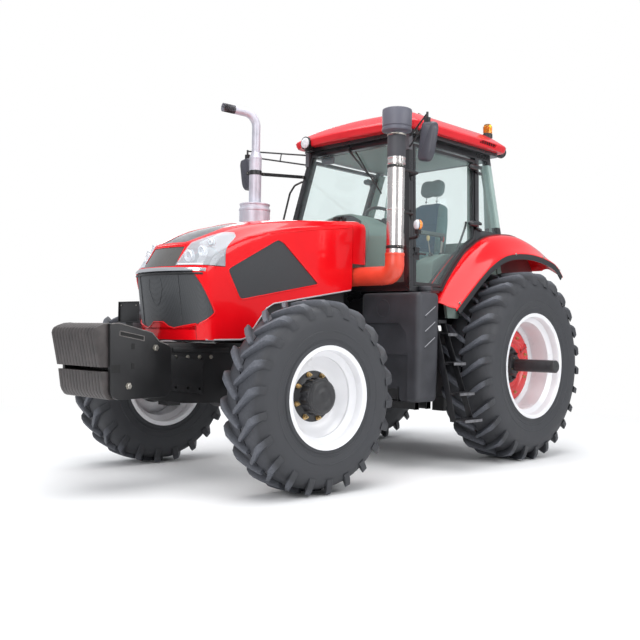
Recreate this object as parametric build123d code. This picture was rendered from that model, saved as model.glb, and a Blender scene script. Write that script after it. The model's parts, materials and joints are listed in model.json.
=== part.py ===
"""Farm tractor, four-wheel drive, about 220 hp, with cab and front ballast.

Millimetres, +Z up, the tractor faces -Y and its left side is +X. Lengths along the
tractor are worked out from the rear axle at Y = 0. On export every piece is moved
along Y, so that the origin is on the ground at the middle of the overall length.
"""
from build123d import *
import math
import os

os.makedirs("parts", exist_ok=True)

# ---------------------------------------------------------------- driving dimensions
WHEELBASE = 2830
FRONT_AXLE_Y = -WHEELBASE
GAP = 0.3                  # seat clearance between pieces of different bodies
PLAY = 6                   # running gap round a moving panel

# tyres: 16.9-28 in front, 20.8-38 at the rear
FRONT_TYRE_R = 715
FRONT_TYRE_W = 420
FRONT_RIM_R = 381          # over the rim flange
FRONT_RIM_W = 412
FRONT_WHEEL_X = 1020
REAR_TYRE_R = 908
REAR_TYRE_W = 528
REAR_RIM_R = 508
REAR_RIM_W = 490
REAR_WHEEL_X = 980
RIM_WALL = 12
BEAD_DEPTH = 30            # how far the tyre's bead sits inside the flange
BAR_AXLE_R = 60
BAR_AXLE_END_X = 1450
FRONT_LUGS = 22            # on each half of the tread, the halves staggered by half a pitch
REAR_LUGS = 26
LUG_W = 38                 # over the top of a lug
LUG_FLARE = 10             # how much wider it is at its root, on each side
LUG_SWEEP = 150            # how far it runs round the tyre from the middle to the shoulder
TREAD_SHOULDER = 55        # from the tyre's side to the corner of the tread
SHOULDER_DROP = 55

# front axle and steering
KINGPIN_X = 860
KINGPIN_R = 30
STEER_REST = -3.3          # degrees about +Z, the wheels stand turned a little
STEER_ARM = 230            # kingpin to tie rod pin, straight back
TIE_ROD_R = 14
TIE_ROD_Z = 600
TIE_PIN_R = 10
AXLE_TUBE_R = 75
AXLE_EAR_Z = 165           # inner face of the yoke ears above and below the axle
AXLE_EAR_T = 30

# front frame, weights
FRAME_X = 300              # outer faces of the frame's side plates
FRAME_T = 30
FRAME_TOP = 1090
FRAME_BOTTOM = 620
FRAME_REAR_Y = FRONT_AXLE_Y + 580
AXLE_CLEAR_Z = 905         # underside of the frame above the axle
CARRIER_Y = FRONT_AXLE_Y - 950     # front face of the weight carrier
CARRIER_T = 45
WEIGHT_BOTTOM = 690
# side view of a weight, with the grip slot cut in from the front: ahead of the carrier, above the bottom
WEIGHT_SHAPE = [(452, 460), (405, 515), (340, 536), (0, 475), (0, 0), (320, 0), (370, 60), (392, 200),
                (210, 195), (210, 222), (402, 226)]
COVER_SHAPE = [(348, 532), (280, 538), (0, 475), (-60, 415), (-140, 388), (-170, 350), (-170, 50),
               (-120, 5), (270, 0), (330, 50)]
POCKET_SHAPE = [(270, 480), (70, 445), (70, 415), (270, 450)]
POCKET_DEPTH = 15
WEIGHT_COUNT = 14
WEIGHT_GROOVE = 4
COVER_T = 35               # side plates that cover the weight stack

# engine, gearbox and rear axle
ENGINE_X = FRAME_X - FRAME_T
ENGINE_FRONT_Y = FRONT_AXLE_Y + 90
ENGINE_REAR_Y = -1700
ENGINE_BOTTOM = 900
ENGINE_TOP = 1850
GEARBOX_X = 230
GEARBOX_BOTTOM = 560
GEARBOX_TOP = 1180
REAR_CASE_X = 300
REAR_CASE_Y = 330
REAR_CASE_TOP = 1230
TRUMPET_R = 140
TRUMPET_TIP_R = 105
TRUMPET_END_X = 660
SHAFT_SEAT = 60            # how deep the bar axle sits in the end of the axle housing
SHAFT_Z = 700              # drive shaft to the front axle
PTO_R = 17.5
PTO_LENGTH = 76
PTO_Z = 640
PTO_BOSS = 50
DRAWBAR_W = 90
DRAWBAR_T = 40
DRAWBAR_Z = 440            # top face
DRAWBAR_END_Y = 760
DRAWBAR_HOLE_R = 16
TOP_LINK_PIN_R = 16

# three-point linkage: a parallelogram of link, lift rod and lift arm
LINK_PIVOT_Y = 250
LINK_PIVOT_Z = 560
LINK_X = 380               # middle plane of links, rods and arms
LINK_LENGTH = 850
LINK_W = 34
LINK_H = 80
LIFT_ARM = 420             # pivot to rod pin, the same on link and arm
LIFT_SHAFT_Z = 1180
LINK_REST = -6             # degrees below level towards the rear
LIFT_ROD_R = 22
LINK_BALL_R = 38
LINK_BALL_BORE_R = 14.3
LINK_PIN_R = 14

# hood
HOOD_X = 450
HOOD_TOP_X = 300
HOOD_SHOULDER_X = 420
HOOD_T = 15
HOOD_REAR_Y = -1790
HOOD_BOTTOM = 1108
NOSE_Y = FRONT_AXLE_Y - 730        # front of the nose at the brow
NOSE_BROW_Z = 1640
NOSE_BULGE = 145           # the nose curves back this much at the hood's sides
HINGE_Y = HOOD_REAR_Y + PLAY / 2
COWL_REAR_Y = -1590
COWL_BOTTOM = 1800
HINGE_PIN_R = 8
HINGE_BARREL_R = 15

# cab
CAB_LOW_Z = 1584           # sill, where the glazed part starts
CAB_TOP_Z = 3010
CAB_LOW_X = 873            # outer half width at the sill
CAB_HIGH_X = 640
CAB_FRONT_LOW_Y = -1513
CAB_FRONT_HIGH_Y = -1264
CAB_REAR_LOW_Y = 100
CAB_REAR_HIGH_Y = 52
CAB_SKIN = 60              # depth of the pillars
DOOR_SKIN = 42
GLASS_T = 6
GLASS_DEPTH = 20           # how far the panes lie under the outer faces
PILLAR_W = CAB_SKIN
POST_Y_LOW = -350          # door post: its middle at POST_LOW_Z, and at the cab's top
POST_LOW_Z = 2200
POST_Y_HIGH = -180
POST_W = 64
DOOR_FRAME_W = 30
DOOR_TOP_PLAY = 22         # the leaning hinges raise the door's rear corner as it opens
FLOOR_Z = 1330
FLOOR_T = 40
CAB_BASE_X = 690
CAB_WALL = 40
FOOTWELL_X = 320
HEADER = 55

# roof
ROOF_X = 780
ROOF_BOTTOM = CAB_TOP_Z + 35
ROOF_EDGE_Z = ROOF_BOTTOM + 75
ROOF_TOP = ROOF_EDGE_Z + 130
ROOF_FRONT_Y = -1360
ROOF_BOW = 70              # the front edge bows forward in the middle
ROOF_REAR_Y = 190

# fenders
FENDER_IN_X = CAB_BASE_X
FENDER_SEAL_X = 800
FENDER_OUT_X = 1060
FENDER_T = 24

# tanks and steps
TANK_IN_X = 335
TANK_OUT_X = 1005
TANK_FRONT_Y = -1540
TANK_REAR_Y = -1245
TANK_TOP = 1556
TANK_BOTTOM = 600
TANK_ROUND = 60
TREAD_W = 160              # across the tractor
TREAD_T = 26
STRINGER_T = 8

# seat and controls
SEAT_Y = -220              # front of the backrest
SEAT_Z = 1900              # underside of the cushion
SEAT_W = 520
CUSHION_L = 500
CUSHION_T = 120
BACK_H = 560
BACK_T = 130
BACK_LEAN = 8
HEADREST_H = 200
DASH_FRONT_Y = -1430
DASH_REAR_Y = -1010
DASH_X = 270
DASH_TOP = 2290
COLUMN_LEAN = 35           # degrees from upright, leaning back
WHEEL_RING_R = 205
WHEEL_RING_T = 15
WHEEL_Y = -820
WHEEL_Z = 2310

# exhaust and intake
EXHAUST_X = -640
EXHAUST_Y = -1990
DRUM_R = 150
DRUM_BOTTOM = 1500
DRUM_TOP = 2400
STACK_R = 58
STACK_TOP = 2900
TIP_R = 40
TIP_BEND_Z = STACK_TOP + 230
TIP_BEND_R = 130
TIP_REACH = 340            # how far the pipe's end leans forward
INTAKE_X = 850
INTAKE_Y = -1692
ELBOW_R = 83
ELBOW_Z = 1690
ELBOW_BEND = 125
INTAKE_R = 75
INTAKE_START_Z = 1960
INTAKE_TOP = 2905
CAP_R = 130
CAP_TOP = 3115

# mirrors and lamps
MIRROR_X = 1150
MIRROR_Y = -1660
MIRROR_Z = CAB_TOP_Z - 210
MIRROR_W = 190
MIRROR_H = 330
MIRROR_T = 70
ROD_R = 8
LAMP_R = 52
MARKER_X = 925
MARKER_Y = -1490
MARKER_Z = 2150
BEACON_X = 600
BEACON_Y = 60
BEACON_R = 45
BEACON_H = 110

# ---------------------------------------------------------------- derived places
FRONT_REACH = WEIGHT_SHAPE[0][0] - CARRIER_Y
REAR_REACH = LINK_PIVOT_Y + LINK_LENGTH * math.cos(math.radians(LINK_REST)) + LINK_BALL_R
SHIFT_Y = (FRONT_REACH - REAR_REACH) / 2


# ---------------------------------------------------------------- helpers
def block(x0, x1, y0, y1, z0, z1):
    """Box between two corners."""
    return Pos((x0 + x1) / 2, (y0 + y1) / 2, (z0 + z1) / 2) * Box(x1 - x0, y1 - y0, z1 - z0)


def prism_x(points, x0, x1):
    """Outline in (Y, Z), drawn out along X."""
    face = make_face(Polyline(*points, close=True))
    return extrude(Plane.YZ.offset(x0) * face, amount=x1 - x0)


def prism_y(points, y0, y1):
    """Outline in (X, Z), drawn out along Y."""
    face = make_face(Polyline(*points, close=True))
    return extrude(Plane.XZ.offset(-y0) * face, amount=-(y1 - y0))


def prism_z(points, z0, z1):
    """Outline in (X, Y), drawn out along Z."""
    face = make_face(Polyline(*points, close=True))
    return extrude(Plane.XY.offset(z0) * face, amount=z1 - z0)


def rod(p, q, radius):
    """Round bar from p to q."""
    a = Vector(*p)
    b = Vector(*q)
    plane = Plane(origin=a, z_dir=b - a)
    return extrude(plane * Circle(radius), amount=(b - a).length)


def disc_x(x0, x1, y, z, radius):
    """Round disc or shaft along X."""
    return rod((x0, y, z), (x1, y, z), radius)


def turned(points, y, z):
    """Outline in (X, radius), turned about the X line through (y, z)."""
    face = make_face(Polyline(*points, close=True))
    return Pos(0, y, z) * revolve(face, axis=Axis.X, revolution_arc=360)


def mirrored(shape):
    return mirror(shape, about=Plane.YZ)


def both(shape):
    """The shape and its mirror image on the other side."""
    return Compound([*solids_of(shape), *solids_of(mirrored(shape))])


def solids_of(shape):
    return [Solid(s.wrapped) if not isinstance(s, Solid) else s for s in shape.solids()]


def group(*shapes):
    """Several separate solids as one node."""
    found = []
    for shape in shapes:
        found += solids_of(shape)
    return Compound(found)


def save(name, shape):
    """Writes a node, moved so that the origin is at the middle of the length."""
    moved = Pos(0, SHIFT_Y, 0) * shape
    export_step(moved, f"parts/{name}.step")


def swing(shape, pivot_x):
    """Turns a wheel or knuckle about its upright kingpin to the parked steering angle."""
    return shape.rotate(Axis((pivot_x, FRONT_AXLE_Y, 0), (0, 0, 1)), STEER_REST)


# ---------------------------------------------------------------- wheels
def tyre(centre_x, y, radius, width, rim_r, rim_w, lugs):
    """Tyre in flat facets: carcass, angled lugs on both halves of the tread, beads on the rim.

    A lug has three stations, at the middle, at the corner of the tread and at the side. Each is
    x, radius of the top, radius of the root, sweep round the tyre.
    """
    half = width / 2
    bead = rim_w / 2 - RIM_WALL
    pitch = 2 * math.pi / lugs
    seat = (rim_r - BEAD_DEPTH + GAP) / math.cos(pitch / 2)
    flange = (rim_r + 25) / math.cos(pitch / 2)
    side = (radius + rim_r) / 2
    stations = [
        (20, radius, radius - 39, 0),
        (half - TREAD_SHOULDER, radius, radius - SHOULDER_DROP, LUG_SWEEP / radius),
        (half - 12, radius - SHOULDER_DROP, radius - 2 * SHOULDER_DROP + 5, 1.12 * LUG_SWEEP / radius),
    ]
    faces = []

    def at(x, r, angle):
        return (centre_x + x, y - r * math.cos(angle), radius + r * math.sin(angle))

    def facet(*points):
        faces.append(Face(Wire.make_polygon(points)))

    def quad(p, q, r, t):
        facet(p, q, r)
        facet(p, r, t)

    def ring(sign, i):
        """Points of lug i at its stations: top and root on both flanks, then the sidewall's."""
        start = (i + (0 if sign > 0 else 0.5)) * pitch - math.pi / 2 + LUG_W / 2 / radius
        found = []
        for x, top, root, sweep in stations:
            wide = LUG_W / 2 / radius
            foot = (LUG_W / 2 + LUG_FLARE) / radius
            found.append([at(sign * x, top, start + sweep - wide), at(sign * x, top, start + sweep + wide),
                          at(sign * x, root, start + sweep - foot), at(sign * x, root, start + sweep + foot)])
        middle = start + stations[-1][3]
        wall = [at(sign * half, side, middle), at(sign * bead, flange, middle), at(sign * bead, seat, middle)]
        return found, wall

    rings = {sign: [ring(sign, i) for i in range(lugs)] for sign in (1, -1)}
    for sign in (1, -1):
        for i in range(lugs):
            lug, wall = rings[sign][i]
            after, wall_after = rings[sign][(i + 1) % lugs]
            for near, far, near_after, far_after in zip(lug, lug[1:], after, after[1:]):
                quad(near[0], near[1], far[1], far[0])
                quad(near[2], near[0], far[0], far[2])
                quad(near[1], near[3], far[3], far[1])
                quad(near[3], near_after[2], far_after[2], far[3])
            for end in (lug[0], lug[-1]):
                facet(end[2], end[0], end[1], end[3])
            facet(lug[-1][2], lug[-1][3], wall[0])
            facet(lug[-1][3], wall_after[0], wall[0])
            facet(lug[-1][3], after[-1][2], wall_after[0])
            facet(wall[0], wall_after[0], wall_after[1], wall[1])
            facet(wall[1], wall_after[1], wall_after[2], wall[2])
    for i in range(lugs):
        # the middle of the tread and the inside, from one staggered half to the other
        lug, wall = rings[1][i]
        after, wall_after = rings[1][(i + 1) % lugs]
        across, wall_across = rings[-1][i]
        before, wall_before = rings[-1][i - 1]
        facet(lug[0][2], lug[0][3], before[0][3])
        facet(lug[0][3], across[0][2], before[0][3])
        facet(lug[0][3], across[0][3], across[0][2])
        facet(lug[0][3], after[0][2], across[0][3])
        facet(wall[2], wall_before[2], wall_across[2])
        facet(wall[2], wall_across[2], wall_after[2])
    return Solid(Shell(faces))


def rim(centre_x, y, z, rim_r, rim_w, disc_x0, bolt_r, hub_r):
    """Rim with two flanges, a drop centre and a conical disc down to the hub.

    disc_x0 is the disc's inner end, counted outwards from the rim's middle plane.
    """
    half = rim_w / 2
    seat = rim_r - BEAD_DEPTH
    well = seat - 45
    out = [
        (-half, rim_r), (-half, seat - RIM_WALL), (-half + 70, seat - RIM_WALL),
        (-half + 110, well - RIM_WALL), (half - 110, well - RIM_WALL), (half - 70, seat - RIM_WALL),
        (half, seat - RIM_WALL), (half, rim_r), (half - RIM_WALL, rim_r), (half - RIM_WALL, seat),
        (half - 70, seat), (half - 110, well), (-half + 110, well), (-half + 70, seat),
        (-half + RIM_WALL, seat), (-half + RIM_WALL, rim_r),
    ]
    shell = turned([(centre_x + x, r) for x, r in out], y, z)
    x0 = centre_x + disc_x0
    cone = [
        (x0, hub_r), (x0 + RIM_WALL, hub_r), (x0 + RIM_WALL, bolt_r),
        (x0 + 50 + RIM_WALL, well - RIM_WALL + 2), (x0 + 50, well - RIM_WALL + 2), (x0, bolt_r),
    ]
    return shell + turned(cone, y, z)


# ---------------------------------------------------------------- front wheels and axle
front_tyre = tyre(FRONT_WHEEL_X, FRONT_AXLE_Y, FRONT_TYRE_R, FRONT_TYRE_W, FRONT_RIM_R, FRONT_RIM_W,
                  FRONT_LUGS)
HUB_DISC_X = 10            # front disc, outboard of the rim's middle
FRONT_HUB_R = 135
FRONT_BOLT_R = 205
FRONT_HUB_END_X = 1165
front_rim = rim(FRONT_WHEEL_X, FRONT_AXLE_Y, FRONT_TYRE_R, FRONT_RIM_R, FRONT_RIM_W,
                HUB_DISC_X, FRONT_BOLT_R, FRONT_HUB_R)
disc_face = FRONT_WHEEL_X + HUB_DISC_X
HUB_INNER_X = disc_face - 30
front_hub = turned([
    (HUB_INNER_X, 0), (HUB_INNER_X, 190), (disc_face, 190), (disc_face, FRONT_HUB_R),
    (FRONT_HUB_END_X - 40, FRONT_HUB_R), (FRONT_HUB_END_X, FRONT_HUB_R - 20), (FRONT_HUB_END_X, 0),
], FRONT_AXLE_Y, FRONT_TYRE_R)

for side, place in (("left", lambda s: s), ("right", mirrored)):
    pivot = KINGPIN_X if side == "left" else -KINGPIN_X
    save(f"tyre_front_{side}", swing(place(front_tyre), pivot))
    save(f"rim_front_{side}", swing(place(front_rim), pivot))
    save(f"hub_front_{side}", swing(place(front_hub), pivot))

# knuckle: swivel housing on the kingpins, stub towards the hub, steering arm to the rear
axle_z = FRONT_TYRE_R
ear_top = axle_z + AXLE_EAR_Z
ear_low = axle_z - AXLE_EAR_Z
knuckle = rod((KINGPIN_X, FRONT_AXLE_Y, ear_low + PLAY), (KINGPIN_X, FRONT_AXLE_Y, ear_top - PLAY), 68)
knuckle += disc_x(KINGPIN_X + 20, HUB_INNER_X - GAP, FRONT_AXLE_Y, axle_z, 120)
knuckle += rod((KINGPIN_X, FRONT_AXLE_Y, ear_low - AXLE_EAR_T), (KINGPIN_X, FRONT_AXLE_Y, ear_low + 60),
               KINGPIN_R)
knuckle += rod((KINGPIN_X, FRONT_AXLE_Y, ear_top - 60), (KINGPIN_X, FRONT_AXLE_Y, ear_top + AXLE_EAR_T),
               KINGPIN_R)
arm_y = FRONT_AXLE_Y + STEER_ARM
ARM_T = 24
arm_z = TIE_ROD_Z + TIE_ROD_R + PLAY
knuckle += block(KINGPIN_X - 26, KINGPIN_X + 26, FRONT_AXLE_Y, arm_y, arm_z, arm_z + ARM_T)
knuckle += rod((KINGPIN_X, arm_y, arm_z), (KINGPIN_X, arm_y, arm_z + ARM_T), 30)
knuckle += rod((KINGPIN_X, arm_y, TIE_ROD_Z - 26), (KINGPIN_X, arm_y, arm_z + ARM_T), TIE_PIN_R)
knuckle += rod((KINGPIN_X, arm_y, TIE_ROD_Z - 34), (KINGPIN_X, arm_y, TIE_ROD_Z - 26), 17)
for side, place in (("left", lambda s: s), ("right", mirrored)):
    pivot = KINGPIN_X if side == "left" else -KINGPIN_X
    save(f"knuckle_{side}", swing(place(knuckle), pivot))

# tie rod: eyes on the pins of both steering arms
rest = math.radians(STEER_REST)
tie_x = -STEER_ARM * math.sin(rest)
tie_y = FRONT_AXLE_Y + STEER_ARM * math.cos(rest)
tie_rod = disc_x(tie_x - KINGPIN_X, tie_x + KINGPIN_X, tie_y, TIE_ROD_Z, TIE_ROD_R)
for x in (tie_x - KINGPIN_X, tie_x + KINGPIN_X):
    tie_rod += rod((x, tie_y, TIE_ROD_Z - 20), (x, tie_y, TIE_ROD_Z + TIE_ROD_R), 26)
for x in (tie_x - KINGPIN_X, tie_x + KINGPIN_X):
    tie_rod -= rod((x, tie_y, TIE_ROD_Z - 60), (x, tie_y, TIE_ROD_Z + 60), TIE_PIN_R + GAP)
save("tie_rod", tie_rod)

# axle beam with its differential case, pivot block and yokes
CASE_X = 170
CASE_R = 155
YOKE_X = 735
front_axle = disc_x(-YOKE_X, YOKE_X, FRONT_AXLE_Y, axle_z, AXLE_TUBE_R)
front_axle += disc_x(-CASE_X / 2, CASE_X / 2, FRONT_AXLE_Y, axle_z, CASE_R)
front_axle += block(-CASE_X, CASE_X, FRONT_AXLE_Y - 90, FRONT_AXLE_Y + 90, axle_z - 90, axle_z + 110)
AXLE_SNOUT = 290           # the case's input reaches this far back
front_axle += rod((0, FRONT_AXLE_Y, axle_z), (0, FRONT_AXLE_Y + AXLE_SNOUT, axle_z), 85)
yoke = block(YOKE_X - 40, YOKE_X, FRONT_AXLE_Y - 60, FRONT_AXLE_Y + 60,
             ear_low - AXLE_EAR_T, ear_top + AXLE_EAR_T)
for z in (ear_low - AXLE_EAR_T, ear_top):
    yoke += block(YOKE_X - 20, KINGPIN_X, FRONT_AXLE_Y - 50, FRONT_AXLE_Y + 50, z, z + AXLE_EAR_T)
    yoke += rod((KINGPIN_X, FRONT_AXLE_Y, z), (KINGPIN_X, FRONT_AXLE_Y, z + AXLE_EAR_T), 50)
    yoke -= rod((KINGPIN_X, FRONT_AXLE_Y, z - 5), (KINGPIN_X, FRONT_AXLE_Y, z + AXLE_EAR_T + 5),
                KINGPIN_R + GAP)
front_axle += yoke + mirrored(yoke)
front_axle += block(-CASE_X + 20, CASE_X - 20, FRONT_AXLE_Y - 80, FRONT_AXLE_Y + 80, axle_z, AXLE_CLEAR_Z)
save("front_axle", front_axle)

# ---------------------------------------------------------------- front frame and ballast
CARRIER_BOTTOM = 680
ARCH_Y = FRONT_AXLE_Y - 170        # front of the arch over the axle
CROSS_T = 40
side_outline = [
    (CARRIER_Y, CARRIER_BOTTOM), (ARCH_Y - 473, FRAME_BOTTOM + 20), (ARCH_Y, FRAME_BOTTOM),
    (ARCH_Y + 15, AXLE_CLEAR_Z), (FRAME_REAR_Y, AXLE_CLEAR_Z), (FRAME_REAR_Y, FRAME_TOP),
    (CARRIER_Y, FRAME_TOP),
]
frame = prism_x(side_outline, FRAME_X - FRAME_T, FRAME_X)
frame += mirrored(frame)
frame += block(-FRAME_X, FRAME_X, CARRIER_Y, CARRIER_Y + CARRIER_T, CARRIER_BOTTOM, FRAME_TOP)
frame += block(-FRAME_X, FRAME_X, ARCH_Y - CROSS_T, ARCH_Y, FRAME_BOTTOM + 30, FRAME_TOP)
pivot_plate = block(-FRAME_X, FRAME_X, FRONT_AXLE_Y - 150, FRONT_AXLE_Y + 60, AXLE_CLEAR_Z, AXLE_CLEAR_Z + 60)
frame += pivot_plate - block(-ENGINE_X, ENGINE_X, ENGINE_FRONT_Y, 0, AXLE_CLEAR_Z - 5, FRAME_TOP)
save("front_frame", frame)


def ahead_of_carrier(shape):
    return [(CARRIER_Y - ahead, WEIGHT_BOTTOM + height) for ahead, height in shape]


pitch = 2 * FRAME_X / WEIGHT_COUNT
weights = prism_x(ahead_of_carrier(WEIGHT_SHAPE), -FRAME_X, FRAME_X)
for i in range(1, WEIGHT_COUNT):
    x = -FRAME_X + i * pitch
    weights -= block(x - WEIGHT_GROOVE / 2, x + WEIGHT_GROOVE / 2, -FRONT_REACH - 50, CARRIER_Y - 60,
                     WEIGHT_BOTTOM - 50, FRAME_TOP + 200)
save("ballast_weights", weights)

cover = prism_x(ahead_of_carrier(COVER_SHAPE), FRAME_X, FRAME_X + COVER_T)
cover -= prism_x(ahead_of_carrier(POCKET_SHAPE), FRAME_X + COVER_T - POCKET_DEPTH, FRAME_X + COVER_T + 5)
save("ballast_covers", both(cover))

# ---------------------------------------------------------------- engine, gearbox, rear axle
save("engine_block", block(-ENGINE_X, ENGINE_X, ENGINE_FRONT_Y, ENGINE_REAR_Y, ENGINE_BOTTOM, ENGINE_TOP))

gearbox = block(-GEARBOX_X, GEARBOX_X, ENGINE_REAR_Y, -REAR_CASE_Y, GEARBOX_BOTTOM, GEARBOX_TOP)
gearbox += block(-REAR_CASE_X, REAR_CASE_X, -REAR_CASE_Y, REAR_CASE_Y, GEARBOX_BOTTOM, REAR_CASE_TOP)
trumpet = turned([(REAR_CASE_X, 0), (REAR_CASE_X, TRUMPET_R + 30), (REAR_CASE_X + 20, TRUMPET_R + 30),
                  (REAR_CASE_X + 40, TRUMPET_R), (TRUMPET_END_X, TRUMPET_TIP_R), (TRUMPET_END_X, 0)],
                 0, REAR_TYRE_R)
trumpet -= disc_x(TRUMPET_END_X - SHAFT_SEAT, TRUMPET_END_X + 5, 0, REAR_TYRE_R, BAR_AXLE_R + GAP)
save("axle_housings", both(trumpet))
gearbox += rod((0, ENGINE_REAR_Y, SHAFT_Z), (0, FRONT_AXLE_Y + AXLE_SNOUT, SHAFT_Z), 30)
gearbox += rod((0, REAR_CASE_Y, PTO_Z), (0, REAR_CASE_Y + PTO_BOSS, PTO_Z), 60)
gearbox += rod((0, REAR_CASE_Y, PTO_Z), (0, REAR_CASE_Y + PTO_BOSS + PTO_LENGTH, PTO_Z), PTO_R)
# drawbar in its hanger under the case
gearbox += block(-DRAWBAR_W / 2 - 30, DRAWBAR_W / 2 + 30, 100, REAR_CASE_Y, DRAWBAR_Z - DRAWBAR_T - 20,
                 GEARBOX_BOTTOM)
gearbox += block(-DRAWBAR_W / 2, DRAWBAR_W / 2, REAR_CASE_Y, DRAWBAR_END_Y, DRAWBAR_Z - DRAWBAR_T, DRAWBAR_Z)
gearbox -= rod((0, DRAWBAR_END_Y - 50, DRAWBAR_Z - DRAWBAR_T - 5), (0, DRAWBAR_END_Y - 50, DRAWBAR_Z + 5),
               DRAWBAR_HOLE_R)
# top link bracket: two cheeks with a pin hole
for x in (-50, 30):
    cheek = prism_x([(REAR_CASE_Y, 960), (REAR_CASE_Y + 110, 960), (REAR_CASE_Y + 110, 1060),
                     (REAR_CASE_Y, 1120)], x, x + 20)
    cheek -= disc_x(x - 5, x + 25, REAR_CASE_Y + 70, 1010, TOP_LINK_PIN_R)
    gearbox += cheek
# pins for the lower links, on lugs at both sides of the case
lug = block(REAR_CASE_X, LINK_X - LINK_W / 2 - PLAY, LINK_PIVOT_Y - 50, LINK_PIVOT_Y + 50,
            LINK_PIVOT_Z - 30, LINK_PIVOT_Z + 50)
lug += disc_x(REAR_CASE_X - 20, LINK_X + LINK_W / 2 + PLAY, LINK_PIVOT_Y, LINK_PIVOT_Z, LINK_PIN_R)
lug += disc_x(LINK_X + LINK_W / 2 + PLAY, LINK_X + LINK_W / 2 + PLAY + 8, LINK_PIVOT_Y, LINK_PIVOT_Z, 24)
lug += block(REAR_CASE_X - 20, REAR_CASE_X + 10, LINK_PIVOT_Y - 50, LINK_PIVOT_Y + 50,
             LINK_PIVOT_Z - 30, LINK_PIVOT_Z + 50)
gearbox += lug + mirrored(lug)
# carrier of the lift shaft on top of the case
shaft_y = LINK_PIVOT_Y
LIFT_SHAFT_R = 35
for x in (-220, 180):
    post = block(x, x + 40, shaft_y - 70, shaft_y + 70, REAR_CASE_TOP - 100, LIFT_SHAFT_Z + 80)
    gearbox += post
gearbox -= disc_x(-REAR_CASE_X - 5, REAR_CASE_X + 5, shaft_y, LIFT_SHAFT_Z, LIFT_SHAFT_R + GAP)
gearbox -= disc_x(-180, 180, shaft_y, LIFT_SHAFT_Z, LIFT_SHAFT_R + PLAY)
gearbox -= disc_x(-REAR_CASE_X - 5, -220, shaft_y, LIFT_SHAFT_Z, LIFT_SHAFT_R + PLAY)
gearbox -= disc_x(220, REAR_CASE_X + 5, shaft_y, LIFT_SHAFT_Z, LIFT_SHAFT_R + PLAY)
save("drive_housing", gearbox)

# ---------------------------------------------------------------- three-point linkage
def along_link(distance, y, z):
    """Point on a line that leaves (y, z) at the linkage's rest angle."""
    a = math.radians(LINK_REST)
    return y + distance * math.cos(a), z + distance * math.sin(a)


def flat_bar(x0, x1, start, end, height):
    """Flat link with round ends between two (y, z) points."""
    dy = end[0] - start[0]
    dz = end[1] - start[1]
    n = math.hypot(dy, dz)
    uy = -dz / n * height / 2
    uz = dy / n * height / 2
    body = prism_x([(start[0] + uy, start[1] + uz), (end[0] + uy, end[1] + uz),
                    (end[0] - uy, end[1] - uz), (start[0] - uy, start[1] - uz)], x0, x1)
    for y, z in (start, end):
        body += disc_x(x0, x1, y, z, height / 2)
    return body


link_start = (LINK_PIVOT_Y, LINK_PIVOT_Z)
link_end = along_link(LINK_LENGTH, *link_start)
link_rod_pin = along_link(LIFT_ARM, *link_start)
link = flat_bar(LINK_X - LINK_W / 2, LINK_X + LINK_W / 2, link_start, link_end, LINK_H - 4)
link -= disc_x(LINK_X - 40, LINK_X + 40, *link_start, LINK_PIN_R + GAP)
link -= disc_x(LINK_X - 40, LINK_X + 40, *link_end, LINK_BALL_BORE_R)
pin_x0 = LINK_X + LINK_W / 2
link += disc_x(pin_x0 - 10, pin_x0 + 40, *link_rod_pin, LINK_PIN_R)
save("lower_links", both(link))

arm_start = (shaft_y, LIFT_SHAFT_Z)
arm_pin = along_link(LIFT_ARM, *arm_start)
lift_arm = flat_bar(LINK_X - LINK_W / 2, LINK_X + LINK_W / 2, arm_start, arm_pin, 64)
lift_arm += disc_x(pin_x0 - 10, pin_x0 + 40, *arm_pin, LINK_PIN_R)
lift_arms = lift_arm + mirrored(lift_arm)
lift_arms += disc_x(-LINK_X, LINK_X, shaft_y, LIFT_SHAFT_Z, LIFT_SHAFT_R)
save("lift_arms", lift_arms)

rod_x = pin_x0 + PLAY + LIFT_ROD_R
lift_rod = rod((rod_x, *link_rod_pin), (rod_x, *arm_pin), LIFT_ROD_R - 4)
for pin in (link_rod_pin, arm_pin):
    lift_rod += disc_x(rod_x - LIFT_ROD_R + 2, rod_x + 10, *pin, 32)
for pin in (link_rod_pin, arm_pin):
    lift_rod -= disc_x(rod_x - 50, rod_x + 50, *pin, LINK_PIN_R + GAP)
save("lift_rods", both(lift_rod))

# ---------------------------------------------------------------- rear wheels
rear_tyre = tyre(REAR_WHEEL_X, 0, REAR_TYRE_R, REAR_TYRE_W, REAR_RIM_R, REAR_RIM_W, REAR_LUGS)
REAR_DISC_X = -95          # red centre disc, inboard of the rim's middle
REAR_CENTRE_R = 365
REAR_HUB_R = 190
rear_rim = rim(REAR_WHEEL_X, 0, REAR_TYRE_R, REAR_RIM_R, REAR_RIM_W, REAR_DISC_X, REAR_CENTRE_R + 20,
               REAR_CENTRE_R - 60)
centre_x = REAR_WHEEL_X + REAR_DISC_X + RIM_WALL
rear_centre = turned([
    (centre_x, REAR_HUB_R), (centre_x, REAR_CENTRE_R), (centre_x + 30, REAR_CENTRE_R),
    (centre_x + 45, REAR_CENTRE_R - 50), (centre_x + 45, 255), (centre_x + 20, 225),
    (centre_x + 20, REAR_HUB_R),
], 0, REAR_TYRE_R)
hub_inner_x = TRUMPET_END_X - SHAFT_SEAT + PLAY
rear_hub = turned([
    (hub_inner_x, 0), (hub_inner_x, BAR_AXLE_R), (centre_x - 120, BAR_AXLE_R), (centre_x - 120, 110),
    (centre_x - 40, 118), (centre_x - 30, REAR_HUB_R + 45), (centre_x, REAR_HUB_R + 45),
    (centre_x, REAR_HUB_R), (centre_x + 40, REAR_HUB_R), (centre_x + 55, 110),
    (centre_x + 110, BAR_AXLE_R), (BAR_AXLE_END_X, BAR_AXLE_R),
    (BAR_AXLE_END_X, 0),
], 0, REAR_TYRE_R)
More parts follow.
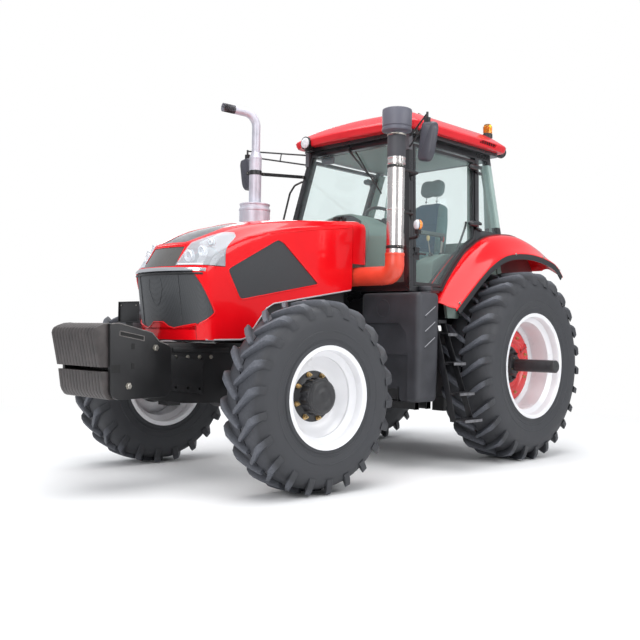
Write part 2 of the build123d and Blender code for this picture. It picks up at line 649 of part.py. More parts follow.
for side, place in (("left", lambda s: s), ("right", mirrored)):
    save(f"tyre_rear_{side}", place(rear_tyre))
    save(f"rim_rear_{side}", place(rear_rim))
    save(f"hub_rear_{side}", place(rear_hub + rear_centre))

# ---------------------------------------------------------------- hood
# sections along the hood: y, height on the centre line, height of the shoulder
HOOD_SECTIONS = [
    (NOSE_Y - 80, NOSE_BROW_Z + 72, NOSE_BROW_Z - 65), (NOSE_Y + 105, NOSE_BROW_Z + 189, NOSE_BROW_Z + 60),
    (NOSE_Y + 260, NOSE_BROW_Z + 270, NOSE_BROW_Z + 150),
    (NOSE_Y + 560, NOSE_BROW_Z + 395, NOSE_BROW_Z + 290),
    (NOSE_Y + 1060, NOSE_BROW_Z + 495, NOSE_BROW_Z + 415),
    (COWL_REAR_Y - 60, NOSE_BROW_Z + 573, NOSE_BROW_Z + 525),
]
# plan shape of the nose at several heights: z, front of the nose
NOSE_SECTIONS = [(900, NOSE_Y + 105), (NOSE_BROW_Z, NOSE_Y), (2300, NOSE_Y + 429)]


def hood_section(y, top, shoulder, inset):
    """Hood outline across the tractor at y, inset from the outer skin."""
    side = HOOD_X - inset
    low = 800
    half = [(side, low), (side, shoulder - 70), (HOOD_SHOULDER_X - inset, shoulder - inset),
            (HOOD_TOP_X, top - 22 - inset), (0, top - inset)]
    points = half + [(-x, z) for x, z in reversed(half[:-1])]
    return Plane.XZ.offset(-y) * make_face(Polyline(*points, close=True))


def nose_section(z, front, inset):
    """Plan outline of the hood at height z, inset from the outer skin."""
    side = HOOD_X - inset
    y = front + inset
    back = COWL_REAR_Y + 200
    arc = ThreePointArc((-side, y + NOSE_BULGE), (0, y), (side, y + NOSE_BULGE))
    rest_line = Polyline((side, y + NOSE_BULGE), (side, back), (-side, back), (-side, y + NOSE_BULGE))
    return Plane.XY.offset(z) * make_face([*arc.edges(), *rest_line.edges()])


def hood_body(inset):
    tunnel = loft([hood_section(y, top, shoulder, inset) for y, top, shoulder in HOOD_SECTIONS], ruled=True)
    nose = loft([nose_section(z, front, inset) for z, front in NOSE_SECTIONS], ruled=True)
    return tunnel & nose


hood_outer = hood_body(0)
hood_inner = hood_body(HOOD_T)
hood_skin = hood_outer - hood_inner

HOOD_ABOVE = NOSE_BROW_Z + 760     # over the hood's top
AHEAD_Y = NOSE_Y - 240
HOOD_SIDE = [(AHEAD_Y, HOOD_BOTTOM), (NOSE_Y + 537, HOOD_BOTTOM + 14), (NOSE_Y + 600, HOOD_BOTTOM + 42),
             (NOSE_Y + 780, HOOD_BOTTOM + 272), (NOSE_Y + 852, HOOD_BOTTOM + 311),
             (HOOD_REAR_Y, HOOD_BOTTOM + 464), (HOOD_REAR_Y, HOOD_ABOVE), (AHEAD_Y, HOOD_ABOVE)]
COWL_CORNER = NOSE_BROW_Z + 505    # where the cowl's rear edge rounds forward
COWL_SIDE = [(HOOD_REAR_Y + PLAY, COWL_BOTTOM), (COWL_REAR_Y, COWL_BOTTOM), (COWL_REAR_Y, COWL_CORNER),
             (COWL_REAR_Y - 30, HOOD_ABOVE), (HOOD_REAR_Y + PLAY, HOOD_ABOVE)]
GRILLE_LOW = NOSE_BROW_Z - 435
GRILLE_SIDE = [(NOSE_Y + 92, NOSE_BROW_Z), (NOSE_Y + 258, NOSE_BROW_Z - 323), (NOSE_Y + 120, GRILLE_LOW),
               (AHEAD_Y, GRILLE_LOW), (AHEAD_Y, NOSE_BROW_Z)]
MESH_SIDE = [(NOSE_Y + 366, NOSE_BROW_Z + 18), (NOSE_Y + 879, NOSE_BROW_Z + 292),
             (NOSE_Y + 945, NOSE_BROW_Z + 274), (NOSE_Y + 1359, NOSE_BROW_Z - 46),
             (NOSE_Y + 498, NOSE_BROW_Z - 212)]
# plan of the headlight: x, behind the front of the nose
LAMP_PLAN = [(215, -40), (235, 110), (300, 380), (372, 500), (395, 490), (470, 280), (470, 115), (405, -40)]
LAMP_BOTTOM = NOSE_BROW_Z + 25

hood_all = hood_skin & prism_x(HOOD_SIDE, -500, 500)
grille_zone = prism_x(GRILLE_SIDE, -500, 500)
mesh_zone = prism_x(MESH_SIDE, HOOD_X - 40, HOOD_X + 40)
lamp_zone = prism_z([(x, NOSE_Y + behind) for x, behind in LAMP_PLAN], LAMP_BOTTOM, HOOD_ABOVE)
nose_grille = hood_all & grille_zone
mesh = hood_all & mesh_zone
lamp = hood_all & lamp_zone
hood_shell = hood_all - grille_zone - mesh_zone - mirrored(mesh_zone) - lamp_zone - mirrored(lamp_zone)
# hinge barrels at the rear edge, turning on the cowl's pins
HINGE_X = 240
HINGE_LENGTH = 60
HINGE_RISE = 18.6          # hinge axis above the hood's top


def hood_top(y):
    """Height of the hood's top on the centre line."""
    for (y0, top0, _), (y1, top1, _) in zip(HOOD_SECTIONS, HOOD_SECTIONS[1:]):
        if y0 <= y <= y1:
            return top0 + (top1 - top0) * (y - y0) / (y1 - y0)
    return HOOD_SECTIONS[-1][1]


hinge_z = hood_top(HINGE_Y) + HINGE_RISE
barrel = disc_x(HINGE_X, HINGE_X + HINGE_LENGTH, HINGE_Y, hinge_z, HINGE_BARREL_R)
barrel += block(HINGE_X, HINGE_X + HINGE_LENGTH, HINGE_Y - 60, HINGE_Y, hinge_z - HINGE_BARREL_R - 25,
                hinge_z - 4)
barrel -= disc_x(HINGE_X - 5, HINGE_X + HINGE_LENGTH + 5, HINGE_Y, hinge_z, HINGE_PIN_R + GAP)
barrel -= block(HINGE_X - 5, HINGE_X + HINGE_LENGTH + 5, HINGE_Y - 1, HINGE_Y + 60,
                hinge_z - 80, hinge_z - HINGE_BARREL_R)
hood_shell += barrel + mirrored(barrel)
save("hood_shell", hood_shell)
save("nose_grille", nose_grille)
save("hood_mesh", both(mesh))
save("headlights", both(lamp))

cowl = hood_skin & prism_x(COWL_SIDE, -500, 500)
cowl_back = hood_outer & prism_x([(COWL_REAR_Y - 40, COWL_BOTTOM), (COWL_REAR_Y, COWL_BOTTOM),
                                  (COWL_REAR_Y, COWL_CORNER), (COWL_REAR_Y - 30, HOOD_ABOVE),
                                  (COWL_REAR_Y - 40, HOOD_ABOVE)], -500, 500)
cowl += cowl_back
# bulkhead that stands on the engine and carries the hood's hinges
BULKHEAD_Y = -1740
BULKHEAD_T = 15
cowl += hood_inner & block(-HOOD_X, HOOD_X, BULKHEAD_Y, BULKHEAD_Y + BULKHEAD_T, ENGINE_TOP, HOOD_ABOVE)
pocket = disc_x(HINGE_X - PLAY, HINGE_X + HINGE_LENGTH + PLAY, HINGE_Y, hinge_z, HINGE_BARREL_R + PLAY)
cowl -= pocket + mirrored(pocket)
hinge_pin = disc_x(HINGE_X - 26, HINGE_X + HINGE_LENGTH + 26, HINGE_Y, hinge_z, HINGE_PIN_R)
for x in (HINGE_X - 26, HINGE_X + HINGE_LENGTH + PLAY):
    ear = disc_x(x, x + 20, HINGE_Y, hinge_z, HINGE_BARREL_R - 3)
    ear += block(x, x + 20, HINGE_Y + 4, HINGE_Y + 45, hinge_z - 40, hinge_z - 2)
    hinge_pin += ear
cowl += hinge_pin + mirrored(hinge_pin)
save("cowl", cowl)

# ---------------------------------------------------------------- cab
# top of the fender along the cab, and along the fender's outer edge: (y, z) pairs
SEAL_LINE = [(-1150, 1450), (-965, 1660), (-790, 1820), (-578, 1986), (-280, 2145), (55, 2205),
             (330, 2190), (640, 2080), (830, 1900)]
LIP_LINE = [(-1070, 1430), (-919, 1556), (-701, 1732), (-507, 1866), (-270, 1971), (22, 2015),
            (330, 2010), (657, 1950), (815, 1840)]
SEAL_W = 25                # lip of the cab frame along the fender
RAIL_H = 28                # bottom rail over the sill
WINDSCREEN_LOW = 1645
REAR_WALL_Z = 1700


def between(z, low, high):
    """Value at height z on a straight line from the sill to the cab's top."""
    return low + (high - low) * (z - CAB_LOW_Z) / (CAB_TOP_Z - CAB_LOW_Z)


def cab_x(z):
    return between(z, CAB_LOW_X, CAB_HIGH_X)


def cab_front(z):
    return between(z, CAB_FRONT_LOW_Y, CAB_FRONT_HIGH_Y)


def cab_rear(z):
    return between(z, CAB_REAR_LOW_Y, CAB_REAR_HIGH_Y)


def post_y(z):
    return POST_Y_LOW + (POST_Y_HIGH - POST_Y_LOW) * (z - POST_LOW_Z) / (CAB_TOP_Z - POST_LOW_Z)


def cab_solid(inset, z0, z1):
    faces = []
    for z in (z0, z1):
        x = cab_x(z) - inset
        y0 = cab_front(z) + inset
        y1 = cab_rear(z) - inset
        faces.append(Plane.XY.offset(z) * make_face(Polyline((x, y0), (x, y1), (-x, y1), (-x, y0), close=True)))
    return loft(faces, ruled=True)


def cab_skin(outer, inner):
    """Layer of the cab's walls between two depths."""
    return cab_solid(outer, REAR_WALL_Z - 200, CAB_TOP_Z) - cab_solid(inner, REAR_WALL_Z - 300, CAB_TOP_Z + 100)


def shifted(points, distance):
    """Polyline moved sideways, up and to the front where the distance is positive."""
    found = []
    for i, (y, z) in enumerate(points):
        a = points[max(i - 1, 0)]
        b = points[min(i + 1, len(points) - 1)]
        n = math.hypot(b[0] - a[0], b[1] - a[1])
        found.append((y - (b[1] - a[1]) / n * distance, z + (b[0] - a[0]) / n * distance))
    return found


def height_at(points, y):
    """Height of a polyline at y."""
    for a, b in zip(points, points[1:]):
        if a[0] <= y <= b[0]:
            return a[1] + (b[1] - a[1]) * (y - a[0]) / (b[0] - a[0])
    return points[-1][1]


def reach_at(points, z):
    """First y where a rising polyline reaches height z."""
    for a, b in zip(points, points[1:]):
        if a[1] <= z <= b[1]:
            return a[0] + (b[0] - a[0]) * (z - a[1]) / (b[1] - a[1])
    return points[0][0]


def door_outline(margin):
    """Doorway in (y, z), drawn in by a margin all round."""
    low = CAB_LOW_Z + RAIL_H + margin
    top = CAB_TOP_Z - HEADER - margin - (DOOR_TOP_PLAY - PLAY if margin else 0)
    line = shifted(SEAL_LINE, SEAL_W + margin)
    foot = reach_at(line, low)
    z = POST_LOW_Z
    for _ in range(12):
        z = height_at(line, post_y(z) - POST_W / 2 - margin)
    y_post = post_y(z) - POST_W / 2 - margin
    curve = [p for p in line if foot + 5 < p[0] < y_post - 5]
    return [
        (cab_front(low) + PILLAR_W + margin, low), (foot, low), *curve, (y_post, z),
        (post_y(top) - POST_W / 2 - margin, top), (cab_front(top) + PILLAR_W + margin, top),
    ]


def quarter_outline(margin):
    """Opening of the fixed side window behind the door post."""
    top = CAB_TOP_Z - HEADER - margin
    low = height_at(SEAL_LINE, 0) + SEAL_W + margin
    return [
        (post_y(low) + POST_W / 2 + margin, low), (cab_rear(low) - PILLAR_W - margin, low),
        (cab_rear(top) - PILLAR_W - margin, top), (post_y(top) + POST_W / 2 + margin, top),
    ]


def screen_outline(low, margin):
    """Opening of the windscreen or rear window in (x, z)."""
    top = CAB_TOP_Z - HEADER - margin
    x_low = min(cab_x(low), CAB_BASE_X if low > WINDSCREEN_LOW else CAB_LOW_X) - PILLAR_W - margin
    x_top = cab_x(top) - PILLAR_W - margin
    return [(x_low, low), (x_top, top), (-x_top, top), (-x_low, low)]


REAR_WINDOW_LOW = REAR_WALL_Z + 60
cab_outer = cab_solid(0, REAR_WALL_Z - 200, CAB_TOP_Z)
cab_side = [(CAB_FRONT_LOW_Y - 50, CAB_LOW_Z), (reach_at(SEAL_LINE, CAB_LOW_Z), CAB_LOW_Z),
            *[p for p in SEAL_LINE if p[1] > CAB_LOW_Z and p[0] < 400], (330, CAB_TOP_Z),
            (CAB_FRONT_LOW_Y - 50, CAB_TOP_Z)]
skin = cab_skin(0, CAB_SKIN)
frame_zone = prism_x(cab_side, -1000, 1000)
frame_zone += block(-CAB_BASE_X, CAB_BASE_X, -50, 300, REAR_WALL_Z, CAB_TOP_Z)
cab_frame = skin & frame_zone
doorway = prism_x(door_outline(0), 400, 1000)
quarter = prism_x(quarter_outline(0), 400, 1000)
cab_frame -= doorway + mirrored(doorway)
cab_frame -= quarter + mirrored(quarter)
cab_frame -= prism_y(screen_outline(WINDSCREEN_LOW, 0), -1700, -1150)
cab_frame -= prism_y(screen_outline(REAR_WINDOW_LOW, 0), -50, 300)

glass_skin = cab_skin(GLASS_DEPTH, GLASS_DEPTH + GLASS_T)
windscreen = glass_skin & prism_y(screen_outline(WINDSCREEN_LOW, 0), -1700, -1150)
rear_window = glass_skin & prism_y(screen_outline(REAR_WINDOW_LOW, 0), -50, 300)
quarter_pane = glass_skin & quarter
save("cab_glass", group(windscreen, rear_window, quarter_pane, mirrored(quarter_pane)))

# doors, each on two hinges along the door post
door_panel = cab_skin(0, DOOR_SKIN) & prism_x(door_outline(PLAY), 400, 1000)
window = prism_x(door_outline(PLAY + DOOR_FRAME_W), 400, 1000)
door_glass = glass_skin & window
door_frame = door_panel - window

HINGE_OUT = 22             # hinge pin outside the cab's side
DOOR_PIN_R = 7
DOOR_KNUCKLE_R = 15
LEAF_L = 85
door_axis_y = -POST_W / 2 - PLAY / 2


def hinge_point(z):
    return Vector(cab_x(z) + HINGE_OUT, post_y(z) + door_axis_y, z)


hinge_dir = (hinge_point(CAB_TOP_Z) - hinge_point(POST_LOW_Z)).normalized()
HINGE_HEIGHTS = (POST_LOW_Z + 70, CAB_TOP_Z - 160)
for z in HINGE_HEIGHTS:
    local = Plane(origin=hinge_point(z), x_dir=(1, 0, 0), z_dir=hinge_dir)
    eye = Cylinder(DOOR_KNUCKLE_R, 40) + Pos(-13, -LEAF_L / 2 - 4, 0) * Box(25, LEAF_L, 40)
    eye -= Cylinder(DOOR_PIN_R + GAP, 60)
    door_frame += local * eye
    pin = Cylinder(DOOR_PIN_R, 90)
    for end in (-1, 1):
        pin += Pos(0, 0, end * 33) * Cylinder(DOOR_KNUCKLE_R, 24)
        pin += Pos(-11, LEAF_L / 2 + 4, end * 33) * Box(21, LEAF_L, 24)
    pin -= Pos(-HINGE_OUT - 30, LEAF_L / 2, 0) * Box(60, 2 * LEAF_L, 120)
    cab_frame += local * pin
    cab_frame += mirrored(local * pin)
save("cab_frame", cab_frame)
for side, place in (("left", lambda s: s), ("right", mirrored)):
    save(f"door_{side}", place(door_frame))
    save(f"door_glass_{side}", place(door_glass))

# lower cab: floor, footwell between the tanks, side and rear walls
base = block(-CAB_BASE_X, CAB_BASE_X, TANK_REAR_Y + 10, CAB_REAR_LOW_Y, FLOOR_Z - FLOOR_T, FLOOR_Z)
base += block(-FOOTWELL_X - 10, FOOTWELL_X + 10, -1480, TANK_REAR_Y + 12, FLOOR_Z - FLOOR_T, CAB_LOW_Z - 20)
base -= block(-FOOTWELL_X + 20, FOOTWELL_X - 20, -1450, TANK_REAR_Y + 60, FLOOR_Z, CAB_LOW_Z)
wall_side = [(TANK_REAR_Y + 10, FLOOR_Z - FLOOR_T), (TANK_REAR_Y + 10, CAB_LOW_Z),
             (reach_at(SEAL_LINE, CAB_LOW_Z), CAB_LOW_Z),
             *[p for p in SEAL_LINE if p[1] > CAB_LOW_Z and p[0] < 60],
             (60, REAR_WALL_Z), (CAB_REAR_LOW_Y, REAR_WALL_Z), (CAB_REAR_LOW_Y, FLOOR_Z - FLOOR_T)]
wall = prism_x(wall_side, CAB_BASE_X - CAB_WALL, CAB_BASE_X)
wall -= cab_solid(-1, REAR_WALL_Z - 300, CAB_TOP_Z) - cab_solid(CAB_SKIN, REAR_WALL_Z - 350, CAB_TOP_Z + 50)
base += wall + mirrored(wall)
base += block(-CAB_BASE_X, CAB_BASE_X, CAB_REAR_LOW_Y - 60, CAB_REAR_LOW_Y, FLOOR_Z, REAR_WALL_Z)
front_wall = block(FOOTWELL_X - 20, CAB_BASE_X, TANK_REAR_Y + 10, TANK_REAR_Y + 50, FLOOR_Z, CAB_LOW_Z - 20)
base += front_wall + mirrored(front_wall)
sill_x = cab_x(CAB_LOW_Z)
sill = block(FOOTWELL_X - 20, sill_x, CAB_FRONT_LOW_Y, -1080, CAB_LOW_Z - 20, CAB_LOW_Z)
base += sill + mirrored(sill)
base += block(-FOOTWELL_X, FOOTWELL_X, CAB_FRONT_LOW_Y, -1450, CAB_LOW_Z - 20, CAB_LOW_Z)
MOUNTS = [(180, -1000, GEARBOX_TOP), (260, -150, REAR_CASE_TOP)]
for x, y, z in MOUNTS:
    for side in (-1, 1):
        base += rod((side * x, y, z), (side * x, y, FLOOR_Z - FLOOR_T + 5), 38)
save("cab_base", base)

# ---------------------------------------------------------------- roof
def roof_plan(z, inset, side=ROOF_X):
    x = side - inset
    y0 = ROOF_FRONT_Y + inset
    y1 = ROOF_REAR_Y - inset
    arc = ThreePointArc((-x, y0), (0, y0 - ROOF_BOW), (x, y0))
    lines = Polyline((x, y0), (x, y1), (-x, y1), (-x, y0))
    return Plane.XY.offset(z) * make_face([*arc.edges(), *lines.edges()])


roof = loft([roof_plan(ROOF_BOTTOM, 12), roof_plan(ROOF_EDGE_Z, 0), roof_plan(ROOF_TOP, 175)], ruled=True)
LAMP_X = 640
LAMP_Z = ROOF_BOTTOM + 47
pocket_y = ROOF_FRONT_Y + 110
pocket = rod((LAMP_X, pocket_y, LAMP_Z), (LAMP_X, ROOF_FRONT_Y - 200, LAMP_Z), LAMP_R + 8)
trim = prism_z([(-700, -1300), (700, -1300), (700, 120), (-700, 120)], CAB_TOP_Z, ROOF_BOTTOM)
trim -= prism_z([(-560, -1190), (560, -1190), (560, -20), (-560, -20)], CAB_TOP_Z - 5, ROOF_BOTTOM + 5)
roof += trim
roof -= pocket + mirrored(pocket)
save("cab_roof", roof)

# ---------------------------------------------------------------- fenders
def fender_face(line, x):
    inner = shifted(line, -FENDER_T)
    return Plane.YZ.offset(x) * make_face(Polyline(*line, *reversed(inner), close=True))


fender = loft([fender_face(SEAL_LINE, FENDER_IN_X), fender_face(SEAL_LINE, FENDER_SEAL_X)], ruled=True)
fender += loft([fender_face(SEAL_LINE, FENDER_SEAL_X), fender_face(LIP_LINE, FENDER_OUT_X)], ruled=True)
skirt = prism_x([(CAB_REAR_LOW_Y, FLOOR_Z), (CAB_REAR_LOW_Y, 2195), (330, 2180), (630, 2070), (815, 1895),
                 (760, 1800), (480, 1700), (260, 1400), (220, FLOOR_Z)], CAB_BASE_X - 26, CAB_BASE_X + 4)
fender += skirt & block(0, CAB_BASE_X + 4, 0, 900, 0, 2300)
save("fenders", both(fender))

# ---------------------------------------------------------------- tanks and steps
tank = block(TANK_IN_X, TANK_OUT_X, TANK_FRONT_Y, TANK_REAR_Y, TANK_BOTTOM, TANK_TOP)
tank = fillet(tank.edges(), TANK_ROUND)
tank -= block(TANK_IN_X - 10, 760, TANK_FRONT_Y - 10, TANK_REAR_Y + 10, TANK_BOTTOM - 10, TANK_BOTTOM + 110)
# arms from the gearbox's side carry the tank
for y in (TANK_FRONT_Y + 40, TANK_REAR_Y - 90):
    tank += block(GEARBOX_X, TANK_OUT_X - 60, y, y + 50, TANK_BOTTOM - 60, TANK_BOTTOM)
save("fuel_tanks", both(tank))

# the ladder leans outwards and widens downwards: inner edge x and rear edge y at its ends
TREAD_HEIGHTS = (1204, 950, 690, 460)
LADDER_TOP = FLOOR_Z - 10
LADDER_LOW = TREAD_HEIGHTS[-1] - TREAD_T
STEP_FRONT_Y = TANK_REAR_Y + 12


LADDER_LOW_X = 1120        # inner edge and rear edge at the lowest tread, and their lean per mm of height
LADDER_LEAN_X = 0.2554
LADDER_LOW_Y = TANK_REAR_Y + 277
LADDER_LEAN_Y = 0.164


def ladder_x(z):
    return LADDER_LOW_X - LADDER_LEAN_X * (z - TREAD_HEIGHTS[-1])


def ladder_y(z):
    return LADDER_LOW_Y - LADDER_LEAN_Y * (z - TREAD_HEIGHTS[-1])


steps = block(CAB_BASE_X, ladder_x(LADDER_TOP) + TREAD_W / 2, STEP_FRONT_Y,
              ladder_y(LADDER_TOP) - STRINGER_T / 2, LADDER_TOP - 30, LADDER_TOP)
for top in TREAD_HEIGHTS:
    steps += block(ladder_x(top), ladder_x(top) + TREAD_W, STEP_FRONT_Y, ladder_y(top) - STRINGER_T / 2,
                   top - TREAD_T, top)
for front in (True, False):
    faces = []
    for z in (LADDER_LOW, LADDER_TOP):
        x0 = ladder_x(z) + TREAD_W / 2 - 30
        y0 = STEP_FRONT_Y - STRINGER_T / 2 if front else ladder_y(z) - STRINGER_T
        faces.append(Plane.XY.offset(z) * make_face(
            Polyline((x0, y0), (x0 + 60, y0), (x0 + 60, y0 + STRINGER_T), (x0, y0 + STRINGER_T), close=True)))
    steps += loft(faces, ruled=True)
save("boarding_steps", both(steps))

# ---------------------------------------------------------------- seat and controls
seat_base = block(-190, 190, SEAT_Y - 430, SEAT_Y - 40, FLOOR_Z, SEAT_Z - 60)
seat_base += block(-240, 240, SEAT_Y - CUSHION_L + 20, SEAT_Y + 60, SEAT_Z - 60, SEAT_Z - GAP)
for side in (-1, 1):
    x0 = side * (SEAT_W / 2 + 25)
    seat_base += block(x0 - 12, x0 + 12, SEAT_Y - 60, SEAT_Y - 10, SEAT_Z - 60, SEAT_Z + 290)
    seat_base += block(min(x0, side * 200), max(x0, side * 200), SEAT_Y - 60, SEAT_Y - 10, SEAT_Z - 60,
                       SEAT_Z - 30)
    seat_base += block(x0 - 30, x0 + 30, SEAT_Y - 400, SEAT_Y - 10, SEAT_Z + 285, SEAT_Z + 325)
save("seat_base", seat_base)
cushion = block(-SEAT_W / 2, SEAT_W / 2, SEAT_Y - CUSHION_L, SEAT_Y, SEAT_Z, SEAT_Z + CUSHION_T)
cushion = fillet(cushion.edges(), 30)
back = block(-SEAT_W / 2 + 10, SEAT_W / 2 - 10, 0, BACK_T, 0, BACK_H)
back = fillet(back.edges(), 35)
back += rod((-70, BACK_T / 2, BACK_H - 20), (-70, BACK_T / 2, BACK_H + 90), 6)
back += rod((70, BACK_T / 2, BACK_H - 20), (70, BACK_T / 2, BACK_H + 90), 6)
head = block(-135, 135, BACK_T / 2 - 50, BACK_T / 2 + 50, BACK_H + 55, BACK_H + 55 + HEADREST_H)
back += fillet(head.edges(), 40)
seat = cushion + Pos(0, SEAT_Y - 10, SEAT_Z + 22) * Rot(-BACK_LEAN, 0, 0) * back
save("seat", seat)

lean = math.radians(COLUMN_LEAN)
column_dir = Vector(0, math.sin(lean), math.cos(lean))
wheel_centre = Vector(0, WHEEL_Y, WHEEL_Z)
column_top = wheel_centre - column_dir * 45
behind_glass = GLASS_DEPTH + GLASS_T + PLAY
dash = prism_x([(DASH_FRONT_Y, FLOOR_Z), (DASH_FRONT_Y, WINDSCREEN_LOW),
                (cab_front(DASH_TOP) + behind_glass, DASH_TOP),
                (cab_front(DASH_TOP + 40) + behind_glass + 20, DASH_TOP + 40),
                (DASH_REAR_Y - 100, DASH_TOP), (DASH_REAR_Y, DASH_TOP - 130), (DASH_REAR_Y - 150, FLOOR_Z)],
               -DASH_X, DASH_X)
dash += rod(column_top - column_dir * 330, column_top, 34)
save("dash_console", dash)
local = Plane(origin=wheel_centre, z_dir=column_dir, x_dir=(1, 0, 0))
ring = Torus(WHEEL_RING_R, WHEEL_RING_T)
hub = Pos(0, 0, -45 + GAP) * Cylinder(38, 50 - GAP, align=(Align.CENTER, Align.CENTER, Align.MIN))
ring += hub
for angle in (90, 210, 330):
    ring += Rot(0, 0, angle) * Pos(WHEEL_RING_R / 2 + 10, 0, -6) * Box(WHEEL_RING_R - 30, 26, 10)
save("steering_wheel", local * ring)

# ---------------------------------------------------------------- exhaust and intake
PORT_Z = 1470
exhaust = rod((EXHAUST_X, EXHAUST_Y, DRUM_BOTTOM + 40), (EXHAUST_X, EXHAUST_Y, DRUM_TOP), DRUM_R)
exhaust += rod((EXHAUST_X, EXHAUST_Y, PORT_Z), (EXHAUST_X, EXHAUST_Y, DRUM_BOTTOM + 45), 45)
exhaust += Pos(EXHAUST_X, EXHAUST_Y, PORT_Z) * Sphere(45)
exhaust += disc_x(EXHAUST_X, -ENGINE_X, EXHAUST_Y, PORT_Z, 45)
exhaust += rod((EXHAUST_X, EXHAUST_Y, DRUM_TOP), (EXHAUST_X, EXHAUST_Y, STACK_TOP), STACK_R)
tip_path = FilletPolyline((EXHAUST_X, EXHAUST_Y, STACK_TOP), (EXHAUST_X, EXHAUST_Y, TIP_BEND_Z + TIP_BEND_R),
                          (EXHAUST_X - 90, EXHAUST_Y - TIP_REACH, TIP_BEND_Z + TIP_BEND_R + 20),
                          radius=TIP_BEND_R)
tip_face = Plane(origin=(EXHAUST_X, EXHAUST_Y, STACK_TOP), z_dir=(0, 0, 1)) * Circle(TIP_R)
exhaust += sweep(tip_face, path=tip_path)
CLAMP_Z = CAB_TOP_Z - 310
exhaust += rod((EXHAUST_X, EXHAUST_Y, CLAMP_Z - 22), (EXHAUST_X, EXHAUST_Y, CLAMP_Z + 22), STACK_R + 7)
pillar = (-cab_x(CLAMP_Z), cab_front(CLAMP_Z))
strap_face = Plane(origin=(EXHAUST_X, EXHAUST_Y + STACK_R, CLAMP_Z),
                   z_dir=(pillar[0] + 20 - EXHAUST_X, pillar[1] - EXHAUST_Y - STACK_R, 0),
                   x_dir=(0, 0, 1)) * Rectangle(36, 10)
strap = extrude(strap_face, amount=math.hypot(pillar[0] + 20 - EXHAUST_X, pillar[1] - EXHAUST_Y - STACK_R) + 60)
exhaust += strap
save("exhaust", exhaust - cab_outer)

elbow_path = FilletPolyline((ENGINE_X, INTAKE_Y, ELBOW_Z), (INTAKE_X, INTAKE_Y, ELBOW_Z),
                            (INTAKE_X, INTAKE_Y, INTAKE_START_Z), radius=ELBOW_BEND)
elbow = sweep(Plane(origin=(ENGINE_X, INTAKE_Y, ELBOW_Z), z_dir=(1, 0, 0)) * Circle(ELBOW_R), path=elbow_path)
save("intake_elbow", elbow)
intake = rod((INTAKE_X, INTAKE_Y, INTAKE_START_Z), (INTAKE_X, INTAKE_Y, INTAKE_TOP), INTAKE_R)
intake += rod((INTAKE_X, INTAKE_Y, INTAKE_TOP), (INTAKE_X, INTAKE_Y, INTAKE_TOP + 30), CAP_R - 30)
intake += rod((INTAKE_X, INTAKE_Y, INTAKE_TOP + 20), (INTAKE_X, INTAKE_Y, CAP_TOP), CAP_R)
for z in (MARKER_Z + 30, CAB_TOP_Z - 290):
    target = (cab_x(z) - 20, cab_front(z) + 10, z)
    intake += rod((INTAKE_X - 30, INTAKE_Y + 30, z), target, 11)
save("intake_pipe", intake - cab_outer)

# ---------------------------------------------------------------- mirrors and lamps
head = block(MIRROR_X - MIRROR_W / 2, MIRROR_X + MIRROR_W / 2, MIRROR_Y - MIRROR_T / 2,
             MIRROR_Y + MIRROR_T / 2, MIRROR_Z - MIRROR_H / 2, MIRROR_Z + MIRROR_H / 2)
mirror_arm = fillet(head.edges(), 25)
elbow_point = (MIRROR_X, MIRROR_Y, MIRROR_Z + MIRROR_H / 2 + 70)
mirror_arm += rod((MIRROR_X, MIRROR_Y, MIRROR_Z + MIRROR_H / 2 - 30), elbow_point, ROD_R + 3)
mirror_arm += Pos(*elbow_point) * Sphere(ROD_R + 3)
for z, end in ((CAB_TOP_Z - 130, elbow_point), (CAB_TOP_Z - 180, (MIRROR_X, MIRROR_Y, elbow_point[2] - 55))):
    mirror_arm += rod((cab_x(z) - 30, cab_front(z) + 30, z), end, ROD_R)
save("mirrors", both(mirror_arm - cab_outer))

work = rod((LAMP_X, pocket_y, LAMP_Z), (LAMP_X, pocket_y - 90, LAMP_Z), LAMP_R)
rear_pod = rod((LAMP_X, ROOF_REAR_Y, ROOF_EDGE_Z - 30), (LAMP_X, ROOF_REAR_Y + 85, ROOF_EDGE_Z - 30), 45)
work_rear = rear_pod - roof

marker = rod((MARKER_X, MARKER_Y - 35, MARKER_Z), (MARKER_X, MARKER_Y + 35, MARKER_Z), 47)
bracket = rod((MARKER_X, MARKER_Y, MARKER_Z - 20), (MARKER_X, MARKER_Y, MARKER_Z - 110), 14)
bracket += Pos(MARKER_X, MARKER_Y, MARKER_Z - 110) * Sphere(14)
bracket += rod((MARKER_X, MARKER_Y, MARKER_Z - 110),
               (cab_x(MARKER_Z - 110) - PILLAR_W / 2, cab_front(MARKER_Z - 110) + PILLAR_W / 2,
                MARKER_Z - 110), 14)
marker = (marker + bracket) - cab_outer
tail = block(500, 640, CAB_REAR_LOW_Y, CAB_REAR_LOW_Y + 45, REAR_WALL_Z - 140, REAR_WALL_Z - 40)
beacon = rod((BEACON_X, BEACON_Y, ROOF_EDGE_Z), (BEACON_X, BEACON_Y, ROOF_TOP + BEACON_H), BEACON_R) - roof
save("lamps", group(both(work), both(work_rear), both(marker), both(tail), beacon))
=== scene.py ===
"""A farm tractor with a closed cab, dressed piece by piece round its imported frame.

Metres, +Z up. The tractor faces -Y and its left side is +X. The rear axle's line is where the
packed joints put it, and lengths along the tractor are counted from there.
"""
import json
import math

import bmesh
import bpy
from mathutils import Matrix, Vector


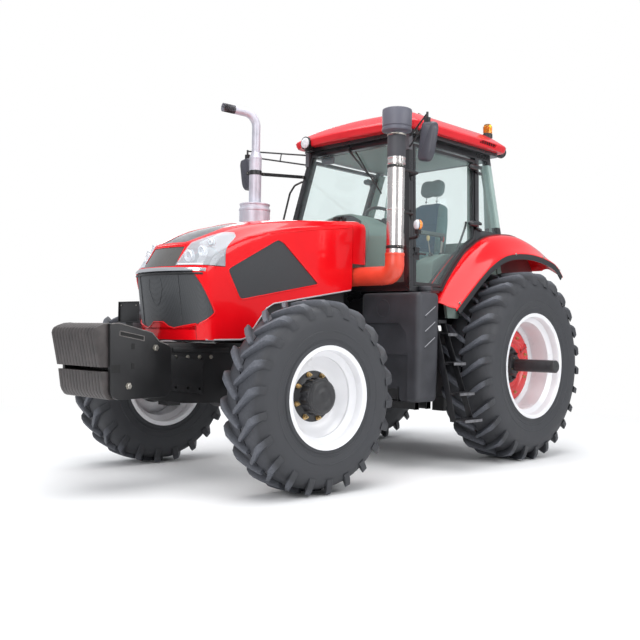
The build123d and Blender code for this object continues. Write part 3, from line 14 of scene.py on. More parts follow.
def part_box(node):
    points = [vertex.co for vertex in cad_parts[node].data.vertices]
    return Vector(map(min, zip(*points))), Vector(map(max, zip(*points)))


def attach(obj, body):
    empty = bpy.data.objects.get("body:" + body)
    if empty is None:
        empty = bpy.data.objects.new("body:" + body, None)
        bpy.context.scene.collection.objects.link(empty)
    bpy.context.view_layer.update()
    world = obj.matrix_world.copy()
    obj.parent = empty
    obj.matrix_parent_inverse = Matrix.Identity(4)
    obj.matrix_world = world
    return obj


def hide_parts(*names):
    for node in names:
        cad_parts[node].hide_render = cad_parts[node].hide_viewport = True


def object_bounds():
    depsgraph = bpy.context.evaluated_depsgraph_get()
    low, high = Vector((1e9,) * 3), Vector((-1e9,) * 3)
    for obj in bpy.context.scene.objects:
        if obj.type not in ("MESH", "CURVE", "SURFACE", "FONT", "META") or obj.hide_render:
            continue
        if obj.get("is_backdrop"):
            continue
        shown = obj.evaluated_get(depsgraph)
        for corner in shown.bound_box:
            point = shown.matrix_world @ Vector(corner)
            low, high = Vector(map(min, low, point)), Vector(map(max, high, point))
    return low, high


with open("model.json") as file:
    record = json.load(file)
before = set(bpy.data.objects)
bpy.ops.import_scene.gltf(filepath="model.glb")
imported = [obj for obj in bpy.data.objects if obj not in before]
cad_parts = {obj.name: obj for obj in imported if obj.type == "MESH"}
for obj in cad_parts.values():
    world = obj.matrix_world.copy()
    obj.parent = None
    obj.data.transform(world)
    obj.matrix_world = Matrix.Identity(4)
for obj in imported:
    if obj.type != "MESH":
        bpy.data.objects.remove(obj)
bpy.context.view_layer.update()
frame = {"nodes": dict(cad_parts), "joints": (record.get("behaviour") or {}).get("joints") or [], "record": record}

# ------------------------------------------------------------------ camera
# One camera at standing height off the front left corner, with a mild long lens.
REAR_Y = next(j["pos_m"][1] for j in frame["joints"] if j["name"] == "roll_rear_left")
camera_data = bpy.data.cameras.new("camera")
camera_data.lens = 47.70
camera_data.sensor_width = 36
camera = bpy.data.objects.new("camera", camera_data)
bpy.context.scene.collection.objects.link(camera)
yaw, pitch, roll = math.radians(44.5716), math.radians(0.9577), math.radians(1.0529)
ahead = Vector((-math.sin(yaw) * math.cos(pitch), math.cos(yaw) * math.cos(pitch), math.sin(pitch)))
level = ahead.cross(Vector((0, 0, 1))).normalized()
upright = level.cross(ahead)
camera_right = level * math.cos(roll) + upright * math.sin(roll)
camera_up = upright * math.cos(roll) - level * math.sin(roll)
turned = Matrix((camera_right, camera_up, -ahead)).transposed().to_4x4()
camera.matrix_world = Matrix.Translation((5.4811, REAR_Y - 7.2884, 1.1748)) @ turned
bpy.context.scene.camera = camera

# ------------------------------------------------------------------ floor and light
# A pale studio floor that turns white away from the tractor, under one large overhead softbox,
# with weaker ones at the front and the sides.
FLOOR_HALF = 40
floor_mesh = bpy.data.meshes.new("floor")
floor_mesh.from_pydata([(-FLOOR_HALF, -FLOOR_HALF, 0), (FLOOR_HALF, -FLOOR_HALF, 0),
                        (FLOOR_HALF, FLOOR_HALF, 0), (-FLOOR_HALF, FLOOR_HALF, 0)], [], [(0, 1, 2, 3)])
floor = bpy.data.objects.new("floor", floor_mesh)
bpy.context.scene.collection.objects.link(floor)
floor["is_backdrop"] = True


def node_maker(tree):
    """A short way to add a tree's nodes: in_ values fill or join their inputs."""

    def node(kind, **values):
        made = tree.nodes.new(kind if "Node" in kind else "ShaderNode" + kind)
        for key, value in values.items():
            if not key.startswith("in_"):
                setattr(made, key, value)
                continue
            socket = made.inputs[int(key[3:]) if key[3:].isdigit() else key[3:].replace("_", " ")]
            if isinstance(value, bpy.types.NodeSocket):
                tree.links.new(value, socket)
            else:
                socket.default_value = value
        return made

    return node


def shading_of(owner):
    """The emptied shading tree of a material or world, ready for its nodes."""
    owner.use_nodes = True
    owner.node_tree.nodes.clear()
    return node_maker(owner.node_tree)


floor_paint = bpy.data.materials.new("studio_floor")
node = shading_of(floor_paint)
place = node("TexCoord")
reach = node("VectorMath", operation="LENGTH", in_0=place.outputs["Object"])
fade = node("MapRange", in_0=reach.outputs["Value"], in_1=3.2, in_2=7.5, in_3=0.0, in_4=1.0,
            interpolation_type="SMOOTHSTEP")
seen = node("LightPath")
bright = node("Math", operation="MULTIPLY", in_0=fade.outputs[0], in_1=seen.outputs["Is Camera Ray"])
matte = node("BsdfDiffuse", in_Color=(0.86, 0.86, 0.86, 1))
white = node("Emission", in_Color=(1, 1, 1, 1), in_Strength=1.0)
mixed = node("MixShader", in_0=bright.outputs[0], in_1=matte.outputs[0], in_2=white.outputs[0])
node("OutputMaterial", in_Surface=mixed.outputs[0])
floor_mesh.materials.append(floor_paint)

world = bpy.data.worlds.new("studio")
bpy.context.scene.world = world
node = shading_of(world)
seen = node("LightPath")
dim = node("Background", in_Color=(0.92, 0.95, 1.0, 1), in_Strength=0.62)
white_sky = node("Background", in_Color=(1, 1, 1, 1), in_Strength=1.0)
mixed = node("MixShader", in_0=seen.outputs["Is Camera Ray"], in_1=dim.outputs[0],
             in_2=white_sky.outputs[0])
node("OutputWorld", in_Surface=mixed.outputs[0])
bpy.context.scene.view_settings.view_transform = "Standard"

SOFTBOXES = [
    # name, place, aim, width, height, power
    ("softbox_top", (0.5, -0.8, 7.5), (0, 0, 1.0), 7.0, 9.0, 620),
    ("softbox_front", (3.5, -8.5, 4.2), (0, -1.0, 1.2), 5.0, 3.5, 240),
    ("softbox_left", (8.0, 1.5, 4.5), (0, 0.5, 1.2), 6.0, 3.5, 260),
    ("softbox_back", (-7.0, 5.5, 4.5), (0, 0.5, 1.5), 6.0, 3.5, 200),
]
for name, at, aim, width, height, power in SOFTBOXES:
    lamp = bpy.data.lights.new(name, "AREA")
    lamp.shape = "RECTANGLE"
    lamp.size, lamp.size_y, lamp.energy = width, height, power
    holder = bpy.data.objects.new(name, lamp)
    holder.location = at
    holder.rotation_euler = (Vector(aim) - Vector(at)).to_track_quat("-Z", "Y").to_euler()
    bpy.context.scene.collection.objects.link(holder)

# ------------------------------------------------------------------ engine and drive housing
# Grey iron castings for the gearbox, the rear axle and the engine, bolted end to end, and
# sprayed dark grey after assembly. They carry everything else.
SHARP = math.radians(32)


def begun(name):
    """A new material, its node maker, and the place on the piece."""
    material = bpy.data.materials.new(name)
    node = shading_of(material)
    return material, node, node("TexCoord").outputs["Object"]


def rgba(colour, share=1.0):
    """The colour, or a darker or paler share of it, with its alpha."""
    return tuple(c * share for c in colour) + (1,)


def surface(name, colour, roughness=0.45, metallic=0.0, coat=0.0, mottle=0.10, mottle_scale=4.0,
            grain=0.2, grain_scale=350.0, grain_depth=0.0006, uneven=0.12, shine=0.5):
    """A finish whose colour, gloss and fine grain vary over the piece."""
    material, node, place = begun(name)
    cloud = node("TexNoise", in_Vector=place, in_Scale=mottle_scale, in_Detail=7.0)
    speck = node("TexNoise", in_Vector=place, in_Scale=grain_scale, in_Detail=3.0)
    spread = node("MapRange", in_0=cloud.outputs["Fac"], in_1=0.3, in_2=0.7)
    dark = rgba(colour, 1 - mottle)
    pale = tuple(min(c * (1 + mottle) + 0.01 * mottle, 1) for c in colour) + (1,)
    tone = node("Mix", data_type="RGBA", in_0=spread.outputs[0], in_6=dark, in_7=pale)
    gloss = node("MapRange", in_0=cloud.outputs["Fac"], in_1=0.3, in_2=0.7,
                 in_3=max(roughness - uneven / 2, 0.02), in_4=min(roughness + uneven / 2, 1))
    bump = node("Bump", in_Strength=grain, in_Distance=grain_depth, in_Height=speck.outputs["Fac"])
    shader = node("BsdfPrincipled", in_Base_Color=tone.outputs[2], in_Roughness=gloss.outputs[0],
                  in_Metallic=metallic, in_Specular_IOR_Level=shine, in_Coat_Weight=coat,
                  in_Coat_Roughness=0.06, in_Normal=bump.outputs[0])
    node("OutputMaterial", in_Surface=shader.outputs[0])
    return material


BOX_FACES = [(0, 1, 3, 2), (4, 6, 7, 5), (0, 4, 5, 1), (2, 3, 7, 6), (0, 2, 6, 4), (1, 5, 7, 3)]


class Piece:
    """A piece in the making: shapes are added to one mesh, each in its finish."""

    def __init__(self, name):
        self.name = name
        self.mesh = bmesh.new()
        self.finishes = []

    def number(self, finish):
        """The finish's number on this piece, which takes it up when it is new."""
        if finish not in self.finishes:
            self.finishes.append(finish)
        return self.finishes.index(finish)

    def add(self, points, faces, finish):
        """Points and faces; returns the points' vertices."""
        number = self.number(finish)
        corners = [self.mesh.verts.new(p) for p in points]
        for face in faces:
            self.mesh.faces.new([corners[i] for i in face]).material_index = number
        return corners

    def block(self, x, y, z, finish):
        """Box between pairs of coordinates."""
        return self.add([(a, b, c) for a in x for b in y for c in z], BOX_FACES, finish)

    def loft(self, rings, finish):
        """Skin over closed rings with as many points each, and over the two ends."""
        n, count = len(rings[0]), len(rings) * len(rings[0])
        faces = [(r + k, r + (k + 1) % n, r + n + (k + 1) % n, r + n + k)
                 for r in range(0, count - n, n) for k in range(n)]
        faces += [tuple(range(n)), tuple(range(count - 1, count - n - 1, -1))]
        return self.add([p for ring in rings for p in ring], faces, finish)

    def prism(self, outline, axis, low, high, finish):
        """Outline in the plane across an axis, drawn out along it."""
        put = {
            "x": lambda a, b, c: (c, a, b),
            "y": lambda a, b, c: (a, c, b),
            "z": lambda a, b, c: (a, b, c),
        }[axis]
        return self.loft([[put(a, b, c) for a, b in outline] for c in (low, high)], finish)

    def lathe(self, profile, axis, centre, finish, steps=48, closed=False):
        """Profile of (along, radius) turned about a line along x, y or z."""
        centre = Vector(centre)
        side = {"x": (0, 1, 2), "y": (1, 2, 0), "z": (2, 0, 1)}[axis]
        points, rings = [], []
        for along, radius in profile:
            ring = []
            for k in range(steps if radius > 1e-6 else 1):
                angle = 2 * math.pi * k / steps
                at = [0, 0, 0]
                at[side[0]] = along
                at[side[1]] = radius * math.cos(angle)
                at[side[2]] = radius * math.sin(angle)
                ring.append(len(points))
                points.append(centre + Vector(at))
            rings.append(ring)
        faces = []
        pairs = list(zip(rings, rings[1:])) + ([(rings[-1], rings[0])] if closed else [])
        for a, b in pairs:
            for k in range(steps):
                j = (k + 1) % steps
                quad = [a[k % len(a)], a[j % len(a)], b[j % len(b)], b[k % len(b)]]
                quad = [v for i, v in enumerate(quad) if v not in quad[:i]]
                if len(quad) > 2:
                    faces.append(tuple(quad))
        return self.add(points, faces, finish)

    def tube(self, path, radius, finish, steps=14):
        """Round bar along a path of points; radius may be a list, one for each point."""
        path = [Vector(p) for p in path]
        radii = radius if isinstance(radius, (list, tuple)) else [radius] * len(path)
        runs = [(b - a).normalized() for a, b in zip(path, path[1:])]
        across = runs[0].orthogonal().normalized()
        rings = []
        for i, p in enumerate(path):
            before, after = runs[max(i - 1, 0)], runs[min(i, len(runs) - 1)]
            across = (across - across.dot(after) * after).normalized() if i else across
            along = (before + after).normalized()
            stretch = 1 / max(along.dot(after), 0.3)
            a = (across - across.dot(along) * along).normalized()
            b = along.cross(a)
            bend = before.cross(after)
            ring = []
            for k in range(steps):
                angle = 2 * math.pi * k / steps
                out = a * math.cos(angle) + b * math.sin(angle)
                if bend.length > 1e-5:
                    toward = bend.normalized().cross(along)
                    out += toward * (out.dot(toward) * (stretch - 1))
                ring.append(p + out * radii[i])
            rings.append(ring)
        return self.loft(rings, finish)

    def take(self, mesh, finish, matrix=None):
        """Adds a finished mesh."""
        faces, verts = set(self.mesh.faces), set(self.mesh.verts)
        self.mesh.from_mesh(mesh)
        number = self.number(finish)
        for face in self.mesh.faces:
            if face not in faces:
                face.material_index = number
        if matrix:
            fresh = [v for v in self.mesh.verts if v not in verts]
            bmesh.ops.transform(self.mesh, matrix=matrix, verts=fresh)

    def plain(self):
        """The shapes as one plain mesh, which ends the piece."""
        bmesh.ops.recalc_face_normals(self.mesh, faces=self.mesh.faces[:])
        data = bpy.data.meshes.new(self.name)
        self.mesh.to_mesh(data)
        self.mesh.free()
        return data

    def mirrored(self):
        """Adds the same shapes on the other side of the tractor."""
        made = bmesh.ops.duplicate(self.mesh,
                                   geom=self.mesh.verts[:] + self.mesh.edges[:] + self.mesh.faces[:])
        faces = [g for g in made["geom"] if isinstance(g, bmesh.types.BMFace)]
        for vert in {v for f in faces for v in f.verts}:
            vert.co.x = -vert.co.x
        bmesh.ops.reverse_faces(self.mesh, faces=faces)

    def broken(self, width, segments=2, limit=SHARP):
        """Breaks the hard edges."""
        bmesh.ops.recalc_face_normals(self.mesh, faces=self.mesh.faces[:])
        edges = [e for e in self.mesh.edges if len(e.link_faces) == 2 and e.calc_face_angle() > limit]
        bmesh.ops.bevel(self.mesh, geom=edges, offset=width, segments=segments, profile=0.6,
                        affect="EDGES", clamp_overlap=True)

    def done(self, body, replaces=(), slot=None, turn=None, smooth=SHARP):
        """Makes the object, smooth but for its sharp edges, and lets it ride on a body."""
        if turn:
            bmesh.ops.transform(self.mesh, matrix=turn, verts=self.mesh.verts[:])
        bmesh.ops.recalc_face_normals(self.mesh, faces=self.mesh.faces[:])
        for edge in self.mesh.edges:
            edge.smooth = len(edge.link_faces) != 2 or edge.calc_face_angle() < smooth
        for face in self.mesh.faces:
            face.smooth = True
        data = self.plain()
        for finish in self.finishes:
            data.materials.append(finish)
        made = bpy.data.objects.new(self.name, data)
        bpy.context.scene.collection.objects.link(made)
        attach(made, body)
        if replaces:
            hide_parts(*replaces)
        return made


def softened(node_name, finish, width, body="chassis"):
    """A copy of a CAD piece with its edges broken, which stands for it."""
    piece = Piece(node_name + "_finished")
    piece.mesh.from_mesh(frame["nodes"][node_name].data)
    piece.finishes.append(finish)
    for face in piece.mesh.faces:
        face.material_index = 0
    bmesh.ops.remove_doubles(piece.mesh, verts=piece.mesh.verts[:], dist=2e-5)
    bmesh.ops.dissolve_limit(piece.mesh, angle_limit=math.radians(0.6), verts=piece.mesh.verts[:],
                             edges=piece.mesh.edges[:])
    piece.broken(width, 2, math.radians(50))
    slot = next(s["material_slot"] for s in frame["record"]["subparts"] if s["node"] == node_name)
    return piece.done(body, (node_name,), slot)


casting = surface("dark_grey_casting", (0.028, 0.028, 0.030), 0.55, mottle=0.35, mottle_scale=9, grain=0.5,
                  grain_scale=180, grain_depth=0.0012)
softened("drive_housing", casting, 0.006)
softened("axle_housings", casting, 0.006)
softened("engine_block", casting, 0.006)

# ------------------------------------------------------------------ front frame
# Two thick side plates and the cast carrier for the weights, bolted to the engine and painted
# black, with the bolt heads standing on the plates.
black_paint = surface("black_frame_paint", (0.011, 0.011, 0.012), 0.38, mottle=0.25, grain=0.25)
softened("front_frame", black_paint, 0.004)


def ring_of(node, given):
    """Points that turn a part about a line along X."""
    points = node("GeometryNodePoints", in_Count=given["Count"], in_Position=given["Centre"])
    step = node("Math", operation="DIVIDE", in_0=2 * math.pi, in_1=given["Count"])
    angle = node("Math", operation="MULTIPLY_ADD", in_0=node("GeometryNodeInputIndex").outputs[0],
                 in_1=step.outputs[0], in_2=given["Phase"])
    return points, node("CombineXYZ", in_0=angle.outputs[0])


def row_of(node, given):
    """Points at equal steps along a line."""
    return node("GeometryNodeMeshLine", mode="OFFSET", in_Count=given["Count"],
                in_Start_Location=given["Start"], in_Offset=given["Step"]), None


def repeat_tree(name, sizes, lay_out):
    """A tree that sets copies of one part on the points that lay_out makes."""
    tree = bpy.data.node_groups.new(name, "GeometryNodeTree")
    for label, kind in (("Part", "Object"), ("Finish", "Material"), ("Count", "Int"), *sizes):
        tree.interface.new_socket(label, in_out="INPUT", socket_type="NodeSocket" + kind)
    tree.interface.new_socket("Geometry", in_out="OUTPUT", socket_type="NodeSocketGeometry")
    node = node_maker(tree)
    given = node("NodeGroupInput").outputs
    points, turn = lay_out(node, given)
    part = node("GeometryNodeObjectInfo", in_Object=given["Part"])
    copies = node("GeometryNodeInstanceOnPoints", in_Points=points.outputs[0],
                  in_Instance=part.outputs["Geometry"])
    if turn:
        tree.links.new(turn.outputs[0], copies.inputs["Rotation"])
    real = node("GeometryNodeRealizeInstances", in_0=copies.outputs[0])
    paint = node("GeometryNodeSetMaterial", in_Geometry=real.outputs[0], in_Material=given["Finish"])
    node("NodeGroupOutput", in_0=paint.outputs[0])
    return tree


RINGS = repeat_tree("ring_of_parts", (("Phase", "Float"), ("Centre", "Vector")), ring_of)
ROWS = repeat_tree("row_of_parts", (("Start", "Vector"), ("Step", "Vector")), row_of)


def shown(data):
    """A working object for a mesh."""
    made = bpy.data.objects.new("working", data)
    bpy.context.scene.collection.objects.link(made)
    return made


def settled(obj, *helpers):
    """The mesh of a working object with its modifiers applied; the working objects go."""
    mesh = bpy.data.meshes.new_from_object(obj.evaluated_get(bpy.context.evaluated_depsgraph_get()))
    for item in (obj, *helpers):
        bpy.data.objects.remove(item)
    return mesh


def repeated(tree, part, **values):
    """The mesh that a tree makes of a Piece's shapes; the values are the tree's named inputs."""
    values["Finish"] = part.finishes[0]
    values["Part"] = shown(part.plain())
    host = shown(bpy.data.meshes.new("host"))
    modifier = host.modifiers.new("repeat", "NODES")
    modifier.node_group = tree
    for item in tree.interface.items_tree:
        if item.in_out == "INPUT":
            modifier[item.identifier] = values[item.name]
    return settled(host, values["Part"])


def hex_head(finish, radius, height, washer=1.5):
    """A bolt head on its washer, pointing along +X from the origin."""
    head = Piece("head")
    head.lathe([(0, 0), (0, radius * washer), (height * 0.2, radius * washer), (height * 0.2, radius),
                (height * 0.9, radius), (height, radius * 0.82), (height, 0)], "x", (0, 0, 0), finish, 6)
    return head


def from_axle(outline):
    """An outline in lengths behind the rear axle and heights, as (y, z)."""
    return [(REAR_Y + y, z) for y, z in outline]


zinc = surface("zinc_bolt", (0.42, 0.40, 0.36), 0.35, metallic=1.0, mottle=0.2, grain=0.1)
plate_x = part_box("front_frame")[1].x
plate = Piece("frame_plate_details")
# raised edge of the carrier, a stiffening rib and the two bolt rows on each plate
plate.block((plate_x, plate_x + 0.012), (REAR_Y - 3.58, REAR_Y - 3.05), (1.02, 1.055), black_paint)
plate.prism(from_axle([(-3.60, 0.74), (-3.30, 0.70), (-3.30, 0.96), (-3.60, 1.0)]),
            "x", plate_x, plate_x + 0.014, black_paint)
plate.broken(0.003)
# each row of bolts: the first one's place, the step to the next, and how many
BOLT_ROWS = [(-3.55, 0.985, 0.11, 0.0, 4), (-3.55, 0.76, 0.11, -0.008, 3), (-2.94, 0.95, 0.16, 0.0, 4),
             (-2.94, 1.05, 0.16, 0.0, 4)]
for y, z, step_y, step_z, count in BOLT_ROWS:
    bolts = repeated(ROWS, hex_head(zinc, 0.012, 0.012), Count=count,
                     Start=(plate_x + 0.002, REAR_Y + y, z), Step=(0, step_y, step_z))
    plate.take(bolts, zinc)
plate.mirrored()
plate.done("chassis", slot="grey_paint")

# ------------------------------------------------------------------ front weights
# Fourteen cast iron slabs hooked side by side on the carrier, each with a grip slot in front, held
# between two bolted cover plates. Worn dark paint, with bare edges along the tops.
slab_iron = surface("weight_iron_brown", (0.044, 0.037, 0.036), 0.48, mottle=0.35, mottle_scale=14,
                    grain=0.6, grain_scale=140, grain_depth=0.0015)
edge_iron = surface("weight_edge_worn", (0.15, 0.14, 0.135), 0.42, metallic=0.4, mottle=0.3,
                    mottle_scale=30)
CARRIER_Y = REAR_Y - 3.780
WEIGHTS = 14
SLAB_PITCH = 0.600 / WEIGHTS
WEIGHTS_Z = 0.690


def ballast(outline):
    """An outline in lengths ahead of the carrier and heights over the weights' foot, as (y, z)."""
    return [(CARRIER_Y - ahead, WEIGHTS_Z + height) for ahead, height in outline]


slab_outline = [(0.452, 0.460), (0.448, 0.480), (0.436, 0.500), (0.405, 0.517), (0.370, 0.529),
                (0.336, 0.536), (0.0, 0.475), (0.0, 0.0), (0.320, 0.0), (0.340, 0.010), (0.362, 0.040),
                (0.372, 0.066), (0.392, 0.198), (0.214, 0.194), (0.207, 0.199), (0.207, 0.216),
                (0.214, 0.222), (0.402, 0.228)]
slab = Piece("slab")
slab.prism(ballast(slab_outline), "x", 0.0, SLAB_PITCH - 0.003, slab_iron)
slab.broken(0.003, 2, math.radians(30))
weights = Piece("ballast_weights_finished")
weights.take(repeated(ROWS, slab, Count=WEIGHTS, Start=(-0.2985, 0, 0), Step=(SLAB_PITCH, 0, 0)), slab_iron)
worn = Piece("worn_edge")
brow = ballast([(0.447, 0.470), (0.434, 0.4985), (0.403, 0.5155), (0.368, 0.527), (0.336, 0.5335)])
worn.tube([(0.020, y, z) for y, z in brow], 0.0035, edge_iron, 6)
weights.take(repeated(ROWS, worn, Count=WEIGHTS, Start=(-0.300, 0, 0), Step=(SLAB_PITCH, 0, 0)), edge_iron)
weights.block((-0.296, 0.296), (CARRIER_Y - 0.20, CARRIER_Y - 0.02), (0.70, 1.10), slab_iron)
weights.done("chassis", ("ballast_weights",), "weight_iron")

covers = Piece("ballast_covers_finished")
cover_outline = [(0.348, 0.532), (0.280, 0.538), (0.0, 0.475), (-0.060, 0.415), (-0.140, 0.388),
                 (-0.165, 0.365), (-0.170, 0.340), (-0.170, 0.060), (-0.158, 0.028), (-0.120, 0.005),
                 (0.270, 0.0), (0.305, 0.012), (0.325, 0.035), (0.333, 0.060)]
covers.prism(ballast(cover_outline), "x", 0.300, 0.333, black_paint)
covers.broken(0.005, 3)
# pocket near the top, with its raised rim: not sunk, but a flat near-black patch of painted shadow
# near-black for painted shadow in the pocket, the slots and the gaps at the chin's ends
painted_shadow_dark = surface("pocket_shadow", (0.006, 0.006, 0.006), 0.7)
pocket = ballast([(0.270, 0.482), (0.070, 0.447), (0.070, 0.415), (0.270, 0.450)])
covers.tube([(0.3335, y, z) for y, z in pocket + pocket[:1]], 0.0035, edge_iron, 8)
covers.prism(pocket, "x", 0.318, 0.3334, painted_shadow_dark)
brow = ballast([(0.340, 0.530), (0.280, 0.536), (0.002, 0.473), (-0.058, 0.413), (-0.138, 0.386)])
covers.tube([(0.333, y, z) for y, z in brow], 0.004, edge_iron, 8)
for y, z in ballast([(-0.03, 0.365), (0.19, 0.095)]):
    covers.lathe([(0, 0), (0, 0.026), (0.004, 0.026), (0.004, 0.019), (0.016, 0.019), (0.020, 0.015),
                  (0.020, 0)], "x", (0.333, y, z), zinc, 6)
# slots in each cover plate, drawn as small dark blocks of painted shadow
for y, z in ballast([(0.16, 0.375), (0.16, 0.235)]):
    covers.block((0.333, 0.336), (y - 0.012, y + 0.012), (z - 0.020, z + 0.020), painted_shadow_dark)
covers.block((0.318, 0.3345), (CARRIER_Y - 0.330, CARRIER_Y - 0.262), (0.880, 0.935), painted_shadow_dark)
covers.mirrored()
covers.done("chassis", ("ballast_covers",), "black_paint")

# blank number plate on its stem, which stands on the carrier
plate = Piece("number_plate_blank")
plate.block((-0.135, 0.135), (CARRIER_Y + 0.012, CARRIER_Y + 0.016), (1.238, 1.392), black_paint)
plate.broken(0.0015)
rim = [(-0.133, 1.240), (0.133, 1.240), (0.133, 1.390), (-0.133, 1.390), (-0.133, 1.240)]
plate.tube([(x, CARRIER_Y + 0.008, z) for x, z in rim], 0.004, black_paint, 8)
plate.block((-0.045, 0.045), (CARRIER_Y + 0.016, CARRIER_Y + 0.022), (1.085, 1.30), black_paint)
for x in (-0.10, 0.10):
    plate.lathe([(-0.004, 0), (-0.004, 0.006), (0.0, 0.006), (0, 0)], "y", (x, CARRIER_Y + 0.012, 1.365),
                zinc, 12)
plate.done("chassis", slot="black_paint")

# ------------------------------------------------------------------ tyres
# Black agricultural tyres, 16.9-28 in front and 20.8-38 behind: a moulded carcass with faint rings
# on its side, and angled bar lugs on both halves of the tread, staggered, which end over the shoulder.
FRONT_AXLE_Y = REAR_Y - 2.830
KINGPIN = {"left": Vector((0.860, FRONT_AXLE_Y, 0)), "right": Vector((-0.860, FRONT_AXLE_Y, 0))}
roll_axis = next(j["axis"] for j in frame["joints"] if j["name"] == "roll_front_left")
PARKED = Matrix.Rotation(math.atan(roll_axis[1] / roll_axis[0]), 4, "Z")
FLIP = Matrix.Diagonal((-1, 1, 1, 1))


def parked(side):
    """Puts a front wheel's piece, made for the left wheel pointing ahead, in its parked place."""
    pivot = Matrix.Translation(KINGPIN[side])
    turn = pivot @ PARKED @ pivot.inverted()
    return turn if side == "left" else turn @ FLIP


def straight(side):
    """Puts a rear wheel's piece, made for the left wheel, on its side."""
    return None if side == "left" else FLIP


def curve_through(points, steps=4):
    """A smooth line through the points."""
    line = [points[0], *points, points[-1]]
    found = []
    for p0, p1, p2, p3 in zip(line, line[1:], line[2:], line[3:]):
        for k in range(steps):
            t = k / steps
            found.append(tuple(0.5 * (2 * b + (c - a) * t + (2 * a - 5 * b + 4 * c - d) * t * t
                                      + (3 * b - a - 3 * c + d) * t ** 3)
                               for a, b, c, d in zip(p0, p1, p2, p3)))
    return found + [tuple(points[-1])]


def rubber(name, centre, tread_r):
    """Tyre rubber: bluish black on the side, paler and scuffed towards the lugs' tops."""
    material, node, place = begun(name)
    off = node("VectorMath", operation="SUBTRACT", in_0=place, in_1=(0, centre.y, centre.z))
    flat = node("VectorMath", operation="MULTIPLY", in_0=off.outputs[0], in_1=(0, 1, 1))
    radius = node("VectorMath", operation="LENGTH", in_0=flat.outputs[0])
    high = node("MapRange", in_0=radius.outputs["Value"], in_1=tread_r - 0.05, in_2=tread_r)
    cloud = node("TexNoise", in_Vector=place, in_Scale=6.0, in_Detail=8.0, in_Roughness=0.62)
    scuff = node("TexNoise", in_Vector=place, in_Scale=60.0, in_Detail=5.0, in_Roughness=0.7)
    worn = node("Math", operation="MULTIPLY", in_0=high.outputs[0], in_1=scuff.outputs["Fac"])
    base = node("Mix", data_type="RGBA", in_0=cloud.outputs["Fac"], in_6=(0.020, 0.021, 0.024, 1),
                in_7=(0.046, 0.048, 0.055, 1))
    tone = node("Mix", data_type="RGBA", in_0=worn.outputs[0], in_6=base.outputs[2],
                in_7=(0.150, 0.160, 0.190, 1))
    gloss = node("MapRange", in_0=cloud.outputs["Fac"], in_1=0.3, in_2=0.7, in_3=0.50, in_4=0.72)
    fine = node("TexNoise", in_Vector=place, in_Scale=420.0, in_Detail=3.0)
    rough = node("Mix", data_type="FLOAT", in_0=0.35, in_2=fine.outputs["Fac"], in_3=scuff.outputs["Fac"])
    bump = node("Bump", in_Strength=0.35, in_Distance=0.0012, in_Height=rough.outputs[0])
    shader = node("BsdfPrincipled", in_Base_Color=tone.outputs[2], in_Roughness=gloss.outputs[0],
                  in_Normal=bump.outputs[0])
    node("OutputMaterial", in_Surface=shader.outputs[0])
    return material


def tyre_shapes(name, centre, tread_r, half, wall, bead, lugs, finish):
    """One tyre: wall is the carcass from the crown to the bead as (offset, radius) pairs."""
    line = curve_through(wall, 4)
    piece = Piece(name)
    far_side = [(-x, r) for x, r in reversed(line[1:])]
    inside = [(-bead, wall[-1][1]), (bead, wall[-1][1])]
    piece.lathe(line + far_side + inside, "x", centre, finish, 132, closed=True)
    # moulded rings on both side walls
    for sign in (1, -1):
        for share in (0.30, 0.50, 0.78):
            k = int((len(line) - 1) * (0.55 + 0.45 * share))
            x, r = line[k]
            bead_line = [(sign * (x - 0.003), r - 0.010), (sign * (x + 0.0022), r - 0.004),
                         (sign * (x + 0.0022), r + 0.004), (sign * (x - 0.003), r + 0.010)]
            piece.lathe(bead_line, "x", centre, finish, 132, closed=True)
    pitch = 2 * math.pi / lugs
    drop = tread_r - wall[0][1]
    # offset from the middle, radius of the top and of the foot, sweep, half widths of top and foot
    stations = [
        (-0.016, tread_r - 0.004, tread_r - drop - 0.012, -0.010, 0.010, 0.018),
        (0.006, tread_r - 0.001, tread_r - drop - 0.012, 0.006, 0.017, 0.027),
        (0.30 * half, tread_r, tread_r - drop - 0.012, 0.052, 0.018, 0.030),
        (0.52 * half, tread_r, tread_r - drop - 0.018, 0.094, 0.020, 0.034),
        (half - 0.058, tread_r - 0.002, tread_r - drop - 0.035, 0.138, 0.023, 0.038),
        (half - 0.030, tread_r - 0.024, tread_r - drop - 0.055, 0.155, 0.025, 0.038),
        (half - 0.010, tread_r - 0.060, tread_r - drop - 0.080, 0.166, 0.026, 0.038),
        (half - 0.001, tread_r - 0.098, tread_r - drop - 0.085, 0.172, 0.023, 0.032),
    ]
    for sign in (1, -1):
        lug = Piece("lug")
        rings = []
        for x, top, foot, sweep, wide, wide_foot in stations:
            ring = []
            for r, w in ((foot, -wide_foot), (top - 0.010, -wide - 0.004), (top, -wide), (top, wide),
                         (top - 0.010, wide + 0.004), (foot, wide_foot)):
                a = (sweep + w) / tread_r
                ring.append((sign * x, -r * math.cos(a), r * math.sin(a)))
            rings.append(ring)
        lug.loft(rings, finish)
        start = math.pi / 2 - 0.019 / tread_r - (0 if sign > 0 else 0.5) * pitch
        piece.take(repeated(RINGS, lug, Count=lugs, Phase=start, Centre=centre), finish)
    return piece


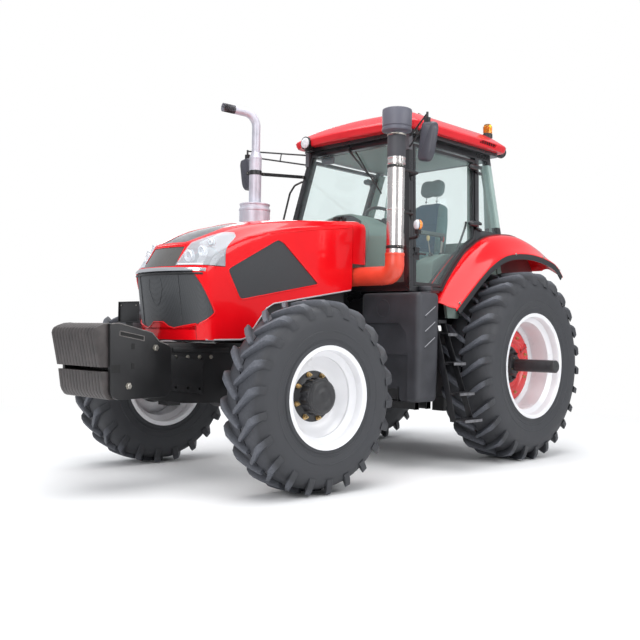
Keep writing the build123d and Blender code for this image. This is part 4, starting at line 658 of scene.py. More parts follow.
FRONT_CENTRE = Vector((1.020, FRONT_AXLE_Y, 0.715))
REAR_CENTRE = Vector((0.980, REAR_Y, 0.908))
FRONT_WALL = [(0, 0.676), (0.06, 0.675), (0.11, 0.670), (0.15, 0.657), (0.18, 0.634), (0.197, 0.604),
              (0.207, 0.566), (0.209, 0.530), (0.206, 0.485), (0.198, 0.440), (0.192, 0.408),
              (0.200, 0.392), (0.200, 0.366)]
REAR_WALL = [(0, 0.862), (0.08, 0.860), (0.14, 0.853), (0.19, 0.838), (0.228, 0.812), (0.250, 0.776),
             (0.261, 0.733), (0.263, 0.690), (0.258, 0.630), (0.246, 0.580), (0.238, 0.545), (0.240, 0.520),
             (0.238, 0.490)]
front_rubber = rubber("front_tyre_rubber", FRONT_CENTRE, 0.715)
rear_rubber = rubber("rear_tyre_rubber", REAR_CENTRE, 0.908)
for side in ("left", "right"):
    tyre = tyre_shapes(f"tyre_front_{side}_treaded", FRONT_CENTRE, 0.715, 0.210, FRONT_WALL, 0.19, 22,
                       front_rubber)
    tyre.done(f"wheel_front_{side}", (f"tyre_front_{side}",), "tyre_rubber", parked(side), math.radians(38))
    tyre = tyre_shapes(f"tyre_rear_{side}_treaded", REAR_CENTRE, 0.908, 0.264, REAR_WALL, 0.23, 26,
                       rear_rubber)
    tyre.done(f"wheel_rear_{side}", (f"tyre_rear_{side}",), "tyre_rubber", straight(side), math.radians(38))

# ------------------------------------------------------------------ rims and hubs
# White pressed rims with rolled flanges: in front a deep smooth bowl bolted to the black planetary
# hub with brass-coloured nuts, behind a white rim on a red cast centre with a long bar axle.
rim_white = surface("rim_white_paint", (0.80, 0.80, 0.82), 0.30, coat=0.4, mottle=0.03, grain=0.08)
hub_black = surface("hub_black_paint", (0.020, 0.020, 0.022), 0.42, mottle=0.3, mottle_scale=20, grain=0.4,
                    grain_scale=160, grain_depth=0.0008)
brass = surface("brass_coloured_nut", (0.55, 0.40, 0.20), 0.32, metallic=1.0, mottle=0.25, mottle_scale=30,
                grain=0.1)
centre_red = surface("wheel_centre_red", (0.66, 0.016, 0.018), 0.30, coat=0.6, mottle=0.06, grain=0.12)
plug_red = surface("plug_red", (0.70, 0.02, 0.02), 0.35)


def rolled_rim(name, centre, rim_r, half, seat, finish):
    """Rim shell: rolled flanges, bead seats and the drop centre."""
    well = seat - 0.045
    outer = [(half - 0.004, rim_r - 0.006), (half, rim_r - 0.002), (half - 0.003, rim_r),
             (half - 0.010, rim_r - 0.002), (half - 0.012, rim_r - 0.008), (half - 0.013, seat + 0.004),
             (half - 0.018, seat), (half - 0.075, seat - 0.003), (half - 0.108, well), (0, well)]
    inner = [(0, well - 0.009), (half - 0.104, well - 0.009), (half - 0.072, seat - 0.012),
             (half - 0.020, seat - 0.010), (half - 0.008, seat - 0.004), (half - 0.004, seat + 0.006)]
    profile = outer + [(-x, r) for x, r in reversed(outer[:-1])]
    profile += [(-x, r) for x, r in reversed(inner)] + inner[1:]
    piece = Piece(name)
    piece.lathe(profile, "x", centre, finish, 96, closed=True)
    return piece


def studs(piece, centre, x, circle, count, phase, radius, height, finish, washer=1.35):
    """Hexagon nuts on a bolt circle, facing outwards."""
    nut = Piece("nut")
    nut.lathe([(x, 0), (x, radius * washer), (x + height * 0.25, radius * washer),
               (x + height * 0.25, radius), (x + height * 0.85, radius), (x + height, radius * 0.8),
               (x + height, radius * 0.5), (x + height * 1.5, radius * 0.45), (x + height * 1.5, 0)], "x",
              (0, circle, 0), finish, 6)
    piece.take(repeated(RINGS, nut, Count=count, Phase=phase, Centre=(0, centre.y, centre.z)), finish)


def front_rim(side):
    c = FRONT_CENTRE
    piece = rolled_rim(f"rim_front_{side}_finished", c, 0.381, 0.206, 0.351, rim_white)
    # bowl: from the drop centre's outer edge smoothly down to the hub face
    bowl = curve_through([(0.088, 0.300), (0.078, 0.292), (0.048, 0.262), (0.026, 0.225), (0.020, 0.195),
                          (0.020, 0.136)], 4)
    back = [(x - 0.009, r - 0.001) for x, r in reversed(bowl)]
    piece.lathe(bowl + back, "x", c, rim_white, 96, closed=True)
    return piece


def arc_lip(piece, centre, x, radius, start, end, width, finish):
    """Rolled edge along an arc of a disc."""
    path = []
    for k in range(13):
        a = start + (end - start) * k / 12
        path.append((x, centre.y - radius * math.cos(a), centre.z + radius * math.sin(a)))
    piece.tube(path, width, finish, 8)


shadow = surface("dish_slot_shadow", (0.10, 0.10, 0.105), 0.6)
# the two lips and the bottom of a groove: back, front, and how far its sides stand aside
GROOVE = [(-0.060, -0.0335, -0.0045, -0.022, centre_red), (-0.060, -0.0335, 0.0045, 0.022, centre_red),
          (-0.050, -0.0372, -0.0045, 0.0045, shadow)]
for side in ("left", "right"):
    turn = parked(side)
    body = f"wheel_front_{side}"
    piece = front_rim(side)
    face = FRONT_CENTRE.x + 0.024
    for start in (0.75, -1.32):
        arc_lip(piece, FRONT_CENTRE, face + 0.004, 0.236, start, start + 0.42, 0.0035, rim_white)
    piece.done(body, (f"rim_front_{side}",), "white_paint", turn)

    hub = Piece(f"hub_front_{side}_finished")
    c = FRONT_CENTRE
    end = 1.165
    drum = [(0.0, 0.0), (0.0, 0.185), (0.020, 0.190), (0.021, 0.150), (0.030, 0.133), (0.112, 0.133),
            (0.118, 0.128), (0.128, 0.128), (0.136, 0.120), (0.141, 0.108), (0.138, 0.100), (0.1385, 0.060),
            (0.143, 0.052), (0.145, 0.030), (0.145, 0.0)]
    hub.lathe([(x - 0.020, r) for x, r in drum], "x", (c.x + 0.020, c.y, c.z), hub_black, 72)
    ribs = Piece("rib")
    ribs.prism([(0.118, -0.016), (0.139, -0.012), (0.139, 0.012), (0.118, 0.016)], "x", c.x + 0.012,
               c.x + 0.100, hub_black)
    ribs.broken(0.004)
    hub.take(repeated(RINGS, ribs, Count=16, Phase=0.1, Centre=(0, c.y, c.z)), hub_black)
    bolts = Piece("cap_bolt")
    bolts.lathe([(0.118, 0), (0.118, 0.010), (0.126, 0.010), (0.126, 0)], "x", (c.x, 0.119, 0), hub_black,
                12)
    hub.take(repeated(RINGS, bolts, Count=16, Phase=0.3, Centre=(0, c.y, c.z)), hub_black)
    # sculpted cap: five raised pads
    pad = Piece("pad")
    pad.prism([(0.030, -0.014), (0.052, -0.020), (0.080, -0.017), (0.086, 0.0), (0.080, 0.017),
               (0.052, 0.020), (0.030, 0.014)], "x", c.x + 0.110, c.x + 0.1265, hub_black)
    pad.broken(0.005, 3)
    hub.take(repeated(RINGS, pad, Count=5, Phase=0.2, Centre=(0, c.y, c.z)), hub_black)
    studs(hub, c, c.x + 0.020, 0.168, 8, 0.30, 0.016, 0.026, brass)
    hub.lathe([(0.10, 0), (0.10, 0.013), (0.124, 0.012), (0.127, 0.008), (0.127, 0)], "x",
              (c.x, c.y + 0.055, c.z - 0.080), plug_red, 20)
    hub.done(body, (f"hub_front_{side}",), "black_paint", turn)

    # rear wheel
    body = f"wheel_rear_{side}"
    turn = straight(side)
    c = REAR_CENTRE
    piece = rolled_rim(f"rim_rear_{side}_finished", c, 0.508, 0.245, 0.478, rim_white)
    dish = [(-0.045, 0.424), (-0.047, 0.400), (-0.060, 0.380), (-0.082, 0.372), (-0.083, 0.305),
            (-0.095, 0.305), (-0.095, 0.385), (-0.072, 0.392), (-0.058, 0.408), (-0.056, 0.424)]
    piece.lathe(dish, "x", c, rim_white, 96, closed=True)
    piece.done(body, (f"rim_rear_{side}",), "white_paint", turn)

    hub = Piece(f"hub_rear_{side}_finished")
    plate = [(-0.083, 0.185), (-0.083, 0.362), (-0.056, 0.366), (-0.046, 0.358), (-0.038, 0.318),
             (-0.038, 0.262), (-0.046, 0.250), (-0.062, 0.236), (-0.063, 0.185)]
    hub.lathe(plate, "x", c, centre_red, 96, closed=True)
    # three joints between the centre's castings, as dark grooves with raised lips
    for k in range(3):
        a = math.radians(28 + 120 * k)
        along = Vector((0, -math.cos(a), math.sin(a)))
        across = Vector((0, math.sin(a), math.cos(a)))
        for back, front, w1, w2, finish in GROOVE:
            corners = ((0.245, w1), (0.352, w1), (0.352, w2), (0.245, w2))
            sides = [c + along * r + across * w for r, w in corners]
            hub.loft([[(c.x + x, p.y, p.z) for p in sides] for x in (back, front)], finish)
    flange = [(-0.110, 0.0), (-0.110, 0.230), (-0.086, 0.232), (-0.083, 0.226), (-0.083, 0.188),
              (-0.050, 0.184), (-0.044, 0.172), (-0.044, 0.120), (-0.034, 0.108), (0.018, 0.096),
              (0.030, 0.086), (0.030, 0.0)]
    hub.lathe(flange, "x", c, hub_black, 72)
    bar = [(-0.12, 0.0), (-0.12, 0.060), (0.462, 0.060), (0.470, 0.052), (0.470, 0.017), (0.464, 0.010),
           (0.464, 0.0)]
    hub.lathe(bar, "x", c, hub_black, 48)
    inner = [(-0.374, 0.0), (-0.374, 0.060), (-0.215, 0.060), (-0.215, 0.108), (-0.135, 0.116),
             (-0.125, 0.2), (-0.11, 0.2), (-0.11, 0.0)]
    hub.lathe(inner, "x", c, hub_black, 48)
    studs(hub, c, c.x - 0.044, 0.148, 10, 0.2, 0.013, 0.022, hub_black)
    studs(hub, c, c.x + 0.016, 0.078, 4, 0.5, 0.009, 0.014, brass)
    studs(hub, c, c.x - 0.038, 0.290, 8, 0.35, 0.014, 0.016, brass)
    hub.done(body, (f"hub_rear_{side}",), "black_paint", turn)

# ------------------------------------------------------------------ hood
# One-piece pressed hood in glossy red paint that lifts with the grille and headlights: a smooth
# tunnel with a ridge along each shoulder, closed in front by a leaning, curved nose.
gloss_red = surface("gloss_red_paint", (0.78, 0.003, 0.008), 0.20, coat=0.45, shine=0.15, mottle=0.03,
                    grain=0.03, grain_scale=900, grain_depth=0.0002, uneven=0.04)
satin_black = surface("satin_black_plastic", (0.012, 0.012, 0.013), 0.42, mottle=0.2, grain=0.3,
                      grain_scale=500)
# pale grey of the hood foot's rolled edge: a painted highlight
rolled_edge_highlight_grey = surface("edge_strip_grey", (0.42, 0.42, 0.44), 0.32, mottle=0.1)
HOOD_REAR, HOOD_FOOT, BROW = -1.790, 1.02, 1.64
PROFILE = curve_through([(-3.640, 1.712, 1.575), (-3.455, 1.829, 1.700), (-3.300, 1.910, 1.790),
                         (-3.000, 2.035, 1.930), (-2.500, 2.135, 2.055), (-1.650, 2.213, 2.165),
                         (-1.550, 2.220, 2.174)], 8)
NOSE_LINE = [(0.90, -3.455), (1.50, -3.541), (1.58, -3.553), (1.63, -3.559), (1.645, -3.557),
             (1.66, -3.549), (1.70, -3.521), (2.30, -3.131)]
PLAN = [(0, 0), (0.05, 0.0016), (0.10, 0.0065), (0.15, 0.0147), (0.20, 0.0264), (0.25, 0.0418),
        (0.30, 0.0608), (0.34, 0.0790), (0.37, 0.0946), (0.39, 0.1063), (0.415, 0.126), (0.433, 0.148),
        (0.444, 0.172), (0.449, 0.200), (0.450, 0.235)]
# across the hood, from the side over the shoulder to the middle: x, shares of the top's and the
# shoulder's heights, and what is added
ACROSS = curve_through([(0.450, 0, 1, -0.070), (0.4492, 0, 1, -0.050), (0.446, 0, 1, -0.030),
                        (0.439, 0, 1, -0.014), (0.428, 0, 1, -0.004), (0.415, 0.045, 0.955, 0.0),
                        (0.39, 0.26, 0.74, -0.001), (0.36, 0.53, 0.47, 0.001), (0.33, 0.78, 0.22, -0.006),
                        (0.30, 0.96, 0.04, -0.019), (0.26, 1, 0, -0.0155), (0.20, 1, 0, -0.0095),
                        (0.13, 1, 0, -0.004), (0.065, 1, 0, -0.001), (0, 1, 0, 0)], 2)


def between(table, at, column=1):
    """Value of a column of a table whose first column rises."""
    for a, b in zip(table, table[1:]):
        if at <= b[0]:
            share = (at - a[0]) / (b[0] - a[0])
            return a[column] + (b[column] - a[column]) * min(max(share, 0), 1)
    return table[-1][column]


def nose_y(x, z):
    return between(NOSE_LINE, z) + between(PLAN, abs(x))


def hood_z(line, y):
    """Height at y of one of the lines across the hood."""
    return line[1] * between(PROFILE, y) + line[2] * between(PROFILE, y, 2) + line[3]


def hood_x(y, z):
    """Half width of the hood at y and z, nose and shoulder included."""
    depth = y - between(NOSE_LINE, z)
    wide = 0.450
    for a, b in zip(PLAN, PLAN[1:]):
        if a[1] <= depth <= b[1]:
            wide = a[0] + (b[0] - a[0]) * (depth - a[1]) / (b[1] - a[1])
    for a, b in zip(ACROSS, ACROSS[1:]):
        low, high = hood_z(a, y), hood_z(b, y)
        if low <= z <= high:
            wide = min(wide, a[0] + (b[0] - a[0]) * (z - low) / (high - low))
    return wide


def hood_surface(sink=0.0):
    """Open surface of the hood, sunk below the outer skin."""
    low_steps, high_steps, rows = 12, 4, 34
    tops = []
    for line in ACROSS:
        z = 1.8
        for _ in range(30):
            y = nose_y(line[0], z)
            z = hood_z(line, y)
        tops.append((line[0], y, z))
    side = tops[0]

    def level(j, top):
        if j <= low_steps:
            return HOOD_FOOT + (BROW - HOOD_FOOT) * j / low_steps
        return BROW + (top - BROW) * (j - low_steps) / high_steps

    def back_to(y_end):
        return [HOOD_REAR + (y_end - HOOD_REAR) * r / rows for r in range(rows + 1)]

    levels = low_steps + high_steps
    mesh = bmesh.new()
    half = []
    for j in range(levels):
        y_end = nose_y(0.45, level(j, side[2]))
        half.append([(0.45, y, level(j, hood_z(ACROSS[0], y))) for y in back_to(y_end)])
    for line, (x, y_end, _) in zip(ACROSS, tops):
        half.append([(x, y, hood_z(line, y)) for y in back_to(y_end)])
    lines = half + [[(-x, y, z) for x, y, z in line] for line in reversed(half[:-1])]
    grid = [[mesh.verts.new(p) for p in line] for line in lines]
    for a, b in zip(grid, grid[1:]):
        for r in range(rows):
            mesh.faces.new((a[r], a[r + 1], b[r + 1], b[r]))
    columns = tops + [(-x, y, z) for x, y, z in reversed(tops[:-1])]
    front = []
    for x, _, top in columns:
        heights = [level(j, top) for j in range(levels + 1)]
        front.append([mesh.verts.new((x, nose_y(x, z), z)) for z in heights])
    for a, b in zip(front, front[1:]):
        for j in range(levels):
            mesh.faces.new((a[j], b[j], b[j + 1], a[j + 1]))
    bmesh.ops.remove_doubles(mesh, verts=mesh.verts[:], dist=2e-5)
    bmesh.ops.recalc_face_normals(mesh, faces=mesh.faces[:])
    middle = max(mesh.faces, key=lambda f: f.calc_center_median().z)
    if middle.normal.z < 0:
        bmesh.ops.reverse_faces(mesh, faces=mesh.faces[:])
    mesh.normal_update()
    if sink:
        moves = [(v, v.normal * -sink) for v in mesh.verts]
        for v, move in moves:
            v.co += move
    return mesh


def thickened(mesh, wall):
    """Closed shell from an open surface, its wall added on the inside."""
    for vert in mesh.verts:
        vert.co.y += REAR_Y
    data = bpy.data.meshes.new("shell")
    mesh.to_mesh(data)
    mesh.free()
    host = shown(data)
    modifier = host.modifiers.new("wall", "SOLIDIFY")
    modifier.thickness = wall
    modifier.offset = -1
    modifier.use_even_offset = False
    return settled(host)


def carved(base, cutter, kind):
    """Mesh of base cut by cutter: DIFFERENCE, INTERSECT or UNION."""
    target, tool = shown(base), shown(cutter)
    modifier = target.modifiers.new("cut", "BOOLEAN")
    modifier.operation = kind
    modifier.solver = "EXACT"
    modifier.object = tool
    return settled(target, tool)


def rounded(outline, radius, steps=5):
    """Outline with its corners rounded."""
    found = []
    n = len(outline)
    for i in range(n):
        a, b, c = (Vector(outline[k % n]) for k in (i - 1, i, i + 1))
        out = min(radius, (a - b).length * 0.45, (c - b).length * 0.45)
        p, q = b + (a - b).normalized() * out, b + (c - b).normalized() * out
        for k in range(steps + 1):
            t = k / steps
            found.append(tuple(p * (1 - t) ** 2 + b * 2 * t * (1 - t) + q * t * t))
    return found


def drawn_in(outline, margin):
    """Outline moved inwards by a margin, or outwards where it is negative."""
    area = sum(a[0] * b[1] - b[0] * a[1] for a, b in zip(outline, outline[1:] + outline[:1]))
    sign = 1 if area > 0 else -1
    found = []
    n = len(outline)
    for i in range(n):
        a, b, c = (Vector(outline[k % n]) for k in (i - 1, i, i + 1))
        u, v = (b - a).normalized(), (c - b).normalized()
        nu, nv = Vector((-u.y, u.x)) * sign, Vector((-v.y, v.x)) * sign
        bend = nu + nv
        found.append(tuple(b + bend * (margin / max(bend.dot(nu), 0.4))))
    return found


def zone(parts):
    """Cutter made of prisms: axis, outline, low, high."""
    piece = Piece("zone")
    for axis, outline, low, high in parts:
        points = [(y + REAR_Y, z) for y, z in outline] if axis == "x" else outline
        points = [(x, y + REAR_Y) for x, y in outline] if axis == "z" else points
        piece.prism(points, axis, low, high, gloss_red)
    return piece.plain()


HOOD_SIDE = rounded([(-3.80, 1.108), (-3.023, 1.122), (-2.960, 1.150), (-2.780, 1.380), (-2.708, 1.419),
                     (-1.790, 1.572), (-1.790, 2.40), (-3.80, 2.40)], 0.03)
GRILLE_SIDE = rounded([(-3.468, 1.640), (-3.302, 1.317), (-3.440, 1.205), (-3.80, 1.205), (-3.80, 1.640)],
                      0.02)
MESH_SIDE = rounded([(-3.194, 1.658), (-2.681, 1.932), (-2.615, 1.914), (-2.201, 1.594), (-3.062, 1.428)],
                    0.035, 7)
LAMP_PLAN = rounded([(0.200, -3.62), (0.212, -3.44), (0.290, -3.19), (0.366, -3.062), (0.398, -3.07),
                     (0.470, -3.27), (0.480, -3.60)], 0.05)
BADGE_LOW, BADGE_HIGH, BADGE_X = 1.668, 1.838, 0.212
BADGE = [(-BADGE_X, BADGE_LOW), (BADGE_X, BADGE_LOW), (BADGE_X - 0.012, BADGE_HIGH - 0.012),
         (-BADGE_X + 0.012, BADGE_HIGH - 0.012)]
TOP_PANEL = rounded([(-0.170, -3.385), (0.170, -3.385), (0.235, -3.16), (0.185, -2.86), (0.0, -2.80),
                     (-0.185, -2.86), (-0.235, -3.16)], 0.05, 6)
NOSE_DEPTH = (REAR_Y - 3.7, REAR_Y - 3.36)
lamp_mirror = [(-x, y) for x, y in LAMP_PLAN]
skin = thickened(hood_surface(), 0.012)
cutter = zone([
    ("x", GRILLE_SIDE, -0.6, 0.6), ("x", MESH_SIDE, 0.40, 0.60), ("x", MESH_SIDE, -0.60, -0.40),
    ("z", LAMP_PLAN, 1.672, 2.2), ("z", lamp_mirror, 1.672, 2.2),
])
shell = carved(carved(skin, zone([("x", HOOD_SIDE, -0.6, 0.6)]), "INTERSECT"), cutter, "DIFFERENCE")
shell = carved(shell, zone([("y", BADGE, *NOSE_DEPTH)]), "DIFFERENCE")
shell = carved(shell, zone([("z", TOP_PANEL, 1.86, 2.3)]), "DIFFERENCE")
hood = Piece("hood_shell_finished")
hood.take(shell, gloss_red)


def skin_line(points, lift=0.0):
    """Points on the hood's left side from (y, z) pairs."""
    return [(hood_x(y, z) + lift, REAR_Y + y, z) for y, z in points]


def run(points, steps=8):
    """Points closely along straight runs, so that a strip follows the curved skin."""
    found = []
    for a, b in zip(points, points[1:]):
        found += [tuple(Vector(a).lerp(Vector(b), k / steps)) for k in range(steps)]
    return found + [points[-1]]


for sign in (1, -1):
    # rolled edges: along the hood's foot in pale grey, a painted highlight on its rolled edge,
    # round the mesh panel and round the grille's side
    foot = skin_line(run([(-3.36, 1.118), (-3.05, 1.122), (-2.985, 1.138), (-2.79, 1.372), (-2.71, 1.414),
                          (-1.80, 1.566)], 5), -0.004)
    hood.tube([(sign * x, y, z) for x, y, z in foot], 0.007, rolled_edge_highlight_grey, 8)
    rim_line = skin_line(run(MESH_SIDE + MESH_SIDE[:1], 2), -0.001)
    hood.tube([(sign * x, y, z) for x, y, z in rim_line], 0.0055, gloss_red, 8)
    jaw = skin_line(run([(-3.462, 1.632), (-3.305, 1.324), (-3.320, 1.305), (-3.400, 1.238)], 6), -0.001)
    hood.tube([(sign * x, y, z) for x, y, z in jaw], 0.006, gloss_red, 8)
    # the crease that runs back from the headlight's tip along the flank
    crease = skin_line(run([(-3.02, 1.915), (-2.70, 1.985), (-2.20, 2.060), (-1.80, 2.118)], 6), 0.001)
    hood.tube([(sign * x, y, z) for x, y, z in crease], [0.0012] + [0.004] * (len(crease) - 2) + [0.0012],
              gloss_red, 8)
# hinge barrels at the rear edge
for sign in (1, -1):
    hood.lathe([(-0.030, 0.009), (-0.030, 0.015), (0.030, 0.015), (0.030, 0.009)], "x",
               (sign * 0.270, REAR_Y - 1.787, 2.219), satin_black, 24, closed=True)
    hood.block((sign * 0.270 - 0.028, sign * 0.270 + 0.028), (REAR_Y - 1.845, REAR_Y - 1.795),
               (2.178, 2.207), satin_black)
hood.done("hood", ("hood_shell",), "red_paint")

# ------------------------------------------------------------------ grille, headlights and cowl
# Charcoal moulded grille with a fine mesh under a chrome strip, a dark bare badge panel between two
# clear headlights with chromed reflectors, and sunk mesh panels in the hood's top and flanks.


def meshed(name, colour, pitch, depth):
    """Charcoal plastic with a regular fine mesh pressed into it, its holes painted darker as painted shade."""
    material, node, place = begun(name)
    cloud = node("TexNoise", in_Vector=place, in_Scale=3.0, in_Detail=5.0)
    cells = node("TexVoronoi", in_Vector=place, in_Scale=1 / pitch, in_Randomness=0.0)
    hole = node("MapRange", in_0=cells.outputs["Distance"], in_1=0.25, in_2=0.42)
    body = node("Mix", data_type="RGBA", in_0=cloud.outputs["Fac"], in_6=rgba(colour),
                in_7=rgba(colour, 1.25))
    # the holes' darker colour is painted shade inside them
    tone = node("Mix", data_type="RGBA", in_0=hole.outputs[0], in_6=rgba(colour, 0.35),
                in_7=body.outputs[2])
    bump = node("Bump", in_Strength=0.6, in_Distance=depth, in_Height=hole.outputs[0])
    shader = node("BsdfPrincipled", in_Base_Color=tone.outputs[2], in_Roughness=0.36,
                  in_Normal=bump.outputs[0])
    node("OutputMaterial", in_Surface=shader.outputs[0])
    return material


def pane(name, tint, thick_tint, haze=0.03, dust_tint=(0.62, 0.72, 0.70)):
    """A thin clear sheet that gleams where it is seen edge on."""
    material, node, place = begun(name)
    film = node("TexNoise", in_Vector=place, in_Scale=1.3, in_Detail=3.0)
    tone = node("Mix", data_type="RGBA", in_0=film.outputs["Fac"], in_6=rgba(tint), in_7=rgba(thick_tint))
    facing = node("LayerWeight", in_Blend=0.5)
    grazing = node("Math", operation="POWER", in_0=facing.outputs["Facing"], in_1=4.0)
    edge_on = node("Math", operation="MULTIPLY_ADD", in_0=grazing.outputs[0], in_1=0.55, in_2=0.035)
    through = node("BsdfTransparent", in_Color=tone.outputs[2])
    gleam = node("BsdfGlossy", in_Color=(0.95, 0.98, 1.0, 1), in_Roughness=0.02)
    both_ways = node("MixShader", in_0=edge_on.outputs[0], in_1=through.outputs[0], in_2=gleam.outputs[0])
    dust = node("BsdfDiffuse", in_Color=rgba(dust_tint))
    dusty = node("MixShader", in_0=haze, in_1=both_ways.outputs[0], in_2=dust.outputs[0])
    node("OutputMaterial", in_Surface=dusty.outputs[0])
    return material


def clear(name, colour, roughness=0.02, tint=0.85):
    """Clear plastic, dyed through."""
    material, node, place = begun(name)
    cloud = node("TexNoise", in_Vector=place, in_Scale=2.0)
    tone = node("Mix", data_type="RGBA", in_0=cloud.outputs["Fac"], in_6=rgba(colour),
                in_7=rgba(colour, 0.94))
    shader = node("BsdfPrincipled", in_Base_Color=tone.outputs[2], in_Roughness=roughness,
                  in_Transmission_Weight=1.0, in_IOR=1.30, in_Alpha=tint)
    node("OutputMaterial", in_Surface=shader.outputs[0])
    return material


def on_nose(x, z, back=0.0):
    """A point on the nose's skin, or behind it."""
    return Vector((x, REAR_Y + nose_y(x, z) + back, z))


def cut_from(skin, *parts):
    """What a skin keeps inside a zone."""
    return carved(skin.copy(), zone(parts), "INTERSECT")


grille_mesh = meshed("grille_mesh", (0.055, 0.058, 0.062), 0.006, 0.001)
panel_mesh = meshed("flank_mesh", (0.042, 0.045, 0.050), 0.005, 0.001)
top_mesh = meshed("top_panel_mesh", (0.060, 0.060, 0.068), 0.008, 0.001)
badge_gloss = surface("badge_panel_gloss", (0.060, 0.055, 0.050), 0.12, coat=1.0, mottle=0.2, grain=0.05)
chrome = surface("chrome", (0.78, 0.78, 0.80), 0.08, metallic=1.0, mottle=0.05, grain=0.02)
lamp_white = surface("lamp_bowl_white", (0.92, 0.93, 0.95), 0.30, metallic=0.25, mottle=0.05)
lens_clear = pane("headlight_lens", (0.97, 0.98, 0.99), (0.93, 0.95, 0.97), 0.26, (0.84, 0.86, 0.90))
sunk = thickened(hood_surface(0.005), 0.008)

grille = Piece("nose_grille_finished")
grille.take(cut_from(sunk, ("x", drawn_in(GRILLE_SIDE, 0.002), -0.6, 0.6)), grille_mesh)
for x in (-0.25, 0.25):
    grille.tube([on_nose(x, z, 0.003) for z in (1.215, 1.30, 1.40, 1.50, 1.58, 1.618)], 0.003, grille_mesh,
                8)
# frame lines on the grille: a black band along its top, painted shadow in the gap under the
# chrome strip, and a faint shield pressed in the middle
grille.tube([on_nose(x / 100, 1.612, -0.001) for x in range(-43, 44, 2)], 0.008, satin_black, 8)
shield = [(-0.075, 1.575), (0.075, 1.575), (0.085, 1.50), (0.045, 1.40), (0.0, 1.375), (-0.045, 1.40),
          (-0.085, 1.50), (-0.075, 1.575)]
grille.tube([on_nose(x, z, 0.0045) for x, z in shield], 0.0022, grille_mesh, 6)
grille.done("hood", ("nose_grille",), "grille_plastic")

flanks = Piece("hood_mesh_finished")
for low, high in ((0.38, 0.60), (-0.60, -0.38)):
    flanks.take(cut_from(sunk, ("x", drawn_in(MESH_SIDE, 0.003), low, high)), panel_mesh)
flanks.done("hood", ("hood_mesh",), "grille_plastic")

trim = Piece("nose_trim")
deep = thickened(hood_surface(0.004), 0.008)
trim.take(cut_from(deep, ("y", drawn_in(BADGE, 0.001), *NOSE_DEPTH)), badge_gloss)
trim.take(cut_from(sunk, ("z", drawn_in(TOP_PANEL, 0.002), 1.86, 2.3)), top_mesh)
# chrome strip along the brow, thick in the middle and tapering to the sides
strip = []
for x in [k / 100 for k in range(-44, 45, 2)]:
    fade = 1 - 0.55 * (abs(x) / 0.44) ** 2
    section = [(-0.002, 1.630 - 0.006 * fade), (0.012 * fade + 0.002, 1.632), (0.015 * fade + 0.002, 1.645),
               (0.010 * fade + 0.002, 1.645 + 0.016 * fade), (-0.002, 1.645 + 0.020 * fade)]
    strip.append([on_nose(x, z, -out) for out, z in section])
trim.loft(strip, chrome)
# red lip over the badge panel
lip = [on_nose(x / 100, BADGE_HIGH, 0.002) + Vector((0, 0, 0.002)) for x in range(-20, 21, 2)]
trim.tube(lip, 0.006, gloss_red, 8)
# the chin's raised middle, with its rolled upper edge
chin_line = [(-0.360, 1.236), (-0.165, 1.200), (-0.115, 1.214), (-0.060, 1.247), (0.060, 1.247),
             (0.115, 1.214), (0.165, 1.200), (0.360, 1.236)]
chin = chin_line + [(0.36, 1.190), (-0.36, 1.190)]
trim.take(cut_from(thickened(hood_surface(), 0.012), ("y", chin, *NOSE_DEPTH)), gloss_red)
trim.tube([on_nose(x, z, 0.001) for x, z in run(chin_line, 5)], 0.006, gloss_red, 8)
# thin dark lines at the chin's ends: painted shadow in the gaps
for x in (-0.355, 0.355):
    trim.tube([on_nose(x, z, 0.0005) for z in (1.112, 1.17, 1.232)], 0.0014, painted_shadow_dark, 6)
trim.done("hood", slot="black_plastic")

# headlights: round pale cups with chromed bulbs under a clear lens, over a pale sill
CUP = [(0.0, 1.12), (-0.006, 1.15), (-0.010, 1.05), (0.004, 0.72), (0.014, 0.30), (0.016, 0.0),
       (0.024, 0.0), (0.024, 1.12)]
BULB = [(0.012, 0.0), (-0.002, 0.34), (-0.010, 0.30), (-0.013, 0.0)]
lamp_zone = ("z", drawn_in(LAMP_PLAN, 0.0025), 1.677, 2.2)
lights = Piece("headlights_finished")
lights.take(cut_from(thickened(hood_surface(0.0015), 0.003), lamp_zone), lens_clear)
for x, z, size in ((0.262, 1.752, 0.040), (0.345, 1.790, 0.034), (0.372, 1.862, 0.020)):
    tilt = Matrix.Translation(on_nose(x, z, 0.020)) @ Matrix.Rotation(math.radians(8), 4, "X")
    for section, finish, around in ((CUP, lamp_white, 32), (BULB, chrome, 24)):
        part = Piece("reflector")
        part.lathe([(along, size * share) for along, share in section], "y", (0, 0, 0), finish, around)
        lights.take(part.plain(), finish, tilt)
lights.tube([on_nose(x, 1.684, 0.012) for x in (0.22, 0.26, 0.30, 0.34, 0.38, 0.41)], 0.007, lamp_white, 8)
lights.mirrored()
lights.done("hood", ("headlights",), "lamp_lens")

